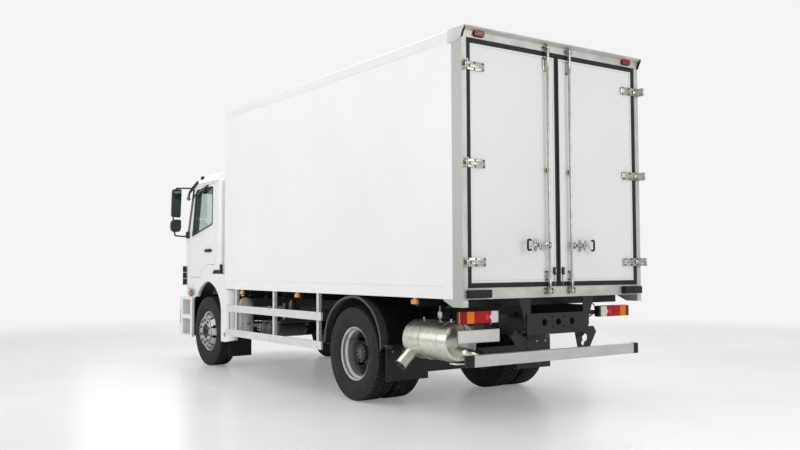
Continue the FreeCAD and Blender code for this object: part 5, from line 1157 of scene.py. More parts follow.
class TRUCK_OT_tyres(bpy.types.Operator):
    """Make the tyres with their tread and raised rings"""
    bl_idname = "truck.tyres"
    bl_label = "Tyres"

    def execute(self, context):
        blocks = sizes().tread_blocks
        steer_grooves, drive_grooves = (0.07, 0.024, -0.024, -0.07), (0.066, 0.0, -0.066)
        for name, side in (("left", 1), ("right", -1)):
            shape = tyre_shape(FRONT_AXLE_X, FRONT_WHEEL_Y * side, blocks, steer_grooves, 0.25, 0.0022)
            make("front_tyre_" + name, shape, "tyre", "wheel_front_" + name,
                 24, ("tyre_front_" + name,), "tyre_rubber")
            pair = [tyre_shape(REAR_AXLE_X, y * side, blocks, drive_grooves, 1.0, 0.004)
                    for y in (REAR_WHEEL_Y, REAR_WHEEL_Y - TWIN_SPACING)]
            make("rear_tyres_" + name, joined(pair), "tyre",
                 "wheels_rear_" + name, 24, ("tyres_rear_" + name,), "tyre_rubber")
        return {"FINISHED"}


class TRUCK_OT_wheel_details(bpy.types.Operator):
    """Add the wheel nuts, hub caps, hub bolts and valves"""
    bl_idname = "truck.wheel_details"
    bl_label = "Wheel Details"

    def execute(self, context):
        for name, side in (("left", 1), ("right", -1)):
            body = "wheel_front_" + name
            face = FRONT_DISC_Y * side
            make("front_nuts_" + name, wheel_nuts(FRONT_AXLE_X, face, side), "nut", body)
            cover = ring_of([(0.2085, 0.0), (0.2125, 0.0035),
                             (0.2125, 0.0085), (0.2045, 0.0125), (0.2005, 0.0105), (0.2005, 0.0)],
                            (FRONT_AXLE_X, face, WHEEL_Z), (0, side, 0), 72)
            make("front_nut_rings_" + name, cover, "wheel", body)
            cap = revolved([(0, 0.0), (0.046, 0.0), (0.046, 0.010), (0.040, 0.016), (0.012, 0.019),
                            (0, 0.019)], (FRONT_AXLE_X, FRONT_HUB_Y * side, WHEEL_Z), (0, side, 0), 40)
            make("front_hub_caps_" + name, cap, "black plastic", body)
            bolts = bolts_at(0.0085, 0.009, round_axle(FRONT_AXLE_X, FRONT_HUB_Y * side, 0.062, 6),
                             (0, side, 0))
            make("front_hub_bolts_" + name, bolts, "chassis", body)
            valve = tube([(FRONT_AXLE_X - 0.222, (FRONT_WHEEL_Y + 0.10) * side, WHEEL_Z),
                          (FRONT_AXLE_X - 0.228, (FRONT_WHEEL_Y + 0.14) * side, WHEEL_Z),
                          (FRONT_AXLE_X - 0.205, (FRONT_WHEEL_Y + 0.172) * side, WHEEL_Z)], 0.0045, 10, 6)
            make("front_valves_" + name, valve, "zinc", body)
            body = "wheels_rear_" + name
            make("rear_nuts_" + name, wheel_nuts(REAR_AXLE_X, REAR_DISC_Y * side, side), "chassis", body)
            centres = round_axle(REAR_AXLE_X, 1.1225 * side, 0.079, 10)
            make("axle_end_bolts_" + name, bolts_at(0.0095, 0.011, centres, (0, side, 0)), "casting", body)
            rim = ring_of([(0.1005, 0.0), (0.1035, 0.0035), (0.1035, 0.0115),
                           (0.0985, 0.0145), (0.0955, 0.0115), (0.0955, 0.0)],
                          (REAR_AXLE_X, 1.1145 * side, WHEEL_Z), (0, side, 0), 64)
            make("axle_end_rims_" + name, rim, "casting", body)
            drum_ribs = [ring_of([(0.2045, 0.0), (0.2095, 0.002), (0.2095, 0.010), (0.2045, 0.012)],
                                 (REAR_AXLE_X, (0.89 - 0.045 * step) * side, WHEEL_Z), (0, -side, 0), 48)
                         for step in range(5)]
            make("rear_drum_ribs_" + name, joined(drum_ribs), "casting", body)
        return {"FINISHED"}


# Rear face: door gear, header lamps, corner pieces and the number plate


def raised_bar(low_y, high_y, z, half, face_x, rise):
    """A long boss with a rounded crest: half an ellipse across, faded out at both ends by a root curve."""
    along = np.linspace(0, 1, 13)
    across = np.linspace(0, np.pi, 9)
    fade = np.sqrt(np.clip(1 - (2 * along - 1) ** 8, 0, 1))
    y = np.repeat((low_y + (high_y - low_y) * along)[:, None], len(across), 1)
    points = np.stack([face_x - rise * fade[:, None] * np.sin(across)[None],
                       y, z + half * np.cos(across)[None] + 0 * along[:, None]], axis=-1)
    return surface(points, wrap_columns=True, caps=True)


def hinge_leaf(z):
    """One door hinge leaf: a pressed plate with two ribs, wrapped over the seal to its knuckle."""
    outline = softened(oblong(0.972, z - 0.041, 1.184, z + 0.041), (0.012, 0.004, 0.004, 0.012), 5)
    leaf = plate(outline, "x", 0.008, -0.010, 0.003)
    arm = softened([(-0.010, 1.150), (-0.010, 1.180), (-0.071, 1.235), (-0.061, 1.248),
                    (-0.002, 1.192), (0.0, 1.150)], (0.001, 0.03, 0.004, 0.004, 0.03, 0.001), 6)
    points, faces = plate(arm[:, ::-1], "z", z - 0.0185, z + 0.0185, 0.002)
    arm_piece = points[:, [1, 0, 2]], [face[::-1] for face in faces]
    knuckle = revolved([(0.0075, -0.0185), (0.0150, -0.0185), (0.0155, -0.017), (0.0155, 0.017),
                        (0.0150, 0.0185), (0.0075, 0.0185)], (-0.075, 1.245, z), UPRIGHT, 28)
    ribs = [raised_bar(0.990, 1.150, z + dz, 0.0085, -0.010, 0.0075) for dz in (-0.014, 0.014)]
    return joined([leaf, arm_piece, knuckle] + ribs)


def guide(low, high, y_centre, width):
    """A lock rod guide: a foot with rounded ends under a domed housing that holds the rod."""
    foot = plate(softened(oblong(y_centre - width, low, y_centre + width, high), width * 0.8, 6),
                 "x", 0.008, -0.004, 0.002)
    t = np.linspace(0, 1, 11)
    angle = np.linspace(0, np.pi, 15)
    swell = np.sqrt(np.clip(1 - (2 * t - 1) ** 6, 0.0, 1))
    height, half = 0.043 * swell + 0.002, 0.019 * (0.65 + 0.35 * swell)
    z = low + 0.006 + (high - low - 0.012) * t
    points = np.stack([0.0 - height[:, None] * np.sin(angle)[None], LOCK_ROD_Y + half[:, None]
                       * np.cos(angle)[None], np.repeat(z[:, None], len(angle), 1)], axis=-1)
    return joined([foot, surface(points, wrap_columns=True, caps=True)])


def grip_path():
    """Closed loop of the door handle: a V that opens outwards into a round-cornered bar, across and up."""
    corners = [(0.378, 0.0), (0.412, 0.046), (0.468, 0.054), (0.468, -0.054), (0.412, -0.046)]
    loop = softened(corners, (0.012, 0.02, 0.022, 0.022, 0.02), 7)
    return np.stack([np.full(len(loop), -0.048), loop[:, 0], GRIP_Z + loop[:, 1]], axis=1)


class TRUCK_OT_door_gear(bpy.types.Operator):
    """Make the cargo doors' hinge leaves, lock rods, guides, handles, latches and bolts"""
    bl_idname = "truck.door_gear"
    bl_label = "Door Gear"

    def execute(self, context):
        leaves = joined([hinge_leaf(z) for z in HINGE_HEIGHTS])
        y = LOCK_ROD_Y
        rod = revolved([(0, 1.214), (0.011, 1.214), (0.013, 1.217),
                        (0.013, 3.724), (0.011, 3.728), (0, 3.728)], (LOCK_ROD_X, y, 0), UPRIGHT, 20)
        ends = [slab((-0.046, y - 0.012, 3.500), (-0.022, y + 0.012, 3.727), 0.004, "z"),
                slab((-0.044, y - 0.012, 1.213), (-0.018, y + 0.012, 1.360), 0.004, "z"),
                slab((-0.050, y - 0.019, 1.226), (-0.012, y + 0.019, 1.252), 0.007, "z"),
                slab((-0.050, y - 0.019, 3.686), (-0.012, y + 0.019, 3.712), 0.007, "z")]
        mid = revolved([(0.014, 2.428), (0.0195, 2.430), (0.0195, 2.472), (0.014, 2.474)],
                       (LOCK_ROD_X, y, 0), UPRIGHT, 20)
        collar = revolved([(0.013, GRIP_Z - 0.036), (0.021, GRIP_Z - 0.034), (0.021, GRIP_Z + 0.034),
                           (0.013, GRIP_Z + 0.036)], (LOCK_ROD_X, y, 0), UPRIGHT, 24)
        clamp = plate(softened([(y + 0.006, GRIP_Z - 0.035), (y + 0.036, GRIP_Z - 0.034),
                                (y + 0.082, GRIP_Z - 0.013), (y + 0.082, GRIP_Z + 0.013),
                                (y + 0.036, GRIP_Z + 0.034), (y + 0.006, GRIP_Z + 0.035)], 0.008, 5),
                      "x", -0.034, -0.052, 0.003)
        neck = plate(softened([(y + 0.070, GRIP_Z - 0.0105), (0.330, GRIP_Z - 0.006),
                               (0.384, GRIP_Z - 0.011), (0.384, GRIP_Z + 0.011), (0.330, GRIP_Z + 0.006),
                               (y + 0.070, GRIP_Z + 0.0105)], 0.006, 4), "x", -0.041, -0.052, 0.0025)
        wire = swept(circle(0.0058, 12), grip_path(), FORWARD, True)
        post = slab((-0.038, 0.305, GRIP_Z - 0.020), (0.008, 0.327, GRIP_Z + 0.020), 0.004, "x")
        shell = plate(softened(oblong(0.299, GRIP_Z - 0.062, 0.333, GRIP_Z + 0.062), 0.016, 7),
                      "x", 0.008, 0.001, 0.002)
        angle = np.linspace(0, 2 * np.pi, 40, endpoint=False)
        lobe = 0.034 + 0.024 * np.abs(np.cos(angle)) ** 3
        turned = angle + 1.16
        catch = plate(np.stack([0.316 + 0.55 * lobe * np.cos(turned), GRIP_Z + lobe * np.sin(turned)],
                               axis=1), "x", -0.055, -0.066, 0.0035)
        guides = [guide(1.345, 1.442, y + 0.008, 0.030), guide(3.462, 3.602, y + 0.008, 0.027)]
        middle = plate(softened(oblong(y - 0.026, 2.424, y + 0.026, 2.478), 0.012, 5),
                       "x", 0.008, -0.012, 0.003)
        arch = placed(ring_of(oblong(0.013, -0.02, 0.020, 0.02), (0, 0, 0), UPRIGHT, 24),
                      [(LOCK_ROD_X, y, ROD_GUIDE_Z)])
        bright = joined([leaves, rod, mid, collar, clamp, neck, wire, middle, arch] + ends + guides)
        sleeve = grip_path()
        sleeve = sleeve[sleeve[:, 1] > 0.424]
        rubber = swept(circle(0.0105, 14), sleeve, FORWARD)
        latch = plate(softened(oblong(0.045, 1.404, 0.075, 1.480), 0.0145, 7), "x", 0.008, -0.016, 0.006)
        boss = plate(softened(oblong(0.0525, 1.418, 0.0675, 1.466), 0.007, 5), "x", -0.015, -0.022, 0.002)
        pull = revolved([(0, 1.292), (0.0032, 1.292), (0.0036, 1.296), (0.0036, 1.408), (0, 1.408)],
                        (0.001, 0.058, 0), UPRIGHT, 10)
        bolt_places = [(-0.010, across, z + dz) for z in HINGE_HEIGHTS
                       for across in (0.990, 1.096) for dz in (-0.031, 0.031)]
        bolt_places += [(-0.004, y + across, z)
                        for across, z in ((-0.019, 1.352), (-0.019, 1.434),
                                          (0.032, 1.352), (0.032, 1.434), (-0.018, 3.47), (0.030, 3.594))]
        bolt_places += [(-0.052, y + across, GRIP_Z + dz)
                        for across, dz in ((0.020, -0.022), (0.020, 0.022), (0.052, 0.0))]
        bolt_places += [(-0.0575, 0.316, GRIP_Z), (-0.012, y - 0.019, ROD_GUIDE_Z),
                        (-0.012, y + 0.019, ROD_GUIDE_Z)]
        bolts = bolts_at(0.0074, 0.0075, bolt_places, REARWARD)
        for name, turn in SIDES:
            body = "cargo_door_" + name
            add_turned("door_gear_" + name, turn, [bright], "bright gear",
                       body, 30, ("lock_gear_" + name,), "stainless")
            add_turned("door_grip_" + name, turn, [rubber], "seal", body)
            add_turned("door_catches_" + name, turn, [post, shell, catch, boss, pull], "dull gear", body)
            add_turned("door_latches_" + name, turn, [latch], "black plastic", body)
            add_turned("door_bolts_" + name, turn, [bolts], "dark bolt", body)
        return {"FINISHED"}


def bead(outline, axis, level, width, rise):
    """A fine raised line round a closed outline that lies square to an axis."""
    u, v, w = (np.array(a, float) for a in AXES[axis])
    path = outline[:, :1] * u + outline[:, 1:] * v + level * w
    half = np.array([(-width / 2, 0), (-width / 4, rise), (width / 4, rise), (width / 2, 0)])
    return swept(half, path, w, True)


def lamp_bezel(y0, y1, z0, z1, grow):
    """Outline with round ends for a header lamp."""
    return softened(oblong(y0 - grow, z0 - grow, y1 + grow, z1 + grow), (z1 - z0) / 2 + grow, 9)


class TRUCK_OT_rear_frame_trim(bpy.types.Operator):
    """Add the header lamps' bezels, corner pieces with black plates of painted shade inside them, keepers,
    mouldings and washers to the rear frame
    """
    bl_idname = "truck.rear_frame_trim"
    bl_label = "Rear Frame Trim"

    def execute(self, context):
        points, faces = plate(lamp_bezel(*HEADER_LAMP, 0.009), "x", 0.012, -0.015, 0.004)
        points[:, 0] -= (points[:, 2] - HEADER_FOOT_Z) * HEADER_LEAN
        bezels = mirrored((points, faces))
        add("header_lamp_bezels", [bezels], "seal")
        points, faces = plate(lamp_bezel(*HEADER_LAMP, -0.001), "x", 0.0, -0.026, 0.009, 5)
        points[:, 0] -= (points[:, 2] - HEADER_FOOT_Z) * HEADER_LEAN
        add_pair("header_lamp_lenses", [(points, faces)], "marker lens")
        corner = softened([(0.205, 3.7665), (-0.055, 3.7665), (-0.055, 3.752),
                           (-0.018, 3.718), (0.004, 3.662), (0.050, 3.634), (0.205, 3.628)],
                          (0.001, 0.006, 0.004, 0.03, 0.03, 0.03, 0.001), 6)
        cover = plate(corner, "y", 1.2500, 1.2545, 0.002)
        add_pair("header_corner_covers", [cover], "corner moulding")
        # Painted shade: thin black plates inside the corner covers, standing in for the shade on the covers'
        # inner faces
        inner = softened([(-0.0545, 3.7540), (-0.010, 3.7270), (-0.001, 3.690),
                          (0.0, 3.660), (-0.012, 3.655), (-0.034, 3.702), (-0.0545, 3.735)], 0.004, 4)
        add_pair("header_painted_shade_plates", [plate(inner, "y", 1.2405, 1.2495, 0.0015)], "seal")
        keeper = plate(softened(oblong(0.112, 1.210, 0.212, 1.278), 0.022, 7), "x", 0.0, -0.0055, 0.002)
        top = plate(softened(oblong(0.112, 3.676, 0.212, 3.722), 0.018, 6), "x", 0.0, -0.0055, 0.002)
        top[0][:, 0] -= np.maximum(top[0][:, 2] - HEADER_FOOT_Z, 0) * HEADER_LEAN
        add_pair("rod_keeper_plates", [keeper, top], "dull gear")
        places = [(-0.0055, y * side, z) for side in (1, -1)
                  for y in (0.120, 0.204) for z in (1.222, 1.266)]
        places += [(-0.014, y * side, 3.700) for side in (1, -1) for y in (0.119, 0.205)]
        add("rod_keeper_bolts", [bolts_at(0.0065, 0.007, places, REARWARD)], "dark bolt")
        washers = revolved([(0.008, 0.0), (0.017, 0.0), (0.017, 0.003), (0.0085, 0.004)],
                           (-0.0605, 1.072, 1.231), REARWARD, 24)
        screw = revolved(oblong(0, 0.0, 0.0075, 0.003), (-0.0600, 1.072, 1.231), REARWARD, 16)
        add_pair("buffer_washers", [washers], "chassis")
        foot = slab((-0.0005, 1.1870, 1.1070), (0.0035, 1.2425, 1.1690), 0.0006, "x")
        add_pair("post_foot_caps", [foot], "portal")
        add_pair("buffer_screws", [screw], "chassis")
        leaf_bolts = [(-0.008, 1.222 * side, z + dz) for side in (1, -1)
                      for z in HINGE_HEIGHTS for dz in (-0.036, 0.036)]
        add("hinge_bracket_bolts", [bolts_at(0.0072, 0.007, leaf_bolts, REARWARD)], "bright gear")
        field = np.array(oblong(0.051, 1.356, 1.121, 3.596))
        line = bead(softened(field, 0.012, 5), "x", 0.0, 0.0045, -0.0012)
        line[0][:, 0] += 0.0095
        for name, turn in SIDES:
            add_turned("door_sealant_" + name, turn, [line], "sealant", "cargo_door_" + name)
        ribs = [slab((-0.0022, -1.19, z), (0.0005, 1.19, z + 0.0035), 0.0008, "x")
                for z in (1.2005, 1.2835)]
        add("sill_edge_lines", ribs, "portal")
        return {"FINISHED"}


class TRUCK_OT_number_plate(bpy.types.Operator):
    """Add the blank number plate with its carrier and the lamps' cables"""
    bl_idname = "truck.number_plate"
    bl_label = "Number Plate"

    def execute(self, context):
        low_y, high_y, low_z, high_z = 0.672, 1.196, 0.757, 0.880
        face = plate(softened(oblong(low_y, low_z, high_y, high_z), 0.010, 6), "x", 0.153, 0.1505, 0.001)
        add("number_plate", [face], "plate white")
        rim = bead(softened(oblong(low_y + 0.006, low_z + 0.006, high_y - 0.006, high_z - 0.006), 0.008, 6),
                   "x", 0.0, 0.003, -0.0012)
        rim[0][:, 0] += 0.1505
        add("number_plate_rim", [rim], "zinc")
        carrier = [slab((0.1535, low_y - 0.004, low_z - 0.003), (0.159, high_y + 0.004, high_z + 0.003),
                        0.002, "x"), tube([(0.157, 1.11, 0.880), (0.150, 1.12, 0.915),
                                           (0.150, 1.148, 0.948)], 0.006, 10, 6, UPRIGHT),
                   tube([(0.157, 0.80, 0.880), (0.156, 0.80, 0.915), (0.150, 0.80, 0.948)], 0.006,
                        10, 6, UPRIGHT), slab((0.1595, 0.86, 0.868), (0.172, 0.98, 0.965), 0.003, "x")]
        add("number_plate_carrier", carrier, "black plastic")
        housings = plate(softened(oblong(0.725, 0.944, 1.181, 1.062), (0.008, 0.02, 0.02, 0.008), 6),
                         "x", 0.130, 0.186, 0.006)
        lips = plate(softened([(0.705, 0.948), (0.7275, 0.944), (0.7275, 1.062), (0.705, 1.058)], 0.006, 4),
                     "x", 0.112, 0.180, 0.004)
        add_pair("tail_lamp_housings", [housings, lips], "black plastic")
        patch = plate(softened([(0.846, 0.982), (0.884, 0.974), (0.884, 1.034), (0.846, 1.026)], 0.004, 4),
                      "x", 0.1055, 0.1035, 0.0008)
        add_pair("tail_lamp_reflectors", [patch], "reflector red")
        screws = placed(dome(0.004, 0.002, 12), [(0.105, y * side, z) for side in (1, -1)
                                                 for y, z in ((0.738, 1.051), (0.738, 0.955), (1.03, 1.053),
                                                              (1.03, 0.953))], aimed(REARWARD))
        add("tail_lamp_screws", [screws], "dark bolt")
        cables = [tube([(0.178, 0.70, 0.99), (0.20, 0.66, 0.955),
                        (0.19, 0.58, 0.95), (0.15, 0.50, 0.985), (0.16, 0.436, 1.03)], 0.0075, 10, 8),
                  tube([(0.10, 0.535, 1.165), (0.12, 0.60, 1.10),
                        (0.15, 0.665, 1.075), (0.165, 0.70, 1.03)], 0.006, 10, 8),
                  tube([(0.03, 0.29, 0.815), (0.045, 0.30, 0.775),
                        (0.06, 0.345, 0.762), (0.05, 0.39, 0.775), (0.03, 0.40, 0.815)], 0.0055, 10, 8)]
        add_pair("lamp_cables", cables, "cable")
        return {"FINISHED"}


# Cab: mirrors, window frames, wipers, lamps and door trim

WINDOW_RING = [(6.183, 2.146), (7.012, 1.984), (6.872, 2.652), (6.820, 2.722), (6.172, 2.737)]
WINDOW_HOLE = [(6.200, 2.166), (6.938, 2.014), (6.822, 2.600), (6.790, 2.690), (6.192, 2.704)]


def ring_between(outer, inner, axis, start, end):
    """A flat frame between two outlines with the same number of points."""
    u, v, w = (np.array(a, float) for a in AXES[axis])
    loops = [loop[:, :1] * u + loop[:, 1:] * v + h * w
             for loop, h in ((outer, start), (outer, end), (inner, end), (inner, start))]
    return surface(np.stack(loops), wrap_rows=True, wrap_columns=True)


def shrunk(outline, share):
    """An outline drawn in towards its middle by a share of its size."""
    outline = np.asarray(outline, float)
    return outline.mean(0) + (outline - outline.mean(0)) * share


def head_shell(outline, rear_x, front_x):
    """A mirror housing: a rim round the glass at the rear and a domed back, elliptic to its middle."""
    angle = np.linspace(0, np.pi / 2 * 0.96, 7)
    levels = [(0.90, rear_x + 0.014), (0.90, rear_x + 0.002),
              (0.94, rear_x), (0.99, rear_x + 0.001), (1.0, rear_x + 0.006)]
    middle = rear_x + (front_x - rear_x) * 0.35
    levels += [(1 - 0.45 * (1 - np.cos(a)), middle + (front_x - middle) * np.sin(a)) for a in angle]
    loops = [np.column_stack([np.full(len(outline), x), shrunk(outline, k)]) for k, x in levels]
    return surface(np.stack(loops), wrap_columns=True, caps=True)


def screen_x(y, z):
    """X of the windscreen's plane behind the rear face, leaning back with height and bowed across."""
    lean = SCREEN_LEAN * np.maximum(np.asarray(z) - SCREEN_FOOT_Z, 0)
    return SCREEN_FOOT_X - lean - SCREEN_BOW * (np.asarray(y) / 0.882) ** 2


class TRUCK_OT_mirrors(bpy.types.Operator):
    """Make the mirror heads, their glass, arms and ball joints"""
    bl_idname = "truck.mirrors"
    bl_label = "Mirrors"

    def execute(self, context):
        main = softened([(1.258, 2.752), (1.402, 2.752), (1.414, 2.30), (1.276, 2.296)],
                        (0.024, 0.03, 0.03, 0.024), 7)
        wide = softened([(1.262, 2.262), (1.392, 2.262), (1.424, 2.215), (1.424, 2.095), (1.392, 2.062),
                         (1.290, 2.062), (1.262, 2.112)], (0.03, 0.03, 0.03, 0.04, 0.03, 0.04, 0.03), 6)
        housings = [head_shell(main, 7.172, 7.290), head_shell(wide, 7.180, 7.288)]
        joint = revolved([(0.0, 2.262), (0.014, 2.262), (0.014, 2.296), (0, 2.296)],
                         (7.236, 1.375, 0), UPRIGHT, 16)
        add_pair("mirror_housings", housings + [joint], "black plastic",
                 "cab", 40, ("mirrors",), "plastic_black")
        arms = [tube([(6.985, 1.075, 2.757), (7.08, 1.165, 2.766),
                      (7.215, 1.300, 2.770), (7.236, 1.325, 2.765), (7.238, 1.328, 2.735)], 0.0125, 14, 8),
                tube([(7.130, 1.095, 2.004), (7.165, 1.16, 1.992),
                      (7.222, 1.315, 2.000), (7.236, 1.345, 2.020), (7.238, 1.352, 2.080)], 0.0125, 14, 8),
                slab((7.120, 1.100, 1.958), (7.245, 1.168, 2.072), 0.018, "y"),
                revolved([(0, -0.03), (0.03, -0.028), (0.036, 0.012), (0.026, 0.028), (0, 0.03)],
                         (7.02, 1.10, 2.752), (0.35, 0.94, 0), 20),
                swept(softened(oblong(-0.012, -0.024, 0.012, 0.024), 0.006, 4),
                      np.array([(7.060, 1.158, 2.712), (6.96, 1.155, 2.760),
                                (6.86, 1.150, 2.806), (6.785, 1.140, 2.842)])),
                tube([(7.05, 1.155, 2.72), (7.075, 1.168, 2.69), (7.092, 1.172, 2.63)], 0.017, 12, 6)]
        add_pair("mirror_arms", arms, "black plastic", "cab")
        ball = revolved([(0, -0.036), (0.022, -0.03), (0.031, -0.012), (0.031, 0.012),
                         (0.020, 0.032), (0, 0.036)], (7.096, 1.174, 2.602), (0.1, 0, 1), 20)
        add_pair("mirror_joints", [ball], "grey plastic", "cab")
        panes = [plate(shrunk(main, 0.895), "x", 7.183, 7.179, 0.0006, 2),
                 plate(shrunk(wide, 0.885), "x", 7.191, 7.187, 0.0006, 2)]
        add_pair("mirror_glass", panes, "mirror", "cab")
        return {"FINISHED"}


class TRUCK_OT_cab_doors(bpy.types.Operator):
    """Add the cab doors' window frames, wind deflectors, seals, handles, locks and inner trim"""
    bl_idname = "truck.cab_doors"
    bl_label = "Cab Door Trim"

    def execute(self, context):
        outer = softened(WINDOW_RING, (0.045, 0.012, 0.05, 0.05, 0.045), 6)
        inner = softened(WINDOW_HOLE, (0.04, 0.03, 0.045, 0.045, 0.04), 6)
        frame_piece = ring_between(outer, inner, "y", 1.1385, 1.1445)
        inner_frame = ring_between(outer, shrunk(inner, 0.985), "y", 1.082, 1.060)
        corner = plate(softened([(7.006, 1.992), (6.862, 2.022), (6.905, 2.052), (6.990, 2.056)], 0.008, 4),
                       "y", 1.143, 1.150, 0.002)
        lip = swept(np.array([(-0.010, -0.003), (0.004, -0.004), (0.004, 0.005), (-0.004, 0.007)]),
                    np.array([(6.21, 1.147, 2.151), (6.50, 1.147, 2.095), (6.99, 1.147, 1.995)]))
        handle = [plate(softened(oblong(6.222, 1.722, 6.470, 1.775), 0.025, 7), "y", 1.137, 1.143, 0.002),
                  swept(softened([(-0.009, -0.014), (0.009, -0.014), (0.007, 0.014), (-0.007, 0.014)],
                                 0.006, 4),
                        smooth_path([(6.236, 1.146, 1.748), (6.262, 1.168, 1.748), (6.345, 1.178, 1.748),
                                     (6.430, 1.168, 1.748), (6.456, 1.146, 1.748)], 6))]
        lock = revolved([(0, 0.0), (0.012, 0.0), (0.012, 0.004), (0.010, 0.006), (0, 0.006)],
                        (6.196, 1.1398, 1.748), OUTWARD, 20)
        card = plate(softened([(6.12, 1.62), (6.42, 1.62), (6.72, 1.50), (6.80, 1.42), (7.03, 1.42),
                               (7.03, 1.95), (6.14, 2.10)], 0.05, 6), "y", 1.0818, 1.068, 0.006)
        low_line = smooth_path([(6.935, 1.168, 2.598), (6.70, 1.180, 2.647), (6.489, 1.170, 2.692)], 4)
        top_line = smooth_path([(6.785, 1.150, 2.690), (6.56, 1.156, 2.727), (6.350, 1.150, 2.758)], 4)
        depth = np.array([0, 0.003, 0])
        band = surface(np.stack([low_line, top_line, top_line - depth, low_line - depth], axis=1),
                       wrap_columns=True, caps=True)
        border = swept(circle(0.006, 8), np.concatenate([low_line, top_line[::-1]]), (0, 1, 0.1), True)
        hooks = [slab((x - 0.02, 1.139, z - 0.012), (x + 0.02, 1.160, z + 0.012), 0.004, "y")
                 for x, z in ((6.76, 2.700), (6.37, 2.752))]
        rest = swept(softened(oblong(-0.03, -0.03, 0.03, 0.025), 0.014, 5),
                     smooth_path([(6.22, 1.040, 1.86), (6.55, 1.035, 1.86), (6.92, 1.045, 1.90)], 6))
        pocket = slab((6.72, 1.030, 1.45), (7.00, 1.070, 1.60), 0.012, "y")
        pull = tube([(6.30, 1.066, 1.99), (6.32, 1.045, 1.985), (6.40, 1.040, 1.97), (6.42, 1.066, 1.965)],
                    0.009, 10, 5, UPRIGHT)
        rubber = bead(softened([(6.104, 1.554), (6.372, 1.554), (6.502, 1.516),
                                (6.604, 1.458), (6.700, 1.360), (7.062, 1.360), (7.062, 2.040),
                                (6.890, 2.747), (6.104, 2.747)], 0.034, 5), "y", 0.0, 0.012, -0.006)
        rubber[0][:, 1] += CAB_SKIN_INNER_Y
        for name, turn in SIDES:
            body = "cab_door_" + name
            add_turned("window_frame_" + name, turn, [frame_piece, corner, lip], "window rubber", body)
            add_turned("wind_deflector_" + name, turn, [band], "smoked visor", body)
            add_turned("deflector_border_" + name, turn, [border] + hooks, "window rubber", body)
            add_turned("door_handle_" + name, turn, handle, "black plastic", body)
            add_turned("door_lock_" + name, turn, [lock], "zinc", body)
            add_turned("door_card_" + name, turn, [card, inner_frame], "cab lining", body)
            add_turned("door_rest_" + name, turn, [rest, pocket, pull], "dashboard", body)
            add_turned("door_rubber_" + name, turn, [rubber], "seal", body)
        return {"FINISHED"}


def panel_curve(y, z, base=FRONT_PANEL_X, out=0.0):
    """A line across the cab's front panel at one height, bowed as the panel is."""
    return np.stack([base - SCREEN_BOW * (y / 0.83) ** 2 + out, y, np.full(len(y), z)], axis=1)


def corner_vane(low, high):
    """One part of the corner air vane: a curved sheet standing off the cab's front corner."""
    t = np.linspace(0, 1, 9)
    x = 7.300 + 0.175 * t
    y = 1.172 - 0.020 * t - 0.110 * t ** 2
    path = np.stack([x, y, np.full(9, (low + high) / 2)], axis=1)
    half = (high - low) / 2
    return swept(softened(oblong(-0.007, -half, 0.007, half), 0.005, 4), path)


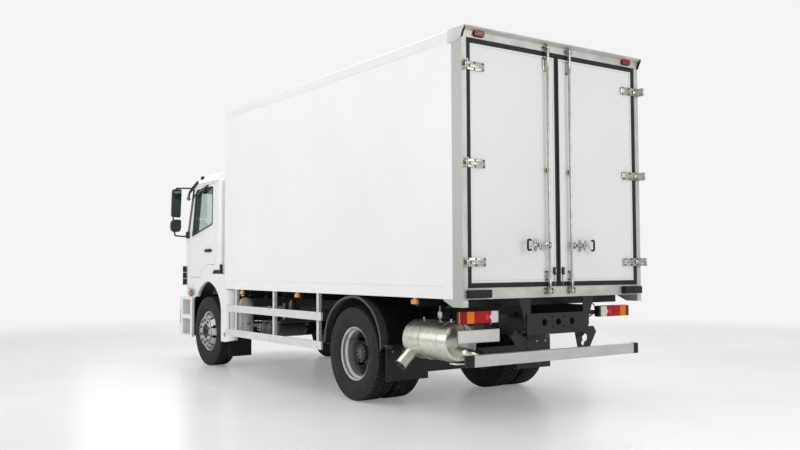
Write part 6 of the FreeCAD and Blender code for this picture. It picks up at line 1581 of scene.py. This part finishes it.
class TRUCK_OT_cab_trim(bpy.types.Operator):
    """Add the cab's corner vanes, seals, a black strip of painted shadow in the shut line, gutters, roof
    lamps, side indicators, wipers and grille bars
    """
    bl_idname = "truck.cab_trim"
    bl_label = "Cab Trim"

    def execute(self, context):
        vanes = [corner_vane(low, low + 0.099) for low in (1.207, 1.3105, 1.414)]
        feet = [slab((7.32, 1.105, z), (7.36, 1.165, z + 0.02), 0.004, "y") for z in (1.245, 1.455)]
        add_pair("corner_vanes", vanes + feet, "window rubber", "cab")
        seal = plate(softened([(5.925, 1.402), (6.160, 1.402), (6.168, 1.412),
                               (6.110, 1.453), (5.925, 1.453)], 0.004, 3), "y", 1.139, 1.147, 0.002)
        bend = swept(softened(oblong(-0.004, -0.0665, 0.004, 0.0665), 0.002, 3),
                     smooth_path([(5.922, 1.1335, 1.4685), (5.906, 1.120, 1.4685), (5.896, 1.098, 1.4685)],
                                 6))
        add_pair("cab_corner_seals", [seal, bend], "seal", "cab")
        # Painted shadow: a black strip set in the shut line's gap, standing in for the shade there
        shut = plate(softened([(5.62, 1.3925), (6.163, 1.3925), (6.283, 1.2885), (6.296, 1.2885),
                               (6.175, 1.3995), (5.62, 1.3995)], 0.0015, 3), "y", 1.100, 1.1385, 0.001)
        add_pair("shut_line_painted_shadows", [shut], "seal")
        gutter = swept(softened([(-0.006, -0.005), (0.006, -0.007), (0.007, 0.004), (-0.006, 0.006)],
                                0.002, 3),
                       smooth_path([(6.965, 1.108, 2.778), (6.86, 1.126, 2.794),
                                    (6.60, 1.141, 2.808), (6.20, 1.1425, 2.808), (5.965, 1.141, 2.806)], 6))
        add_pair("cab_gutters", [gutter], "gutter grey", "cab")
        lamp_profile = [(0, -0.042), (0.015, -0.040), (0.026, -0.028),
                        (0.032, -0.004), (0.028, 0.018), (0.015, 0.028), (0, 0.031)]
        lamps = revolved(lamp_profile, (7.025, 0.965, 2.938), (-0.9, 0.1, 0.25), 24)
        stem = revolved([(0, 0.0), (0.024, 0.0), (0.014, 0.045), (0, 0.045)],
                        (7.020, 0.960, 2.880), UPRIGHT, 18)
        add_pair("roof_lamps", [lamps, stem], "black plastic", "cab")
        lens_piece = revolved([(0, 0.0), (0.022, 0.0), (0.024, 0.005), (0.019, 0.013), (0, 0.016)],
                              (7.052, 0.962, 2.931), (0.95, 0, -0.2), 20)
        add_pair("roof_lamp_lenses", [lens_piece], "amber lens", "cab")
        indicator = swept(softened(oblong(-0.018, -0.040, 0.018, 0.040), 0.016, 6),
                          np.array([(6.910, 1.198, 1.088), (6.935, 1.200, 1.088), (6.975, 1.198, 1.088)]))
        add_pair("side_indicators", [indicator], "amber lens")
        base = slab((6.905, 1.165, 1.028), (6.985, 1.192, 1.140), 0.006, "y")
        stalk = tube([(6.95, 1.180, 1.135), (6.95, 1.182, 1.158),
                      (7.02, 1.180, 1.163), (7.10, 1.172, 1.150)], 0.006, 8, 5)
        add_pair("indicator_brackets", [base, stalk], "grey plastic")

        wipers, blades = [], []
        for pivot_y, reach in ((0.62, -0.56), (-0.02, -0.56)):
            y = np.linspace(pivot_y, pivot_y + reach, 12)
            z = 2.062 + 0.030 * np.sin(np.linspace(0, np.pi, 12))
            blade = np.stack([screen_x(y, z) + 0.012, y, z], axis=1)
            blades.append(swept(np.array([(-0.006, -0.008), (0.006, -0.010),
                                          (0.006, 0.010), (-0.006, 0.008)]), blade, FORWARD))
            arm_y = np.linspace(pivot_y + 0.02, pivot_y + reach * 0.52, 7)
            arm_z = np.linspace(1.992, 2.088, 7)
            arm = np.stack([screen_x(arm_y, arm_z) + 0.030, arm_y, arm_z], axis=1)
            wipers.append(swept(np.array(oblong(-0.007, -0.009, 0.007, 0.009)), arm, FORWARD))
            wipers.append(revolved([(0, -0.03), (0.019, -0.03), (0.021, 0.02), (0.012, 0.034), (0, 0.035)],
                                   (float(screen_x(pivot_y, 1.99)), pivot_y + 0.02, 1.990),
                                   (1, 0, 0.1), 18))
        add("wiper_arms", wipers, "black plastic", "cab")
        add("wiper_blades", blades, "seal", "cab")

        y = np.linspace(-0.985, 0.985, 25)
        strip = [np.stack([screen_x(y, np.full(25, z)) + 0.002, y, np.full(25, z)], axis=1)
                 for z in (2.016, 2.729)]
        rubbers = [swept(np.array(oblong(-0.010, -0.012, 0.006, 0.012)), path, (1, 0, 0.3))
                   for path in strip]
        add("screen_rubbers", rubbers, "seal", "cab")
        visor_y = np.linspace(-0.86, 0.86, 21)
        visor = np.stack([screen_x(visor_y, np.full(21, 2.76)) + 0.10 - 0.03 * (visor_y / 0.86) ** 2,
                          visor_y, np.full(21, 2.752)], axis=1)
        add("sun_visor",
            [swept(softened([(-0.006, -0.062), (0.006, -0.066), (0.006, 0.066), (-0.006, 0.062)], 0.004, 3),
                   visor, (0.75, 0, 0.66))], "smoked visor", "cab")
        clips = [tube([(float(screen_x(y, 2.79)) - 0.01, y, 2.812),
                       (float(screen_x(y, 2.78)) + 0.05, y, 2.80),
                       (float(screen_x(y, 2.76)) + 0.085, y, 2.79)], 0.008, 8, 4)
                 for y in (-0.62, 0.0, 0.62)]
        add("visor_clips", clips, "black plastic", "cab")
        bar_y = np.linspace(-0.955, 0.955, 27)
        bars = [swept(softened([(-0.004, -0.012), (0.006, -0.010), (0.006, 0.010), (-0.004, 0.012)],
                               0.002, 3), panel_curve(bar_y, z, out=0.0195), UPRIGHT)
                for z in np.arange(1.248, 1.56, 0.058)]
        add("grille_bars", bars, "grey plastic", "cab")
        return {"FINISHED"}


def at_height(curve, height):
    """A curve in plan, drawn at one height."""
    return np.column_stack([curve, np.full(len(curve), height)])


def bumper_plan(offset, count=40):
    """Plan curve of the bumper's left front, drawn in by offset: its bowed nose, then a quarter bend."""
    u = np.linspace(0, 1, count)
    nose_y = 0.690 + (BUMPER_TURN_Y - 0.690) * np.minimum(u * 2, 1)
    nose_x = BUMPER_NOSE_X - BUMPER_BOW * (nose_y / BUMPER_TURN_Y) ** 2
    angle = np.clip(u * 2 - 1, 0, 1) * np.pi / 2 * 0.84
    x = nose_x - 0.2540 * (1 - np.cos(angle))
    y = nose_y + 0.2184 * np.sin(angle)
    way = np.gradient(np.stack([x, y], axis=1), axis=0)
    way = way / np.linalg.norm(way, axis=1, keepdims=True)
    return np.stack([x - way[:, 1] * offset, y + way[:, 0] * offset], axis=1)


class TRUCK_OT_head_lamps(bpy.types.Operator):
    """Make the headlamps: clear lenses over chromed bowls, with a frame round each"""
    bl_idname = "truck.head_lamps"
    bl_label = "Headlamps"

    def execute(self, context):
        low, high = 0.601, 0.799
        front, back = bumper_plan(0.004), bumper_plan(0.009)
        rows = [at_height(front, h) for h in np.linspace(low, high, 9)]
        rows += [at_height(back, h) for h in np.linspace(high, low, 9)]
        pane = surface(np.stack(rows).transpose(1, 0, 2), wrap_columns=True, caps=True)
        add_pair("headlamp_lenses", [pane], "lamp cover", "chassis", 40, ("headlamps",), "lamp_clear")
        deep = bumper_plan(0.075)
        rows = [at_height(deep, h) for h in np.linspace(low, high, 5)]
        shelf = [np.stack([at_height(back, h), at_height(deep, h)]) for h in (low + 0.001, high - 0.001)]
        cheeks = [np.stack([np.column_stack([np.repeat(curve[k][None], 2, 0), [low, high]])
                            for curve in (back, deep)]) for k in (0, -1)]
        add_pair("headlamp_shells", [surface(np.stack(rows))] + [surface(s) for s in shelf + cheeks],
                 "dull gear")
        bowls, bulbs = [], []
        t = np.linspace(0.12, 1, 9)
        for across, size in ((0.765, 0.062), (0.905, 0.078)):
            place = (7.600 - BUMPER_BOW * (across / BUMPER_TURN_Y) ** 2 - 0.014, across, HEADLAMP_Z)
            bowl = np.stack([size * t, -0.052 * (1 - t ** 2)], axis=1)
            bowls.append(revolved(np.concatenate([bowl, [(size * 1.07, 0.001), (size * 1.07, -0.012)]]),
                                  place, FORWARD, 40))
            bulbs.append(revolved([(0, -0.05), (0.012, -0.05),
                                   (0.014, -0.02), (0.008, -0.008), (0, -0.006)], place, FORWARD, 20))
        orange = revolved([(0, -0.02), (0.045, -0.02), (0.047, -0.006), (0.03, 0.004), (0, 0.006)],
                          (7.505, 1.070, HEADLAMP_Z), (0.72, 0.69, 0), 28)
        add_pair("headlamp_bowls", bowls, "chrome")
        add_pair("headlamp_bulbs", bulbs, "clear lens")
        add_pair("front_indicators", [orange], "amber lens")
        edge = np.concatenate([at_height(bumper_plan(0.0), 0.5965),
                               at_height(bumper_plan(0.0)[::-1], 0.8035)])
        add_pair("headlamp_rims", [swept(circle(0.0042, 8), edge, (0.3, 0.2, 1), True)], "seal")
        fog = [slab((7.55, y - 0.10, 0.452), (7.592, y + 0.10, 0.548), 0.02, "x") for y in (-0.46, 0.46)]
        add("fog_lamps", fog, "clear lens")
        ribs = [slab((7.560, -0.555, h), (7.592, 0.555, h + 0.010), 0.003, "x")
                for h in np.arange(0.652, 0.755, 0.022)]
        ribs += [slab((7.555, -0.345, h), (7.586, 0.345, h + 0.010), 0.003, "x")
                 for h in np.arange(0.452, 0.556, 0.022)]
        add("bumper_grille", ribs, "black plastic")
        face = plate(softened(oblong(-0.26, 0.800, 0.26, 0.912), 0.008, 5), "x", 7.622, 7.6245, 0.001)
        add("front_number_plate", [face], "plate white")
        frame_piece = bead(softened(oblong(-0.262, 0.798, 0.262, 0.914), 0.01, 5),
                           "x", 7.6215, 0.008, 0.004)
        add("front_plate_frame", [frame_piece], "black plastic")
        y = np.linspace(-0.90, 0.90, 31)
        flap = np.concatenate([panel_curve(y, 1.625), panel_curve(y, 1.925, 7.543)[::-1]])
        add("front_flap_seal", [swept(circle(0.0035, 8), flap, (0.2, 0.1, 1), True)], "joint line", "cab")
        return {"FINISHED"}


# Sides and underside: axle gear, pipes, lamps, rivets, straps and the cooling unit's fittings


def along_side(x_values, y, z, height=0.0035, radius=0.0065):
    """A row of rivet heads on the left side, facing out."""
    x_values = np.asarray(x_values, float)
    centres = np.column_stack([x_values, np.full(len(x_values), y), np.full(len(x_values), z)])
    return placed(dome(radius, height), centres, aimed(OUTWARD))


def u_bolt(x, low_y, high_y, low_z, high_z):
    """A round bar bent over a spring, its two legs threaded below the axle."""
    return tube([(x, low_y, low_z), (x, low_y, high_z - 0.02), (x, low_y + 0.012, high_z),
                 (x, high_y - 0.012, high_z), (x, high_y, high_z - 0.02), (x, high_y, low_z)], 0.009, 10, 5)


class TRUCK_OT_under_gear(bpy.types.Operator):
    """Add U-bolts, brake chambers, air pipes, valves and frame bolts under the truck"""
    bl_idname = "truck.under_gear"
    bl_label = "Underbody Gear"

    def execute(self, context):
        bars, nuts = [], []
        for axle, low_y, high_y, low_z, high_z in ((1.988, 0.437, 0.545, 0.420, 0.712),
                                                   (6.288, 0.361, 0.473, 0.395, 0.668)):
            for x in (axle - 0.078, axle + 0.078):
                bars.append(u_bolt(x, low_y, high_y, low_z, high_z))
                nuts += [bolts_at(0.014, 0.016, [(x, y, low_z + 0.030)], (0, 0, -1))
                         for y in (low_y, high_y)]
        add_pair("spring_u_bolts", bars + nuts, "casting")
        chambers = []
        for x, y, z, way in ((1.845, 0.335, 0.640, (-1, 0, 0.16)), (6.420, 0.640, 0.640, (1, -0.1, 0.2))):
            profile = [(0, 0), (0.058, 0.0), (0.074, 0.018), (0.078, 0.052), (0.087, 0.056),
                       (0.087, 0.070), (0.078, 0.074), (0.076, 0.118), (0.060, 0.142), (0, 0.146)]
            chambers.append(revolved(profile, (x, y, z), way, 32))
            chambers.append(slab((min(x, x - way[0] * 0.10), y - 0.045, z - 0.10),
                                 (max(x, x - way[0] * 0.10), y + 0.045, z), 0.01, "y"))
        add_pair("brake_chambers", chambers, "chassis")
        pipes = [tube([(x, 0.4385, z) for x in (0.45, 1.10, 2.55, 4.30, 5.05)], 0.0062, 10, 5)
                 for z in (0.872, 0.890, 0.908)]
        clips = [slab((x - 0.012, 0.432, 0.862), (x + 0.012, 0.450, 0.918), 0.003, "y")
                 for x in np.arange(0.6, 5.0, 0.42)]
        add_pair("rail_pipes", pipes + clips, "cable")
        valves, unions = [], []
        for x, z, width in ((2.62, 0.935, 0.06), (3.30, 0.935, 0.085),
                            (3.58, 0.935, 0.07), (4.88, 0.930, 0.08)):
            valves.append(slab((x - width / 2, 0.4325, z - 0.05),
                               (x + width / 2, 0.505, z + 0.05), 0.010, "y"))
            valves.append(revolved([(0, 0), (0.026, 0), (0.026, 0.03), (0.018, 0.036), (0, 0.036)],
                                   (x, 0.470, z + 0.048), UPRIGHT, 20))
            ports = [(x - width / 4, 0.505, z - 0.02), (x + width / 4, 0.505, z - 0.02)]
            unions.append(bolts_at(0.010, 0.014, ports, OUTWARD))
        add("air_valves", valves, "tank aluminium")
        add("air_unions", unions, "brass")
        x, z = np.meshgrid(np.arange(0.40, 5.40, 0.25), (0.838, 0.972))
        centres = np.column_stack([x.ravel(), np.full(x.size, 0.432), z.ravel()])
        add_pair("frame_bolts", [bolts_at(0.010, 0.009, centres, OUTWARD)], "chassis")
        bands = [ring_of([(0.2002, -0.016), (0.2032, -0.016), (0.2042, 0.0),
                          (0.2032, 0.016), (0.2002, 0.016)], (x, SILENCER_Y, SILENCER_Z), FORWARD, 72)
                 for x in SILENCER_BANDS_X]
        bands += [bolts_at(0.011, 0.022, [(x, SILENCER_Y, 0.944)], UPRIGHT) for x in SILENCER_BANDS_X]
        bands.append(slab((0.360, 0.890, 0.5285), (0.470, 1.050, 0.5440), 0.004, "z"))
        add("silencer_bands", bands, "stainless drum")
        bracket = [slab((0.715, 0.932, 0.965), (0.785, 0.952, 1.032), 0.006, "y"),
                   slab((0.741, 0.936, 0.930), (0.759, 0.950, 1.092), 0.004, "y")]
        add("silencer_bracket", bracket, "zinc")
        straps = [ring_of(oblong(0.1003, -0.014, 0.1035, 0.014), (CANISTER_X, CANISTER_Y, z), UPRIGHT, 56)
                  for z in (0.69, 0.90)]
        straps.append(revolved([(0, 0.0), (0.036, 0.0), (0.034, 0.018), (0, 0.018)],
                               (CANISTER_X, CANISTER_Y, 1.040), UPRIGHT, 24))
        add("canister_straps", straps, "dull gear")
        lid = [slab((4.444, -1.124, 0.986), (5.086, -0.596, 1.010), 0.010, "z")]
        lid += [slab((x - 0.018, -1.1245, 0.56), (x + 0.018, -1.1195, 1.0), 0.002, "y")
                for x in BATTERY_STRAPS_X]
        lid += [slab((x - 0.022, -1.132, 0.90), (x + 0.022, -1.124, 0.955), 0.004, "y")
                for x in BATTERY_STRAPS_X]
        add("battery_cover", lid, "black plastic")
        return {"FINISHED"}


class TRUCK_OT_side_details(bpy.types.Operator):
    """Add rivets, rub lines, reflectors, guard and flap bolts, and the cooling unit's grille, side doors,
    pipes and fans
    """
    bl_idname = "truck.side_details"
    bl_label = "Side Details"

    def execute(self, context):
        rivets = joined([along_side(np.arange(0.42, 5.40, 0.155), PANEL_FACE_Y, 1.212),
                         along_side(np.arange(0.42, 5.40, 0.31), PANEL_FACE_Y, 3.728)])
        add_pair("body_rivets", [rivets], "white enamel")
        lines = [slab((0.30, 1.2495, z), (5.44, 1.2517, z + 0.004), 0.0008, "y") for z in (1.2985, 3.648)]
        add_pair("body_seam_lines", lines, "seam line")
        reflectors = [slab((5.566, 1.194, 0.478), (5.612, 1.2015, 0.545), 0.004, "y")]
        add_pair("side_reflectors", reflectors, "amber lens")
        heads = [along_side([x], PANEL_FACE_Y, z, 0.004, 0.009)
                 for x in (2.76, 4.02, 5.28) for z in (0.545, 0.585, 0.94, 0.98)]
        add_pair("guard_bolts", heads, "zinc")
        flaps = [bolts_at(0.010, 0.009, [(1.3555, y, 0.590) for y in (0.70, 0.84, 0.98, 1.12)], REARWARD)]
        add_pair("flap_bolts", flaps, "dull gear")
        slots = [slab((5.9495, -0.517, z + 0.002), (5.954, 0.517, z + 0.022), 0.001, "x")
                 for z in np.arange(3.305, 3.559, 0.046)]
        add("cooler_grille", slots, "black plastic")
        trim = [bead(softened(oblong(-0.56, 3.285, 0.56, 3.580), 0.03, 6), "x", 5.9845, 0.012, 0.004)]
        add("cooler_grille_frame", trim, "joint line")
        service = [slab((5.62, 0.8595, 3.18), (5.90, 0.8635, 3.56), 0.002, "y"),
                   slab((5.66, 0.863, 3.34), (5.69, 0.870, 3.40), 0.004, "y")]
        add_pair("cooler_side_doors", service, "white enamel")
        lines = [tube([(5.578, y, z) for z in (3.085, 2.60, 1.90, 1.19)], 0.012, 12, 5)
                 for y in (0.50, 0.55)]
        lines += [slab((5.556, 0.470, z), (5.592, 0.580, z + 0.022), 0.004, "y")
                  for z in (1.45, 2.05, 2.65)]
        add("cooler_pipes", lines, "cable")
        fans = []
        for y in FAN_PLACES_Y:
            middle = (5.108, y, 3.470)
            fans += [ring_of(oblong(r, 0.0, r + 0.004, 0.004), middle, (-1, 0, -0.22), 36)
                     for r in (0.020, 0.040, 0.060, 0.080)]
            fans += [tube([(5.106 + 0.22 * dz, y + dy, 3.470 + dz),
                           (5.106, y, 3.470), (5.106 - 0.22 * dz, y - dy, 3.470 - dz)], 0.003, 6, 2)
                     for dy, dz in ((0.082, 0.0), (0.0, 0.082), (0.058, 0.058), (0.058, -0.058))]
        add("evaporator_fans", fans, "black plastic")
        return {"FINISHED"}


# Inside the cab and the body


def cushion(centre, half, lean=0.0, square=0.42):
    """A padded block, leaned back: an ellipsoid with its sines raised to a power for crowned faces."""
    v = np.linspace(-np.pi / 2, np.pi / 2, 33)[1:-1, None]
    u = np.linspace(0, 2 * np.pi, 64, endpoint=False)[None]

    def power(value, share):
        return np.sign(value) * np.abs(value) ** share

    x = half[0] * power(np.cos(v), square) * power(np.cos(u), square)
    y = half[1] * power(np.cos(v), square) * power(np.sin(u), square)
    z = half[2] * power(np.sin(v), square + 0.16) * np.ones_like(u)
    pinch = 1 - 0.035 * (np.abs(z) / half[2]) ** 4
    x, y = x * pinch, y * pinch
    turned = np.stack([x * np.cos(lean) - z * np.sin(lean), y, x * np.sin(lean) + z * np.cos(lean)],
                      axis=-1)
    return surface(turned + np.array(centre), wrap_columns=True, caps=True)


def seat_back(y):
    """The back: a padded block with bolsters that come forward at its sides."""
    points, faces = cushion((6.352, y, 2.040), (0.056, 0.246, 0.346), 0.094)
    across = (points[:, 1] - y) / 0.246
    points = points + np.column_stack([0.018 * across ** 4, 0 * across, 0 * across])
    return points, faces


class TRUCK_OT_cab_inside(bpy.types.Operator):
    """Make the seats, the instruments and the switches"""
    bl_idname = "truck.cab_inside"
    bl_label = "Cab Inside"

    def execute(self, context):
        for name, y in (("left", SEAT_Y), ("right", -SEAT_Y)):
            bottom = cushion((6.590, y, 1.668), (0.256, 0.256, 0.068))
            rise = np.abs((bottom[0][:, 1] - y) / 0.256) ** 4 * 0.014 * (bottom[0][:, 2] > 1.668)
            bottom = (bottom[0] + np.column_stack([0 * rise, 0 * rise, rise]), bottom[1])
            for part, shape, fill in (("cushion", bottom, 0.7), ("back", seat_back(y), 0.6),
                                      ("headrest", cushion((6.325, y, 2.470), (0.046, 0.124, 0.084), 0.06),
                                       0.7)):
                replaced = ("seats",) if (part, name) == ("cushion", "left") else ()
                pad = add("seat_" + part + "_" + name, [shape],
                          "seat cloth", "cab", 60, replaced, "seat_fabric")
            base = [slab((6.400, y - 0.180, 1.336), (6.760, y + 0.180, 1.420), 0.012, "z"),
                    slab((6.380, y - 0.205, 1.560), (6.780, y + 0.205, 1.604), 0.012, "z")]
            base += [ring_of([(0.105, 0), (0.128, 0.010), (0.105, 0.020)],
                             (6.58, y, 1.42 + 0.020 * k), UPRIGHT, 40) for k in range(7)]
            base += [tube([(6.335, y + d, 2.36), (6.328, y + d, 2.42)], 0.007, 10, 2)
                     for d in (-0.06, 0.06)]
            add("seat_base_" + name, base, "black plastic", "cab")
            seams = [tube([(6.42, y + d, 1.735), (6.60, y + d, 1.7385), (6.76, y + d, 1.735)], 0.003, 8, 6)
                     for d in (-0.15, 0.15)]
            add("seat_piping_" + name, seams, "cable", "cab")
        hood = swept(softened(oblong(-0.02, -0.012, 0.02, 0.012), 0.008, 4),
                     smooth_path([(7.075, 0.30, 1.90), (7.045, 0.34, 1.985),
                                  (7.030, 0.54, 2.005), (7.045, 0.74, 1.985), (7.075, 0.78, 1.90)], 6))
        add("instrument_hood", [hood], "dashboard", "cab")
        dials = [revolved([(0, 0.0), (size, 0.0), (size, 0.006), (size - 0.004, 0.010), (0, 0.007)],
                          (7.060, y, 1.900), (-0.95, 0, 0.3), 36)
                 for y, size in ((0.455, 0.050), (0.625, 0.050), (0.540, 0.026))]
        add("instrument_dials", dials, "plate white", "cab")
        hands = [tube([(7.048, y, 1.903), (7.046, y - 0.030, 1.925)], 0.0016, 6, 2) for y in (0.455, 0.625)]
        add("instrument_hands", hands, "red lens", "cab")
        switches = [slab((7.048, y, 1.80), (7.062, y + 0.035, 1.835), 0.004, "x")
                    for y in np.arange(-0.14, 0.24, 0.05)]
        switches += [slab((7.050, y, 1.70 + h), (7.060, y + 0.17, 1.712 + h), 0.002, "x")
                     for y in (-0.80, -0.09, 0.86) for h in (0.0, 0.022, 0.044)]
        add("facia_switches", switches, "grey plastic", "cab")
        lamp = slab((6.30, -0.09, 2.890), (6.50, 0.09, 2.912), 0.010, "z")
        add("cab_lamp", [lamp], "clear lens", "cab")
        return {"FINISHED"}


class TRUCK_OT_body_inside(bpy.types.Operator):
    """Add the kick plates, load rails with their slots and the ceiling lamps inside the insulated body"""
    bl_idname = "truck.body_inside"
    bl_label = "Body Inside"

    def execute(self, context):
        plates = [slab((0.310, 1.1585, 1.302), (5.450, WALL_LINING_Y, 1.560), 0.002, "y")]
        add_pair("kick_plates", plates, "tank aluminium")
        rail = np.array([(0.0, -0.060), (0.008, -0.060), (0.014, -0.030),
                         (0.014, 0.030), (0.008, 0.060), (0.0, 0.060)])
        rails = [swept(rail * (-1, 1), np.array([(x, WALL_LINING_Y, z) for x in (0.32, 2.90, 5.44)]),
                       UPRIGHT) for z in LOAD_RAIL_HEIGHTS]
        add_pair("load_rails", rails, "cross aluminium")
        x, z = np.meshgrid(np.arange(0.42, 5.40, 0.10), LOAD_RAIL_HEIGHTS)
        centres = np.column_stack([x.ravel(), np.full(x.size, 1.1500), z.ravel()])
        slots = placed(slab((-0.030, -0.012, 0.0), (0.030, 0.012, 0.0012), 0.0004, "z"),
                       centres, aimed((0, -1, 0)))
        add_pair("load_rail_slots", [slots], "seal")
        lamps = [slab((x, -0.060, 3.636), (x + 0.36, 0.060, 3.667), 0.012, "z") for x in (0.80, 2.45, 4.10)]
        add("body_lamps", lamps, "clear lens")
        return {"FINISHED"}



# Classes, and the run itself

OPERATORS = (TRUCK_OT_stage, TRUCK_OT_finish_parts, TRUCK_OT_tyres,
             TRUCK_OT_wheel_details, TRUCK_OT_door_gear, TRUCK_OT_rear_frame_trim, TRUCK_OT_number_plate,
             TRUCK_OT_mirrors, TRUCK_OT_cab_doors, TRUCK_OT_cab_trim, TRUCK_OT_head_lamps,
             TRUCK_OT_under_gear, TRUCK_OT_side_details, TRUCK_OT_cab_inside, TRUCK_OT_body_inside)
GROUPS = (TRUCK_PG_colours, TRUCK_PG_sizes)


class TRUCK_PT_panel(bpy.types.Panel):
    """Buttons that make the truck's pieces"""
    bl_idname = "TRUCK_PT_panel"
    bl_label = "Refrigerated Truck"
    bl_space_type = "VIEW_3D"
    bl_region_type = "UI"
    bl_category = "Truck"

    def draw(self, context):
        for operator in OPERATORS:
            self.layout.operator(operator.bl_idname)


def register():
    """Add the classes and their settings to Blender."""
    for cls in GROUPS + OPERATORS + (TRUCK_PT_panel,):
        bpy.utils.register_class(cls)
    bpy.types.Scene.truck_colours = PointerProperty(type=TRUCK_PG_colours)
    bpy.types.Scene.truck_sizes = PointerProperty(type=TRUCK_PG_sizes)


def unregister():
    """Take them out again."""
    del bpy.types.Scene.truck_colours
    del bpy.types.Scene.truck_sizes
    for cls in reversed(GROUPS + OPERATORS + (TRUCK_PT_panel,)):
        bpy.utils.unregister_class(cls)


def main():
    """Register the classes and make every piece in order."""
    register()
    for operator in OPERATORS:
        group, name = operator.bl_idname.split(".")
        getattr(getattr(bpy.ops, group), name)()
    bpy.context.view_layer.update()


if __name__ == "__main__":
    main()
